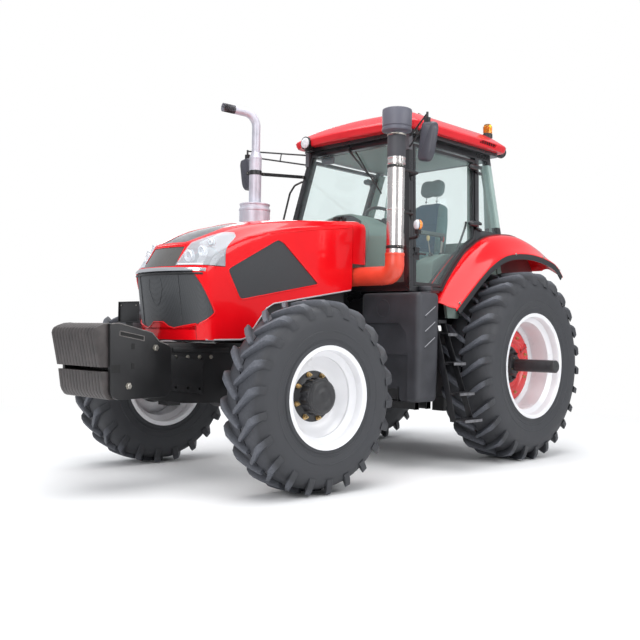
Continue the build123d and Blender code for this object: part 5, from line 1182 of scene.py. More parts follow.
# fixed cowl behind the hood, with the hinge ears
cowl = Piece("cowl_finished")
rows = [(-1.784, 0.0), (-1.70, 0.0), (-1.64, 0.0), (-1.620, 0.003), (-1.606, 0.010), (-1.597, 0.021),
        (-1.592, 0.036), (-1.590, 0.055)]
rings = []
for y, inset in rows:
    half = [(0.45 - inset, 1.80), (0.45 - inset, 1.95)]
    half += [(max(line[0] - inset, 0.0), hood_z(line, y) - inset) for line in ACROSS]
    rings.append([(x, REAR_Y + y, z) for x, z in half + [(-x, z) for x, z in reversed(half[:-1])]])
cowl.loft(rings, gloss_red)
for sign in (1, -1):
    for x in (0.224, 0.316):
        cowl.lathe([(-0.009, 0), (-0.009, 0.012), (0.009, 0.012), (0.009, 0)], "x",
                   (sign * x, REAR_Y - 1.787, 2.219), satin_black, 20)
        cowl.block((sign * x - 0.009, sign * x + 0.009), (REAR_Y - 1.787, REAR_Y - 1.745), (2.190, 2.217),
                   satin_black)
    cowl.lathe([(-0.045, 0), (-0.045, 0.0078), (0.045, 0.0078), (0.045, 0)], "x",
               (sign * 0.270, REAR_Y - 1.787, 2.219), zinc, 16)
cowl.block((-0.435, 0.435), (REAR_Y - 1.740, REAR_Y - 1.725), (1.845, 1.90), black_paint)
cowl.done("chassis", ("cowl",), "red_paint")

# ------------------------------------------------------------------ exhaust
# The silencer drum stands at the hood's right side: rolled sheet steel in heat-proof silver
# paint, with a stack above it, a cone, and a bent tail. A band clamp and a flat strap hold it
# to the cab's right front pillar.
silver_paint = surface("silver_heat_paint", (0.50, 0.50, 0.56), 0.42, metallic=0.35, mottle=0.16,
                       mottle_scale=6)
soot = surface("soot", (0.012, 0.011, 0.011), 0.9)
EXHAUST_X, EXHAUST_Y = -0.640, REAR_Y - 1.990
EXHAUST_LINE = (EXHAUST_X, EXHAUST_Y, 0)
STACK_TOP = 2.900
STRAP_Z = 2.700


def cab_x(z):
    """Half width of the cab's leaning side walls."""
    return 0.873 - 0.1634 * (z - 1.584)


def cab_front(z):
    """Where the leaning windscreen stands."""
    return REAR_Y - 1.513 + 0.1746 * (z - 1.584)


def elbowed(corners, radius, steps=10):
    """A path through corners, with each corner rounded."""
    corners = [Vector(c) for c in corners]
    path = [corners[0]]
    for before, at, after in zip(corners, corners[1:], corners[2:]):
        come, go = (before - at).normalized(), (after - at).normalized()
        half = come.angle(go) / 2
        cut = min(radius / math.tan(half), (before - at).length * 0.49, (after - at).length * 0.49)
        middle = at + (come + go).normalized() * (cut / math.cos(half))
        start, end = at + come * cut - middle, at + go * cut - middle
        path += [middle + start.slerp(end, k / steps).normalized() * start.length for k in range(steps + 1)]
    return path + [corners[-1]]


def bored(piece, ring, wall, depth, finish):
    """Opens the end of a tube whose last ring is given, and finishes it to a depth."""
    cap = next(f for f in ring[0].link_faces if all(v in ring for v in f.verts))
    bmesh.ops.inset_individual(piece.mesh, faces=[cap], thickness=wall)
    back = bmesh.ops.extrude_discrete_faces(piece.mesh, faces=[cap])["faces"][0]
    normal = back.normal.copy()
    bmesh.ops.translate(piece.mesh, verts=back.verts[:], vec=normal * depth)
    number = piece.number(finish)
    for face in {f for v in back.verts for f in v.link_faces}:
        face.material_index = number


def band(piece, x, y, low, high, radius, finish, ear=None):
    """A clamp band round an upright pipe, with its bolt on one side."""
    piece.lathe([(low, radius - 0.006), (low, radius), (low + 0.003, radius + 0.003),
                 (high - 0.003, radius + 0.003), (high, radius), (high, radius - 0.006)], "z", (x, y, 0),
                finish)
    if ear:
        middle = (low + high) / 2
        reach = radius + 0.014
        out = Vector((math.cos(ear), math.sin(ear), 0))
        along = Vector((-out.y, out.x, 0))
        at = Vector((x, y, middle)) + out * reach
        piece.tube([at - along * 0.030, at + along * 0.030], 0.005, zinc, 10)
        for step in (-0.012, 0.012):
            piece.tube([at + along * (step - 0.003), at + along * (step + 0.003)], (high - low) * 0.45,
                       finish, 12)


exhaust = Piece("exhaust_stack")
exhaust.lathe([(1.540, 0), (1.540, 0.120), (1.552, 0.140), (1.560, 0.150), (1.572, 0.150), (1.578, 0.146),
               (2.330, 0.146), (2.336, 0.150), (2.352, 0.150), (2.358, 0.141), (2.384, 0.139),
               (2.390, 0.145), (2.400, 0.145), (2.403, 0.138), (2.398, 0.062), (2.398, 0)], "z",
              EXHAUST_LINE, silver_paint, 56)
exhaust.lathe([(2.396, 0), (2.396, 0.066), (2.412, 0.064), (2.418, 0.058), (2.835, 0.058), (2.842, 0.060),
               (2.850, 0.058), (STACK_TOP, 0.041), (STACK_TOP, 0)], "z", EXHAUST_LINE, silver_paint)
tail = exhaust.tube(elbowed([(EXHAUST_X, EXHAUST_Y, STACK_TOP - 0.01), (EXHAUST_X, EXHAUST_Y, 3.260),
                             (EXHAUST_X - 0.090, EXHAUST_Y - 0.340, 3.280)], 0.130, 12), 0.040,
                    silver_paint, 28)
bored(exhaust, tail[-28:], 0.003, 0.12, soot)
exhaust.tube(elbowed([(EXHAUST_X, EXHAUST_Y, 1.548), (EXHAUST_X, EXHAUST_Y, 1.470),
                      (-0.270, EXHAUST_Y, 1.470)], 0.05), 0.045, silver_paint, 24)
band(exhaust, EXHAUST_X, EXHAUST_Y, STRAP_Z - 0.022, STRAP_Z + 0.022, 0.059, satin_black, math.radians(200))
strap_start = Vector((EXHAUST_X, EXHAUST_Y + 0.060, STRAP_Z))
strap_end = Vector((-cab_x(STRAP_Z) + 0.015, cab_front(STRAP_Z + 0.065) + 0.020, STRAP_Z + 0.065))
aside = (strap_end - strap_start).normalized().cross(Vector((0, 0, 1))) * 0.004
strap_corners = [p + s * aside + Vector((0, 0, u)) for p in (strap_start, strap_end) for s in (-1, 1)
                 for u in (-0.016, 0.016)]
exhaust.add(strap_corners, BOX_FACES, satin_black)
for share in (0.06, 0.93):
    at = strap_start.lerp(strap_end, share)
    exhaust.tube([at - aside * 2.6, at - aside], 0.010, zinc, 6)
    exhaust.tube([at + aside, at + aside * 2.6], 0.010, zinc, 6)
exhaust.done("chassis", ("exhaust",), "steel_pipe")

# ------------------------------------------------------------------ air intake
# A moulded silicone hose leaves the engine's left side and turns up into a polished steel pipe.
# Band clamps join the pipe to a rubber sleeve below the plastic pre-cleaner cap.
silicone = surface("orange_silicone_hose", (0.70, 0.062, 0.030), 0.36, coat=0.25, mottle=0.10,
                   mottle_scale=7)
polished = surface("polished_pipe_steel", (0.66, 0.62, 0.60), 0.27, metallic=1.0, mottle=0.06,
                   mottle_scale=5, grain=0.06, uneven=0.08)
sleeve_rubber = surface("pipe_sleeve_rubber", (0.050, 0.050, 0.058), 0.55)
cap_plastic = surface("precleaner_plastic", (0.100, 0.100, 0.125), 0.42, mottle=0.08)
INTAKE_X, INTAKE_Y = 0.850, REAR_Y - 1.692
HOSE_Z = 1.690

hose = Piece("intake_hose")
hose_path = elbowed([(0.270, INTAKE_Y, HOSE_Z), (INTAKE_X, INTAKE_Y, HOSE_Z), (INTAKE_X, INTAKE_Y, 1.878)],
                    0.125, 14)
hose.tube(hose_path, [0.083] * (len(hose_path) - 1) + [0.081], silicone, 44)
hose.lathe([(1.856, 0.078), (1.856, 0.0835), (1.862, 0.0845), (1.874, 0.0845), (1.878, 0.083),
            (1.878, 0.078)], "z", (INTAKE_X, INTAKE_Y, 0), silicone, 44)
for x in (0.340, 0.700):
    hose.lathe([(x, 0.080), (x, 0.0838), (x + 0.004, 0.0848), (x + 0.008, 0.0838), (x + 0.008, 0.080)], "x",
               (0, INTAKE_Y, HOSE_Z), silicone, 44)
hose.done("chassis", ("intake_elbow",), "hose_rubber")

pipe = Piece("intake_stack")
INTAKE_LINE = (INTAKE_X, INTAKE_Y, 0)
pipe.lathe([(1.878, 0), (1.878, 0.078), (1.902, 0.078), (1.904, 0.0745), (2.600, 0.0745), (2.600, 0)], "z",
           INTAKE_LINE, polished, 56)
band(pipe, INTAKE_X, INTAKE_Y, 1.914, 1.942, 0.0755, satin_black, math.radians(-20))
band(pipe, INTAKE_X, INTAKE_Y, 2.606, 2.632, 0.0755, satin_black, math.radians(-30))
pipe.lathe([(2.600, 0), (2.600, 0.0745), (2.636, 0.0745), (2.640, 0.079), (2.654, 0.080), (2.657, 0.077),
            (2.682, 0.077), (2.685, 0.080), (2.698, 0.079), (2.700, 0.075), (2.704, 0)], "z", INTAKE_LINE,
           polished, 56)
pipe.lathe([(2.698, 0), (2.698, 0.078), (2.706, 0.079), (2.880, 0.079), (2.884, 0.077), (2.884, 0)], "z",
           INTAKE_LINE, sleeve_rubber, 48)
band(pipe, INTAKE_X, INTAKE_Y, 2.884, 2.900, 0.0775, zinc, math.radians(-60))
pipe.lathe([(2.880, 0), (2.880, 0.070), (2.908, 0.082), (2.916, 0.104), (2.922, 0.127), (2.932, 0.130),
            (2.944, 0.129), (2.950, 0.121), (2.958, 0.121), (2.964, 0.127), (3.092, 0.129), (3.106, 0.125),
            (3.113, 0.112), (3.115, 0.080), (3.115, 0)], "z", INTAKE_LINE, cap_plastic, 64)
for z in (2.250, 2.620):
    foot = Vector((cab_x(z) - 0.010, cab_front(z) + 0.030, z))
    stem = Vector((INTAKE_X - 0.030, INTAKE_Y + 0.068, z))
    pipe.tube(elbowed([stem, Vector((stem.x, foot.y - 0.05, z)), foot], 0.03, 5), 0.011, satin_black, 12)
    pipe.block((foot.x - 0.012, foot.x + 0.022), (foot.y - 0.020, foot.y + 0.004), (z - 0.045, z + 0.045),
               satin_black)
    band(pipe, INTAKE_X, INTAKE_Y, z - 0.007, z + 0.007, 0.0748, polished)
pipe.done("chassis", ("intake_pipe",), "steel_pipe")

# ------------------------------------------------------------------ fuel tanks
# Two rotation-moulded polyethylene tanks hang on steel arms beside the gearbox, in front of the
# cab's doors. Their walls step in at half height and under the front, and the filler stands
# at the rear. The round field on the front is bare.
tank_black = surface("moulded_tank_plastic", (0.036, 0.037, 0.044), 0.52, mottle=0.22, mottle_scale=5,
                     grain=0.5, grain_scale=260, grain_depth=0.0009)
# pale grey line on each rib's upper edge: a painted highlight
rib_highlight_grey = surface("tank_rib_wear", (0.30, 0.30, 0.32), 0.5)
TANK_IN, TANK_OUT = 0.335, 1.005
TANK_FRONT, TANK_REAR = REAR_Y - 1.540, REAR_Y - 1.245
TANK_LOW, TANK_HIGH = 0.600, 1.556
UNDERCUT_X, UNDERCUT_Z = 0.760, 0.710


def cushioned(piece, width, segments=5):
    """The piece's mesh with its corners blown round."""
    piece.broken(width, segments, math.radians(25))
    return piece.plain()


body = Piece("tank_body")
body.prism([(TANK_IN, UNDERCUT_Z), (UNDERCUT_X, UNDERCUT_Z), (UNDERCUT_X, TANK_LOW),
            (TANK_OUT - 0.010, TANK_LOW), (TANK_OUT, TANK_LOW + 0.40), (TANK_OUT, TANK_HIGH),
            (TANK_IN, TANK_HIGH)], "y", TANK_FRONT, TANK_REAR, tank_black)
body = cushioned(body, 0.068, 6)
recess = Piece("tank_recess")
recess.prism([(TANK_IN - 0.2, 0.30), (0.885, 0.30), (0.885, 0.985), (0.860, 1.205), (0.780, 1.285),
              (TANK_IN - 0.2, 1.285)], "y", TANK_FRONT - 0.20, TANK_FRONT + 0.024, tank_black)
lower = Piece("tank_lower_recess")
lower.prism([(TANK_IN - 0.2, 0.30), (0.870, 0.30), (0.870, 1.010), (TANK_IN - 0.2, 1.010)], "y",
            TANK_FRONT - 0.2, TANK_FRONT + 0.046, tank_black)
body = carved(body, cushioned(recess, 0.012, 3), "DIFFERENCE")
body = carved(body, cushioned(lower, 0.012, 3), "DIFFERENCE")
tank = Piece("fuel_tank_shells")
tank.take(body, tank_black)
ring = [(TANK_FRONT + 0.0015, 0.070), (TANK_FRONT - 0.0025, 0.072), (TANK_FRONT - 0.0025, 0.076),
        (TANK_FRONT + 0.0015, 0.078)]
tank.lathe(ring, "y", (0.600, 0, 1.415), tank_black, 48, closed=True)
# diagonal ribs on the tank's side, each with a pale painted highlight along its upper edge
for z in (1.350, 1.215, 1.080):
    line = [(TANK_OUT + 0.0005, TANK_FRONT + 0.085, z), (TANK_OUT + 0.0005, TANK_FRONT + 0.225, z + 0.085)]
    tank.tube(line, 0.0032, rib_highlight_grey, 8)
    tank.tube([(a, b, c - 0.010) for a, b, c in line], 0.006, tank_black, 8)
for y in (TANK_FRONT + 0.040, TANK_REAR - 0.090):
    tank.block((0.230, TANK_OUT - 0.060), (y, y + 0.050), (TANK_LOW - 0.060, TANK_LOW), satin_black)
    tank.block((TANK_OUT - 0.070, TANK_OUT - 0.060), (y - 0.006, y + 0.056),
               (TANK_LOW - 0.062, TANK_LOW + 0.004), satin_black)
    tank.block((UNDERCUT_X - 0.012, UNDERCUT_X), (y, y + 0.050), (TANK_LOW - 0.002, UNDERCUT_Z + 0.02),
               satin_black)
tank.mirrored()
filler = [(TANK_HIGH - 0.02, 0), (TANK_HIGH - 0.02, 0.052), (TANK_HIGH + 0.012, 0.050),
          (TANK_HIGH + 0.020, 0.046)]
filler += [(TANK_HIGH + 0.020, 0.058), (TANK_HIGH + 0.026, 0.061), (TANK_HIGH + 0.052, 0.061),
           (TANK_HIGH + 0.058, 0.054), (TANK_HIGH + 0.060, 0)]
tank.lathe(filler, "z", (0.905, TANK_REAR - 0.085, 0), tank_black, 40)
tank.done("chassis", ("fuel_tanks",), "tank_plastic")

# ------------------------------------------------------------------ boarding steps
# Four folded treads with a pressed grip pattern between two thin stringers, welded and painted
# black, under a platform plate at the door. Use has worn the treads' front edges bright.
step_black = surface("step_black_paint", (0.006, 0.006, 0.008), 0.45, coat=0.05, mottle=0.3,
                     mottle_scale=12)
tread_edge = surface("worn_tread_edge", (0.13, 0.13, 0.14), 0.36, metallic=0.3, mottle=0.4, mottle_scale=25)
steps = Piece("boarding_steps_finished")
STEP_FRONT = TANK_REAR + 0.012
TREADS = (1.204, 0.950, 0.690, 0.460)


def ladder_x(z):
    """Inner edge of the steps, which lean outwards towards the ground."""
    return 1.120 - 0.2554 * (z - TREADS[-1])


def ladder_rear(z):
    """Rear edge of the steps, which widen towards the ground."""
    return TANK_REAR + 0.277 - 0.164 * (z - TREADS[-1])


steps.block((0.873, ladder_x(1.320) + 0.080), (STEP_FRONT, ladder_rear(1.320) - 0.004), (1.290, 1.320),
            step_black)
for z in TREADS:
    x, rear = ladder_x(z), ladder_rear(z)
    steps.block((x, x + 0.154), (STEP_FRONT, rear - 0.004), (z - 0.005, z), step_black)
    steps.block((x + 0.154, x + 0.160), (STEP_FRONT, rear - 0.004), (z - 0.026, z + 0.001), tread_edge)
    steps.block((x, x + 0.005), (STEP_FRONT, rear - 0.004), (z - 0.026, z), step_black)
    for k in range(6):
        y = STEP_FRONT + 0.022 + k * (rear - STEP_FRONT - 0.044) / 5
        steps.block((x + 0.020, x + 0.150), (y - 0.003, y + 0.003), (z - 0.001, z + 0.004), tread_edge)
for front in (True, False):
    points = []
    for z in (0.434, 1.320):
        y = STEP_FRONT if front else ladder_rear(z) - 0.004
        points += [(x, y + half, z) for x in (ladder_x(z), ladder_x(z) + 0.060) for half in (-0.004, 0.004)]
    steps.add(points, BOX_FACES, step_black)
steps.broken(0.002, 2)
steps.mirrored()
steps.done("chassis", ("boarding_steps",), "black_paint")

# ------------------------------------------------------------------ cab frame and lower cab
# Pressed and welded steel sections make the pillars, posts and rails, sprayed satin black.
# The lower walls and the floor are sheet steel with grey-green trim on their inner faces.
cab_black = surface("cab_black_paint", (0.010, 0.010, 0.012), 0.30, coat=0.35, mottle=0.12, grain=0.12)
trim_green = surface("cab_trim_grey_green", (0.215, 0.285, 0.255), 0.55, mottle=0.06, grain=0.5,
                     grain_scale=420, grain_depth=0.0008)
floor_mat = surface("cab_floor_rubber", (0.030, 0.031, 0.032), 0.8, mottle=0.2, grain=0.8, grain_scale=90)
corner_pane = surface("corner_pane_over_pillar", (0.30, 0.41, 0.38), 0.12, coat=1.0, mottle=0.10,
                      mottle_scale=2.5, grain=0.03)
cab_frame = softened("cab_frame", cab_black, 0.005)
softened("cab_base", cab_black, 0.004)


def cab_rear(z):
    """Where the leaning rear window stands."""
    return REAR_Y + 0.100 - 0.03366 * (z - 1.584)


def post(z):
    """The middle of the leaning post behind the door."""
    return REAR_Y - 0.350 + 0.21 * (z - 2.200)


cab_frame.data.materials.append(corner_pane)
cut = bmesh.new()
cut.from_mesh(cab_frame.data)
for z in (2.28, 2.92):
    bmesh.ops.bisect_plane(cut, geom=cut.verts[:] + cut.edges[:] + cut.faces[:], plane_co=(0, 0, z),
                           plane_no=(0, 0, 1))
for face in cut.faces:
    at = face.calc_center_median()
    if 2.28 < at.z < 2.92 and at.y > cab_rear(at.z) - 0.11 and abs(at.x) > cab_x(at.z) - 0.11:
        face.material_index = 1
cut.to_mesh(cab_frame.data)
cut.free()


trim = Piece("cab_inner_trim")
wall = from_axle([(-0.900, 1.345), (-0.330, 1.345), (0.040, 1.345), (0.040, 2.080), (-0.150, 2.060),
                  (-0.400, 1.990), (-0.620, 1.860), (-0.800, 1.700), (-0.900, 1.560)])
trim.loft([[(cab_x(z) - depth, y, z) for y, z in wall] for depth in (0.075, 0.105)], trim_green)
for middle in (post, lambda z: cab_rear(z) - 0.030):
    trim.add([(cab_x(z) - depth, middle(z) + off, z) for z in (1.62, 2.92) for depth in (0.064, 0.090)
              for off in (-0.040, 0.035)], BOX_FACES, trim_green)
trim.mirrored()
trim.block((-0.640, 0.640), (REAR_Y - 1.180, REAR_Y + 0.020), (1.3295, 1.336), floor_mat)
trim.block((-0.620, 0.620), (REAR_Y + 0.004, REAR_Y + 0.034), (1.336, 2.150), trim_green)
trim.block((-0.590, 0.590), (REAR_Y - 1.190, REAR_Y + 0.020), (2.955, 3.000), trim_green)
trim.done("chassis", slot="cab_plastic")

# ------------------------------------------------------------------ cab glass
# Toughened panes with a pale green tint, bonded to the frame, each with a printed black border
# and a rubber bead. The doors' panes are framed in black sections with a lever and a pull bar.
pane_green = pane("cab_pane_tinted", (0.968, 0.992, 0.990), (0.955, 0.987, 0.984))


def dressed(node_name, finish):
    """A CAD piece that keeps its shape and gets its finish."""
    for material_slot in frame["nodes"][node_name].material_slots:
        material_slot.material = finish


dressed("cab_glass", pane_green)
for side in ("left", "right"):
    dressed("door_glass_" + side, pane_green)
    softened("door_" + side, cab_black, 0.005, "door_" + side)

HINGES = (2.270, 2.850)
caps = Piece("hinge_caps")
for z in HINGES:
    x, y = cab_x(z) - 0.009, post(z) - 0.0345
    caps.tube([(x, y + 0.008, z), (x, y + 0.034, z), (x - 0.003, y + 0.050, z), (x - 0.006, y + 0.058, z)],
              [0.020, 0.019, 0.015, 0.008], cab_black, 24)
caps.mirrored()
caps.done("chassis", slot="black_paint")
for side, s in (("left", 1), ("right", -1)):
    fittings = Piece("door_fittings_" + side)
    pull = [(cab_x(1.70) - 0.075, REAR_Y - 0.860, 1.700), (cab_x(1.86) - 0.105, REAR_Y - 0.700, 1.870),
            (cab_x(2.02) - 0.105, REAR_Y - 0.560, 2.030), (cab_x(2.24) - 0.085, REAR_Y - 0.425, 2.240),
            (cab_x(2.30) - 0.075, REAR_Y - 0.410, 2.300)]
    fittings.tube(curve_through(pull, 8), 0.011, cab_black, 12)
    z = 1.905
    fittings.block((cab_x(z) - 0.028, cab_x(z) + 0.004), (cab_front(z) + 0.075, cab_front(z) + 0.140),
                   (z - 0.055, z + 0.055), cab_black)
    fittings.broken(0.008, 3, math.radians(50))
    grip = [(cab_x(z) + 0.002, cab_front(z) + 0.085, z), (cab_x(z) + 0.022, cab_front(z) + 0.095, z),
            (cab_x(z) + 0.022, cab_front(z) + 0.200, z), (cab_x(z) + 0.004, cab_front(z) + 0.212, z)]
    fittings.tube(grip, 0.009, cab_black, 10)
    for z in HINGES:
        x, y = cab_x(z) + 0.022, post(z) - 0.0345
        fittings.tube([(x - 0.006, y - 0.128, z), (x - 0.004, y - 0.118, z), (x, y - 0.100, z),
                       (x, y - 0.006, z)], [0.012, 0.023, 0.029, 0.031], cab_black, 24)
    if s < 0:
        bmesh.ops.scale(fittings.mesh, vec=(-1, 1, 1), verts=fittings.mesh.verts[:])
    fittings.done("door_" + side, slot="black_paint")

# ------------------------------------------------------------------ seat
# A sprung operator's seat: foam cushions under woven teal cloth with paler side bolsters, sewn
# along piped seams. The round headrest stands on two chromed posts. The foam is inflated by a
# cloth simulation, and the seams are drawn in afterwards.


def woven(name, colour, pitch=0.0032, fuzz=0.35):
    """Cloth of crossing threads with a soft sheen."""
    material, node, place = begun(name)
    threads = [node("TexWave", bands_direction=way, in_Vector=place, in_Scale=0.314 / pitch,
                    in_Distortion=0.6, in_Detail=1.0) for way in ("X", "Y", "Z")]
    first = node("Math", operation="MAXIMUM", in_0=threads[0].outputs["Fac"],
                 in_1=threads[1].outputs["Fac"])
    weave = node("Math", operation="MAXIMUM", in_0=first.outputs[0], in_1=threads[2].outputs["Fac"])
    worn = node("TexNoise", in_Vector=place, in_Scale=7.0, in_Detail=6.0)
    lift = node("Math", operation="MULTIPLY_ADD", in_0=weave.outputs[0], in_1=0.5, in_2=worn.outputs["Fac"])
    tone = node("Mix", data_type="RGBA", in_0=lift.outputs[0], in_6=rgba(colour, 0.62), in_7=rgba(colour))
    bump = node("Bump", in_Strength=fuzz, in_Distance=0.0008, in_Height=weave.outputs[0])
    shader = node("BsdfPrincipled", in_Base_Color=tone.outputs[2], in_Roughness=0.85, in_Sheen_Weight=0.25,
                  in_Sheen_Roughness=0.5, in_Normal=bump.outputs[0])
    node("OutputMaterial", in_Surface=shader.outputs[0])
    return material


seat_blue = woven("seat_cloth_blue", (0.022, 0.095, 0.170))
seat_teal = woven("seat_cloth_teal", (0.120, 0.250, 0.250))
head_grey = woven("headrest_cloth", (0.150, 0.215, 0.215))
SEAT_FRONT = REAR_Y - 0.720
SEAT_HINGE = Vector((0, REAR_Y - 0.230, 1.922))
seat_lean = Matrix.Translation(SEAT_HINGE) @ Matrix.Rotation(math.radians(-8), 4, "X")


def applied(obj):
    """The mesh of an object with its modifiers applied, which the object then lets go."""
    made = bpy.data.meshes.new_from_object(obj.evaluated_get(bpy.context.evaluated_depsgraph_get()))
    obj.modifiers.clear()
    return made


def stuffed(piece, voxel, cap):
    """Foam in its cover: remeshed, blown up against itself by a cloth simulation, and held to a cap."""
    holder = shown(piece.plain())
    remesh = holder.modifiers.new("remesh", "REMESH")
    remesh.mode, remesh.voxel_size = "VOXEL", voxel * 1
    holder.data = applied(holder)
    rest = [v.co.copy() for v in holder.data.vertices]
    cloth = holder.modifiers.new("cloth", "CLOTH")
    cloth.settings.use_pressure = True
    cloth.settings.uniform_pressure_force = 4
    cloth.settings.effector_weights.gravity = 0
    for step in range(1, 21):
        bpy.context.scene.frame_set(step)
    swollen = applied(holder)
    for vert, start in zip(swollen.vertices, rest):
        moved = vert.co - start
        if moved.length > cap:
            vert.co = start + moved * (cap / moved.length)
    holder.data = swollen
    bpy.context.scene.frame_set(1)
    made = holder.data
    bpy.data.objects.remove(holder)
    return made


def upholstered(name, mesh, grooves, finish_at, finishes, turn):
    for vert in mesh.vertices:
        for distance, depth, width, within in grooves:
            d = distance(vert.co)
            if abs(d) < width * 3 and within(vert.co):
                vert.co -= vert.normal * depth * math.exp(-(d / width) ** 2)
    made = bpy.data.objects.new(name, mesh)
    bpy.context.scene.collection.objects.link(made)
    smooth = made.modifiers.new("smooth", "SUBSURF")
    smooth.levels = smooth.render_levels = 1
    made.data = applied(made)
    made.data.materials.clear()
    for finish in finishes:
        made.data.materials.append(finish)
    for face in made.data.polygons:
        face.use_smooth = True
        face.material_index = finish_at(face.center)
    made.data.transform(turn)
    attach(made, "chassis")
    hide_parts("seat")
    return made


def anywhere(_):
    return True


def on_top(p):
    return p.z > 0.06


def on_middle_top(p):
    return p.z > 0.06 and abs(p.x) < 0.150


def in_front(p):
    return p.y < 0.06


def on_middle_front(p):
    return p.y < 0.06 and abs(p.x) < 0.150


def back_seam(p):
    """Distance from the back's long seams, which spread towards its foot."""
    return abs(p.x) - 0.140 - (0.03 * min(p.z / 0.5, 1) if p.z < 0.30 else 0)


cushion = Piece("seat_cushion")
plan = rounded([(-0.235, 0.020), (0.235, 0.020), (0.245, 0.480), (-0.245, 0.480)], 0.09, 6)
cushion.prism(plan, "z", 0.018, 0.100, seat_blue)
cushion.broken(0.022, 3, math.radians(50))
for vert in cushion.mesh.verts:
    if vert.co.z > 0.06:
        vert.co.z += 0.014 * min(abs(vert.co.x) / 0.235, 1) ** 2 - 0.010 * max(0, 1 - vert.co.y / 0.10)
# every seam: the distance from it, its depth and half width, and where it runs
cushion_seams = [
    (lambda p: abs(p.x) - 0.150, 0.010, 0.007, on_top),
    (lambda p: p.y - 0.150, 0.006, 0.006, on_middle_top),
    (lambda p: p.y - 0.300, 0.006, 0.006, on_middle_top),
    (lambda p: p.z - 0.060, 0.006, 0.005, anywhere),
]
upholstered("seat_cushion", stuffed(cushion, 0.0065, 0.022), cushion_seams,
            lambda p: 0 if on_middle_top(p) else 1, (seat_blue, seat_teal),
            Matrix.Translation((0, SEAT_FRONT, 1.900)))

back = Piece("seat_back")
outline = [(-0.215, 0.020), (0.215, 0.020), (0.240, 0.200), (0.234, 0.500), (0.205, 0.640), (0.120, 0.682),
           (-0.120, 0.682), (-0.205, 0.640), (-0.234, 0.500), (-0.240, 0.200)]
back.prism(rounded(outline, 0.06, 5), "y", 0.020, 0.112, seat_blue)
back.broken(0.024, 3, math.radians(50))
back_seams = [
    (back_seam, 0.012, 0.007, in_front),
    (lambda p: p.z - 0.190, 0.006, 0.006, on_middle_front),
    (lambda p: p.z - 0.420, 0.006, 0.006, on_middle_front),
    (lambda p: p.y - 0.066, 0.006, 0.005, anywhere),
]
upholstered("seat_back", stuffed(back, 0.0065, 0.020), back_seams,
            lambda p: 0 if abs(p.x) < 0.145 and p.y < 0.06 else 1, (seat_blue, seat_teal), seat_lean)

head = Piece("seat_headrest")
head.prism(rounded([(-0.145, 0.742), (0.145, 0.742), (0.145, 0.930), (-0.145, 0.930)], 0.093, 7), "y",
           0.028, 0.102, head_grey)
head.broken(0.026, 3, math.radians(50))
upholstered("seat_headrest", stuffed(head, 0.006, 0.015),
            [(lambda p: p.y - 0.065, 0.005, 0.005, anywhere)], lambda p: 0, (head_grey,), seat_lean)

frame_parts = Piece("seat_fittings")
for s in (-1, 1):
    low_end, ring, top_end = (seat_lean @ Vector((s * 0.070, 0.065, z)) for z in (0.660, 0.694, 0.765))
    frame_parts.tube([low_end, top_end], 0.006, chrome, 14)
    frame_parts.lathe([(0, 0.006), (0, 0.014), (0.006, 0.012), (0.008, 0.006)], "z", ring, satin_black, 20,
                      closed=True)
frame_parts.done("chassis", ("seat",), "seat_fabric")
shell_grey = surface("seat_shell_grey", (0.115, 0.145, 0.140), 0.5, mottle=0.1, grain=0.4)
softened("seat_base", shell_grey, 0.014)

# ------------------------------------------------------------------ console, wheel and levers
# The dash is a moulded grey-green tower behind the windscreen, with a black hood over its
# dials. The column leans back to the steering wheel, and levers stand beside the seat.
dial_face = surface("dial_face", (0.010, 0.010, 0.012), 0.25, coat=0.6)
dial_mark = surface("dial_mark", (0.55, 0.57, 0.56), 0.5)
knob_cream = surface("lever_knob_cream", (0.62, 0.46, 0.20), 0.35)
knob_red = surface("lever_knob_red", (0.55, 0.03, 0.02), 0.35)


def cut_out(outline, axis, low, high):
    """The mesh of one prism."""
    piece = Piece("cut_out")
    piece.prism(outline, axis, low, high, satin_black)
    return piece.plain()


arch = [(-0.240, 1.332), (0.240, 1.332), (0.275, 1.950), (0.282, 2.110), (0.240, 2.215), (0.190, 2.252),
        (0.032, 2.330), (-0.125, 2.338), (-0.330, 2.290), (-0.375, 2.240), (-0.360, 2.080), (-0.270, 1.900)]
arch = rounded(arch, 0.05, 4)
side_view = [(REAR_Y - 1.430, 1.332), (REAR_Y - 1.430, 1.650), (cab_front(2.330) + 0.036, 2.330),
             (REAR_Y - 1.090, 2.330), (REAR_Y - 1.040, 2.210), (REAR_Y - 1.110, 1.900),
             (REAR_Y - 1.160, 1.332)]
tower = carved(cut_out(arch, "y", REAR_Y - 1.5, REAR_Y - 0.9), cut_out(side_view, "x", -0.4, 0.4),
               "INTERSECT")
dash = Piece("dash_tower")
dash.take(tower, trim_green)
dash.broken(0.014, 3, math.radians(40))
hood_view = [(cab_front(1.980) + 0.033, 1.980), (cab_front(2.330) + 0.033, 2.330), (REAR_Y - 1.200, 2.330),
             (REAR_Y - 1.200, 1.980)]
cover = carved(cut_out(drawn_in(arch, 0.016), "y", REAR_Y - 1.5, REAR_Y - 0.9),
               cut_out(hood_view, "x", -0.400, 0.160), "INTERSECT")
dash.take(cover, satin_black)
dials = Piece("dash_dials")
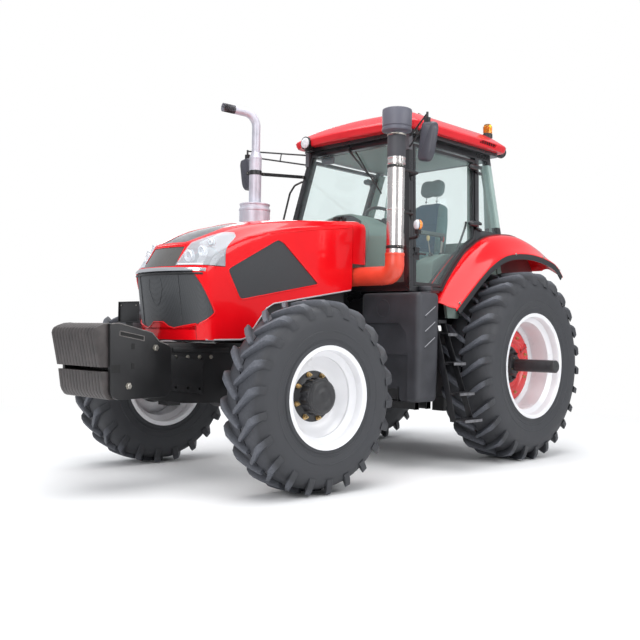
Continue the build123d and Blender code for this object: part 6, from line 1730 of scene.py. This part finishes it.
for x, radius in ((-0.105, 0.045), (0, 0.055), (0.105, 0.045)):
    dials.lathe([(0.002, 0), (0.002, radius - 0.004), (0.006, radius - 0.002), (0.006, radius),
                 (-0.004, radius + 0.003), (-0.004, 0)], "y", (x, 0, 0), dial_face, 36)
    for k in range(9):
        a = math.radians(-30 + 30 * k)
        out = Vector((math.cos(a), 0, math.sin(a)))
        start = Vector((x, 0.003, 0)) + out * radius * 0.72
        dials.tube([start, start + out * radius * 0.16], 0.0012, dial_mark, 6)
    dials.tube([(x, 0.004, 0), (x - radius * 0.45, 0.004, radius * 0.60)], 0.0015, knob_red, 6)
dial_turn = Matrix.Translation((0, REAR_Y - 1.040, 2.235)) @ Matrix.Rotation(math.radians(-20), 4, "X")
dials.done("chassis", slot="black_plastic", turn=dial_turn)
WHEEL_CENTRE = Vector((0, REAR_Y - 0.820, 2.310))
column = Vector((0, math.sin(math.radians(35)), math.cos(math.radians(35))))
dash.tube([WHEEL_CENTRE - column * 0.375, WHEEL_CENTRE - column * 0.200, WHEEL_CENTRE - column * 0.150,
           WHEEL_CENTRE - column * 0.046], [0.060, 0.052, 0.036, 0.034], satin_black, 28)
dash.tube([WHEEL_CENTRE - column * 0.120 + Vector((-0.035, 0, 0)),
           WHEEL_CENTRE - column * 0.085 + Vector((-0.150, 0, 0))], [0.006, 0.009], satin_black, 10)
dash.done("chassis", ("dash_console",), "black_plastic")

wheel = Piece("steering_wheel_finished")
grip = [(0.0155 * math.sin(2 * math.pi * k / 16), 0.205 + 0.0155 * math.cos(2 * math.pi * k / 16))
        for k in range(16)]
wheel.lathe(grip, "z", (0, 0, 0), satin_black, 72, closed=True)
for k in range(36):
    a = 2 * math.pi * k / 36
    wheel.tube([Vector((math.cos(a) * 0.192, math.sin(a) * 0.192, -0.012)),
                Vector((math.cos(a) * 0.198, math.sin(a) * 0.198, -0.016))], 0.004, satin_black, 6)
wheel.lathe([(-0.044, 0), (-0.044, 0.038), (-0.010, 0.046), (0.004, 0.046), (0.012, 0.040), (0.015, 0.020),
             (0.015, 0)], "z", (0, 0, 0), satin_black, 40)
for angle in (90, 210, 330):
    a = math.radians(angle)
    out, aside = Vector((math.cos(a), math.sin(a), 0)), Vector((-math.sin(a), math.cos(a), 0))
    corners = [(-1, -0.004), (1, -0.004), (1, 0.004), (-1, 0.004)]
    wheel.loft([[out * r + aside * w * t + Vector((0, 0, z + d)) for t, d in corners]
                for r, w, z in ((0.035, 0.018, -0.006), (0.120, 0.012, -0.010), (0.196, 0.015, -0.002))],
               satin_black)
spin = Matrix.Translation(WHEEL_CENTRE) @ Vector((0, 0, 1)).rotation_difference(column).to_matrix().to_4x4()
wheel.done("steering_wheel", ("steering_wheel",), "black_plastic", turn=spin)

levers = Piece("side_console")
levers.prism(rounded(from_axle([(-0.800, 1.336), (-0.250, 1.336), (-0.200, 1.960), (-0.560, 1.985),
                                (-0.780, 1.900)]), 0.05, 4), "x", 0.360, 0.560, trim_green)
levers.broken(0.012, 3, math.radians(40))
LEVERS = [(0.430, -0.640, 1.960, -0.04, knob_cream), (0.490, -0.560, 1.965, 0.02, satin_black),
          (0.430, -0.470, 1.970, 0.03, knob_red)]
for x, y, z, lean, finish in LEVERS:
    foot = Vector((x, REAR_Y + y, z))
    top = foot + Vector((0, lean, 0.150))
    levers.lathe([(0, 0.024), (0.012, 0.022), (0.030, 0.010), (0.030, 0), (0, 0)], "z", foot, satin_black,
                 20)
    levers.tube([foot, top], 0.006, zinc, 10)
    levers.lathe([(-0.006, 0), (-0.006, 0.009), (0.008, 0.015), (0.030, 0.017), (0.044, 0.012), (0.048, 0)],
                 "z", top, finish, 20)
levers.done("chassis", slot="cab_plastic")

# ------------------------------------------------------------------ roof
# A moulded red roof shell with a rolled edge sits over a black headliner, which shows as a dark
# band under it. Lamp pods are let into its front corners, and air grilles into its rear sides.
roof_red = surface("roof_gloss_red", (0.62, 0.020, 0.028), 0.25, coat=0.25, shine=0.12, mottle=0.04,
                   grain=0.06, uneven=0.05)
ROOF_LOW, ROOF_EDGE, ROOF_TOP = 3.045, 3.120, 3.250


def roof_ring(z, inset, corner=0.09, bow=0.070, side=0.780):
    """The roof's plan at a height: bowed front edge, rounded corners."""
    x, front, rear = side - inset, REAR_Y - 1.360 + inset, REAR_Y + 0.190 - inset
    steps = 12
    line = [(-x + 2 * x * k / steps, front - bow * (1 - (1 - 2 * k / steps) ** 2))
            for k in range(steps + 1)]
    line += [(x, rear), (-x, rear)]
    return [Vector((a, b, z)) for a, b in rounded(line, min(corner, x * 0.4), 5)]


roof = Piece("roof_shell")
rings = [(ROOF_LOW + 0.002, 0.060), (ROOF_LOW, 0.030), (ROOF_LOW + 0.004, 0.018), (ROOF_LOW + 0.016, 0.011),
         (ROOF_LOW + 0.040, 0.004), (ROOF_EDGE - 0.018, 0.001), (ROOF_EDGE - 0.004, 0.008),
         (ROOF_EDGE + 0.008, 0.022), (ROOF_EDGE + 0.060, 0.085), (ROOF_EDGE + 0.100, 0.145),
         (ROOF_TOP - 0.012, 0.180), (ROOF_TOP - 0.003, 0.215), (ROOF_TOP, 0.260)]
roof.loft([roof_ring(z, inset) for z, inset in rings], roof_red)
pods = Piece("roof_pockets")
for s in (-1, 1):
    pods.prism(from_axle([(-0.340, 3.076), (-0.060, 3.066), (-0.040, 3.102), (-0.290, 3.112)]), "x",
               *sorted((s * 0.760, s * 0.840)), roof_red)
shell = carved(roof.plain(), pods.plain(), "DIFFERENCE")
roof = Piece("roof_shell")
roof.take(shell, roof_red)
for s in (-1, 1):
    for k in range(7):
        y = REAR_Y - 0.300 + k * 0.038
        roof.block(sorted((s * 0.757, s * 0.772)), (y - 0.003, y + 0.003), (3.078, 3.106), satin_black)
for x in (-0.45, 0, 0.45):
    roof.block((x - 0.055, x + 0.055), (REAR_Y - 1.02, REAR_Y - 0.12),
               (ROOF_TOP - 0.012, ROOF_TOP - 0.0005), roof_red)
liner = [(-0.705, REAR_Y - 1.300), (0.705, REAR_Y - 1.300), (0.705, REAR_Y + 0.120),
         (-0.705, REAR_Y + 0.120)]
roof.prism(rounded(liner, 0.05, 4), "z", 3.010, ROOF_LOW + 0.010, cab_black)
eye_y = REAR_Y - 0.945
for x in (0.500, -0.500):
    eye = [(x + 0.024 * math.cos(a), eye_y, 3.262 + 0.024 * math.sin(a))
           for a in (math.pi * j / 12 for j in range(25))]
    roof.tube(eye, 0.0065, zinc, 10)
    roof.lathe([(3.205, 0), (3.205, 0.024), (3.232, 0.020), (3.240, 0.010), (3.240, 0)], "z", (x, eye_y, 0),
               zinc, 20)
roof.done("chassis", ("cab_roof",), "roof_plastic")

# ------------------------------------------------------------------ lamps and beacon
# Round work lamps look out of the roof's front corners and hang in pods at its rear. Turn lamps
# stand on black arms at the front pillars, tail lamps sit on the rear wall, and an amber beacon
# stands on the roof.
amber = clear("amber_lens", (1.0, 0.36, 0.03), 0.10, 0.92)
red_lens = clear("red_lens", (0.80, 0.02, 0.02), 0.10, 0.92)
frosted = surface("frosted_lens", (0.66, 0.67, 0.70), 0.16, coat=1.0, mottle=0.05, grain=0.3,
                  grain_scale=160)
amber_body = surface("amber_lens_body", (0.90, 0.27, 0.02), 0.18, coat=1.0, mottle=0.08, grain=0.3,
                     grain_scale=160)
lights = Piece("lamps_finished")
for s in (-1, 1):
    front, x, z = REAR_Y - 1.412, s * 0.560, 3.078
    lights.lathe([(front + 0.090, 0), (front + 0.090, 0.050), (front + 0.020, 0.064),
                  (front - 0.002, 0.064), (front - 0.006, 0.060), (front - 0.002, 0.055),
                  (front + 0.004, 0)], "y", (x, 0, z), satin_black, 40)
    lights.lathe([(front + 0.004, 0), (front, 0.0555), (front - 0.010, 0.050), (front - 0.017, 0.034),
                  (front - 0.020, 0.014), (front - 0.0205, 0)], "y", (x, 0, z), frosted, 40)
    for k in range(10):
        a = 2 * math.pi * k / 10
        lights.tube([(x + 0.020 * math.cos(a), front - 0.0198, z + 0.020 * math.sin(a)),
                     (x + 0.050 * math.cos(a), front - 0.0106, z + 0.050 * math.sin(a))], 0.0016, frosted,
                    6)
    lights.prism([(x - s * 0.075, z + 0.030), (x + s * 0.060, z + 0.030), (x + s * 0.050, z - 0.066),
                  (x - s * 0.010, z - 0.075)], "y", front + 0.040, front + 0.075, satin_black)
    rear, z = REAR_Y + 0.190, ROOF_EDGE - 0.030
    lights.lathe([(rear - 0.030, 0), (rear - 0.030, 0.020), (rear + 0.006, 0.024), (rear + 0.016, 0.046),
                  (rear + 0.040, 0.055), (rear + 0.080, 0.055), (rear + 0.085, 0.050),
                  (rear + 0.082, 0.038), (rear + 0.082, 0)], "y", (s * 0.640, 0, z), satin_black, 36)
    lights.lathe([(rear + 0.081, 0), (rear + 0.081, 0.0375), (rear + 0.084, 0.036), (rear + 0.086, 0.015),
                  (rear + 0.086, 0)], "y", (s * 0.640, 0, z), frosted, 36)
    x, y, z = s * 0.900, REAR_Y - 1.443, 2.146
    twist = Matrix.Translation((x, y, z)) @ Matrix.Rotation(math.radians(-s * 32), 4, "Z")
    for way, finish in ((-1, frosted), (1, amber_body)):
        dome = Piece("dome")
        dome.lathe([(way * a, r) for a, r in ((0.001, 0), (0.001, 0.046), (0.012, 0.0455), (0.026, 0.038),
                                              (0.036, 0.024), (0.040, 0))], "y", (0, 0, 0), finish, 36)
        lights.take(dome.plain(), finish, twist)
    collar = Piece("collar")
    collar.lathe([(-0.003, 0.044), (-0.003, 0.0472), (0.003, 0.0472), (0.003, 0.044)], "y", (0, 0, 0),
                 satin_black, 36, closed=True)
    lights.take(collar.plain(), satin_black, twist)
    lights.block(sorted((x - 0.020, x + 0.020)), (y - 0.020, y + 0.020), (z - 0.080, z - 0.046),
                 satin_black)
    foot = (s * (cab_x(z - 0.11) - 0.020), cab_front(z - 0.11) + 0.020, z - 0.110)
    lights.tube(elbowed([(x, y, z - 0.060), (x, y, z - 0.110), foot], 0.03, 5), 0.013, satin_black, 12)
    lights.block(sorted((s * 0.500, s * 0.640)), (REAR_Y + 0.100, REAR_Y + 0.128), (2.060, 2.160),
                 satin_black)
    lights.block(sorted((s * 0.506, s * 0.568)), (REAR_Y + 0.126, REAR_Y + 0.144), (2.066, 2.154), red_lens)
    lights.block(sorted((s * 0.572, s * 0.634)), (REAR_Y + 0.126, REAR_Y + 0.144), (2.066, 2.154), amber)
BEACON_LINE = (0.600, REAR_Y + 0.064, 0)
lights.lathe([(3.215, 0), (3.215, 0.050), (3.252, 0.050), (3.256, 0.046), (3.262, 0.046), (3.262, 0)], "z",
             BEACON_LINE, satin_black, 40)
lights.lathe([(3.2615, 0), (3.2615, 0.046), (3.330, 0.044), (3.350, 0.038), (3.358, 0.024), (3.360, 0)],
             "z", BEACON_LINE, amber, 40)
for k in range(9):
    z = 3.268 + 0.0075 * k
    lights.lathe([(z - 0.0015, 0.044), (z, 0.0472), (z + 0.0015, 0.044)], "z", BEACON_LINE, amber, 40,
                 closed=True)
lights.done("chassis", ("lamps",), "lamp_lens")

# ------------------------------------------------------------------ rear fenders
# Moulded red fenders follow the rear tyres from the steps to the tail. A black rubber lip runs
# round the outer edge, a black seal against the cab, and a skirt closes the inner side in a
# darker red, painted shade under the fender.
SEAL_LINE = [(-1.150, 1.450), (-0.965, 1.660), (-0.790, 1.820), (-0.578, 1.986), (-0.280, 2.145),
             (0.055, 2.205), (0.330, 2.190), (0.640, 2.080), (0.830, 1.900)]
LIP_LINE = [(-1.070, 1.430), (-0.919, 1.556), (-0.701, 1.732), (-0.507, 1.866), (-0.270, 1.971),
            (0.022, 2.015), (0.330, 2.010), (0.657, 1.950), (0.815, 1.840)]
# the fender's red darkened for the inner skirt and the strip by the seal: painted shade
skirt_red_painted_shade = surface("inner_skirt_red", (0.16, 0.012, 0.014), 0.5, mottle=0.3)
lip_rubber = surface("fender_lip_rubber", (0.016, 0.016, 0.018), 0.5)
seal_line, lip_line = curve_through(SEAL_LINE, 5), curve_through(LIP_LINE, 5)
ARCH_STEPS = 9
fender_rows = []
for (sy, sz), (ly, lz) in zip(seal_line, lip_line):
    row = [(0.690, sy, sz), (0.780, sy, sz)]
    for k in range(ARCH_STEPS + 1):
        t = k / ARCH_STEPS
        swell = 0.030 * math.sin(math.pi * t) + 0.012 * math.sin(2 * math.pi * t)
        row.append((0.800 + 0.245 * t, sy + (ly - sy) * t, sz + (lz - sz) * t + swell))
    row += [(1.056, ly, lz - 0.010), (1.060, ly, lz - 0.026)]
    fender_rows.append(row)
fender = Piece("rear_fenders")
wide = len(fender_rows[0])
arched = bmesh.new()
grid = [arched.verts.new(p) for row in fender_rows for p in row]
for r in range(len(fender_rows) - 1):
    for k in range(wide - 1):
        arched.faces.new([grid[i] for i in (r * wide + k, r * wide + k + 1, (r + 1) * wide + k + 1,
                                            (r + 1) * wide + k)])
fender.take(thickened(arched, 0.010), gloss_red)


def rail(piece, line, x, width, height, drop, finish):
    """A strip that follows a line along the fender, with a rectangular section."""
    rings = []
    for i, (y, z) in enumerate(line):
        a, b = line[max(i - 1, 0)], line[min(i + 1, len(line) - 1)]
        n = math.hypot(b[0] - a[0], b[1] - a[1])
        up = (-(b[1] - a[1]) / n, (b[0] - a[0]) / n)
        section = [(-width / 2, -drop), (width / 2, -drop), (width / 2, height - drop),
                   (-width / 2, height - drop)]
        rings.append([(x + dx, REAR_Y + y + up[0] * h, z + up[1] * h) for dx, h in section])
    piece.loft(rings, finish)


rail(fender, lip_line, 1.0565, 0.010, 0.052, 0.070, lip_rubber)
rail(fender, lip_line, 1.045, 0.030, 0.006, 0.030, lip_rubber)
rail(fender, seal_line, 0.752, 0.084, 0.012, 0.004, lip_rubber)
rail(fender, seal_line, 0.808, 0.012, 0.012, 0.004, skirt_red_painted_shade)
skirt = [(0.815, 1.893), (0.760, 1.800), (0.480, 1.700), (0.260, 1.400), (0.220, 1.330), (0.100, 1.330)]
skirt = [(y, z - 0.004) for y, z in seal_line if 0.1 < y < 0.815] + skirt
fender.prism([(REAR_Y + y, z) for y, z in skirt], "x", 0.664, 0.694, skirt_red_painted_shade)
for y, z in ((-1.02, 1.475), (-0.10, 1.985), (0.42, 1.995), (0.74, 1.885)):
    fender.lathe([(1.0600, 0), (1.0625, 0.010), (1.060, 0.012), (1.050, 0.012)], "x", (0, REAR_Y + y, z),
                 zinc, 16)
fender.mirrored()
fender.done("chassis", ("fenders",), "red_paint")

# ------------------------------------------------------------------ mirrors, wiper and grab rod
# Each mirror head is a padded black shell round its glass, on two bent steel rods from the front
# pillar. The wiper hangs from the header, and a thin grab rod stands by the right pillar.
mirror_black = surface("mirror_shell_black", (0.045, 0.045, 0.058), 0.38, mottle=0.1)
bracket_grey = surface("bracket_grey", (0.090, 0.090, 0.100), 0.45, mottle=0.2)
mirror_glass = surface("mirror_silvering", (0.75, 0.77, 0.80), 0.04, metallic=1.0, mottle=0.02, grain=0.0)
MIRROR = Vector((1.150, REAR_Y - 1.660, 2.800))
mirror = Piece("mirror_pair")
shape = rounded([(-0.070, -0.165), (0.050, -0.165), (0.078, -0.100), (0.082, 0.120), (0.060, 0.165),
                 (-0.072, 0.165)], 0.045, 5)
levels = [(-0.034, 0.035), (-0.024, 0.012), (-0.004, 0.0), (0.026, 0.0), (0.034, 0.006), (0.034, 0.012)]
lean = math.radians(9)


def leant(outline):
    """The outline on the leaning mirror, in x and z."""
    return [(MIRROR.x + x * math.cos(lean) + z * math.sin(lean),
             MIRROR.z + z * math.cos(lean) - x * math.sin(lean)) for x, z in outline]


mirror.loft([[(x, MIRROR.y + y, z) for x, z in leant(drawn_in(shape, inset))] for y, inset in levels],
            mirror_black)
mirror.prism(leant(drawn_in(shape, 0.014)), "y", MIRROR.y + 0.0335, MIRROR.y + 0.0350, mirror_glass)
top = MIRROR + Vector((0, 0, 0.235))
rods = [(2.985, top), (2.885, MIRROR + Vector((0, 0, 0.180)))]
for z, joint in rods:
    foot = Vector((cab_x(z) - 0.020, cab_front(z) + 0.025, z))
    mirror.tube([foot, foot.lerp(joint, 0.94), joint], 0.008, satin_black, 12)
mirror.tube([MIRROR + Vector((0, 0, 0.120)), top + Vector((0, 0, 0.012))], 0.010, satin_black, 16)
mirror.tube([Vector((cab_x(z), cab_front(z), z)).lerp(joint, 0.45) for z, joint in rods], 0.006,
            satin_black, 10)
x, y = cab_x(2.935), cab_front(2.935)
mirror.block((x - 0.030, x + 0.016), (y - 0.020, y + 0.030), (2.865, 3.005), bracket_grey)
mirror.block((MIRROR.x - 0.022, MIRROR.x + 0.022), (MIRROR.y - 0.016, MIRROR.y + 0.016),
             (MIRROR.z + 0.145, MIRROR.z + 0.200), satin_black)
mirror.mirrored()
mirror.done("chassis", ("mirrors",), "black_plastic")

wiper = Piece("wiper_and_grab_rod")


def on_screen(x, z, off=0.012):
    """A point ahead of the windscreen."""
    return Vector((x, cab_front(z) - off, z))


wiper.lathe([(-0.03, 0), (-0.03, 0.018), (0.020, 0.018), (0.026, 0.012), (0.026, 0)], "y",
            on_screen(-0.080, 2.965, 0.0), satin_black, 24)
arm = [on_screen(-0.080, 2.962, 0.022), on_screen(-0.010, 2.900, 0.030), on_screen(0.150, 2.750, 0.026),
       on_screen(0.215, 2.690, 0.020)]
wiper.tube(arm, [0.012, 0.010, 0.008, 0.007], satin_black, 10)
blade = [on_screen(0.010, 2.930, 0.010), on_screen(0.215, 2.690, 0.012), on_screen(0.410, 2.480, 0.010)]
wiper.tube(blade, 0.007, satin_black, 8)
wiper.tube([p + Vector((0, -0.007, 0.003)) for p in blade], 0.0045, satin_black, 8)
grab = [(-cab_x(z) - out, cab_front(z) - ahead, height) for z, out, ahead, height in
        ((2.200, 0.095, 0.060, 2.120), (2.600, 0.085, 0.055, 2.600), (2.680, 0.060, 0.040, 2.680),
         (2.720, 0.004, -0.004, 2.720))]
wiper.tube(elbowed(grab, 0.05, 6), 0.010, satin_black, 12)
wiper.tube([Vector(grab[0]), Vector((-cab_x(2.120) - 0.002, cab_front(2.120) + 0.010, 2.120))], 0.008,
           satin_black, 12)
inner = Vector((-0.440, cab_front(2.90) + 0.075, 2.915))
wiper.tube([inner + Vector((0, 0, 0.070)), inner], 0.006, satin_black, 10)
shape = rounded([(-0.075, -0.036), (0.075, -0.036), (0.085, 0.036), (-0.085, 0.036)], 0.02, 4)
wiper.prism([(inner.x + x, inner.z + z) for x, z in shape], "y", inner.y - 0.006, inner.y + 0.016,
            mirror_black)
wiper.done("chassis", slot="black_plastic")

# ------------------------------------------------------------------ three-point linkage
# Forged lower links with ball eyes, lift arms on their cross shaft, and threaded lift rods
# between them, all painted black.
link_black = surface("link_black_paint", (0.016, 0.016, 0.017), 0.42, mottle=0.35, mottle_scale=18,
                     grain=0.4)
for name, body in (("lower_links", "lower_links"), ("lift_arms", "lift_arms"), ("lift_rods", "lift_rods")):
    softened(name, link_black, 0.004, body)

# ------------------------------------------------------------------ front axle and steering
# The cast axle beam hangs on the frame's pivot block, with a round differential case in its
# middle and yokes at its ends. The swivel housings turn on kingpins, and a tie rod joins them.
softened("front_axle", casting, 0.008)
for side in ("left", "right"):
    softened("knuckle_" + side, casting, 0.006, "knuckle_" + side)
softened("tie_rod", link_black, 0.003, "tie_rod")

# ------------------------------------------------------------------ sizes and finish
low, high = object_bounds()
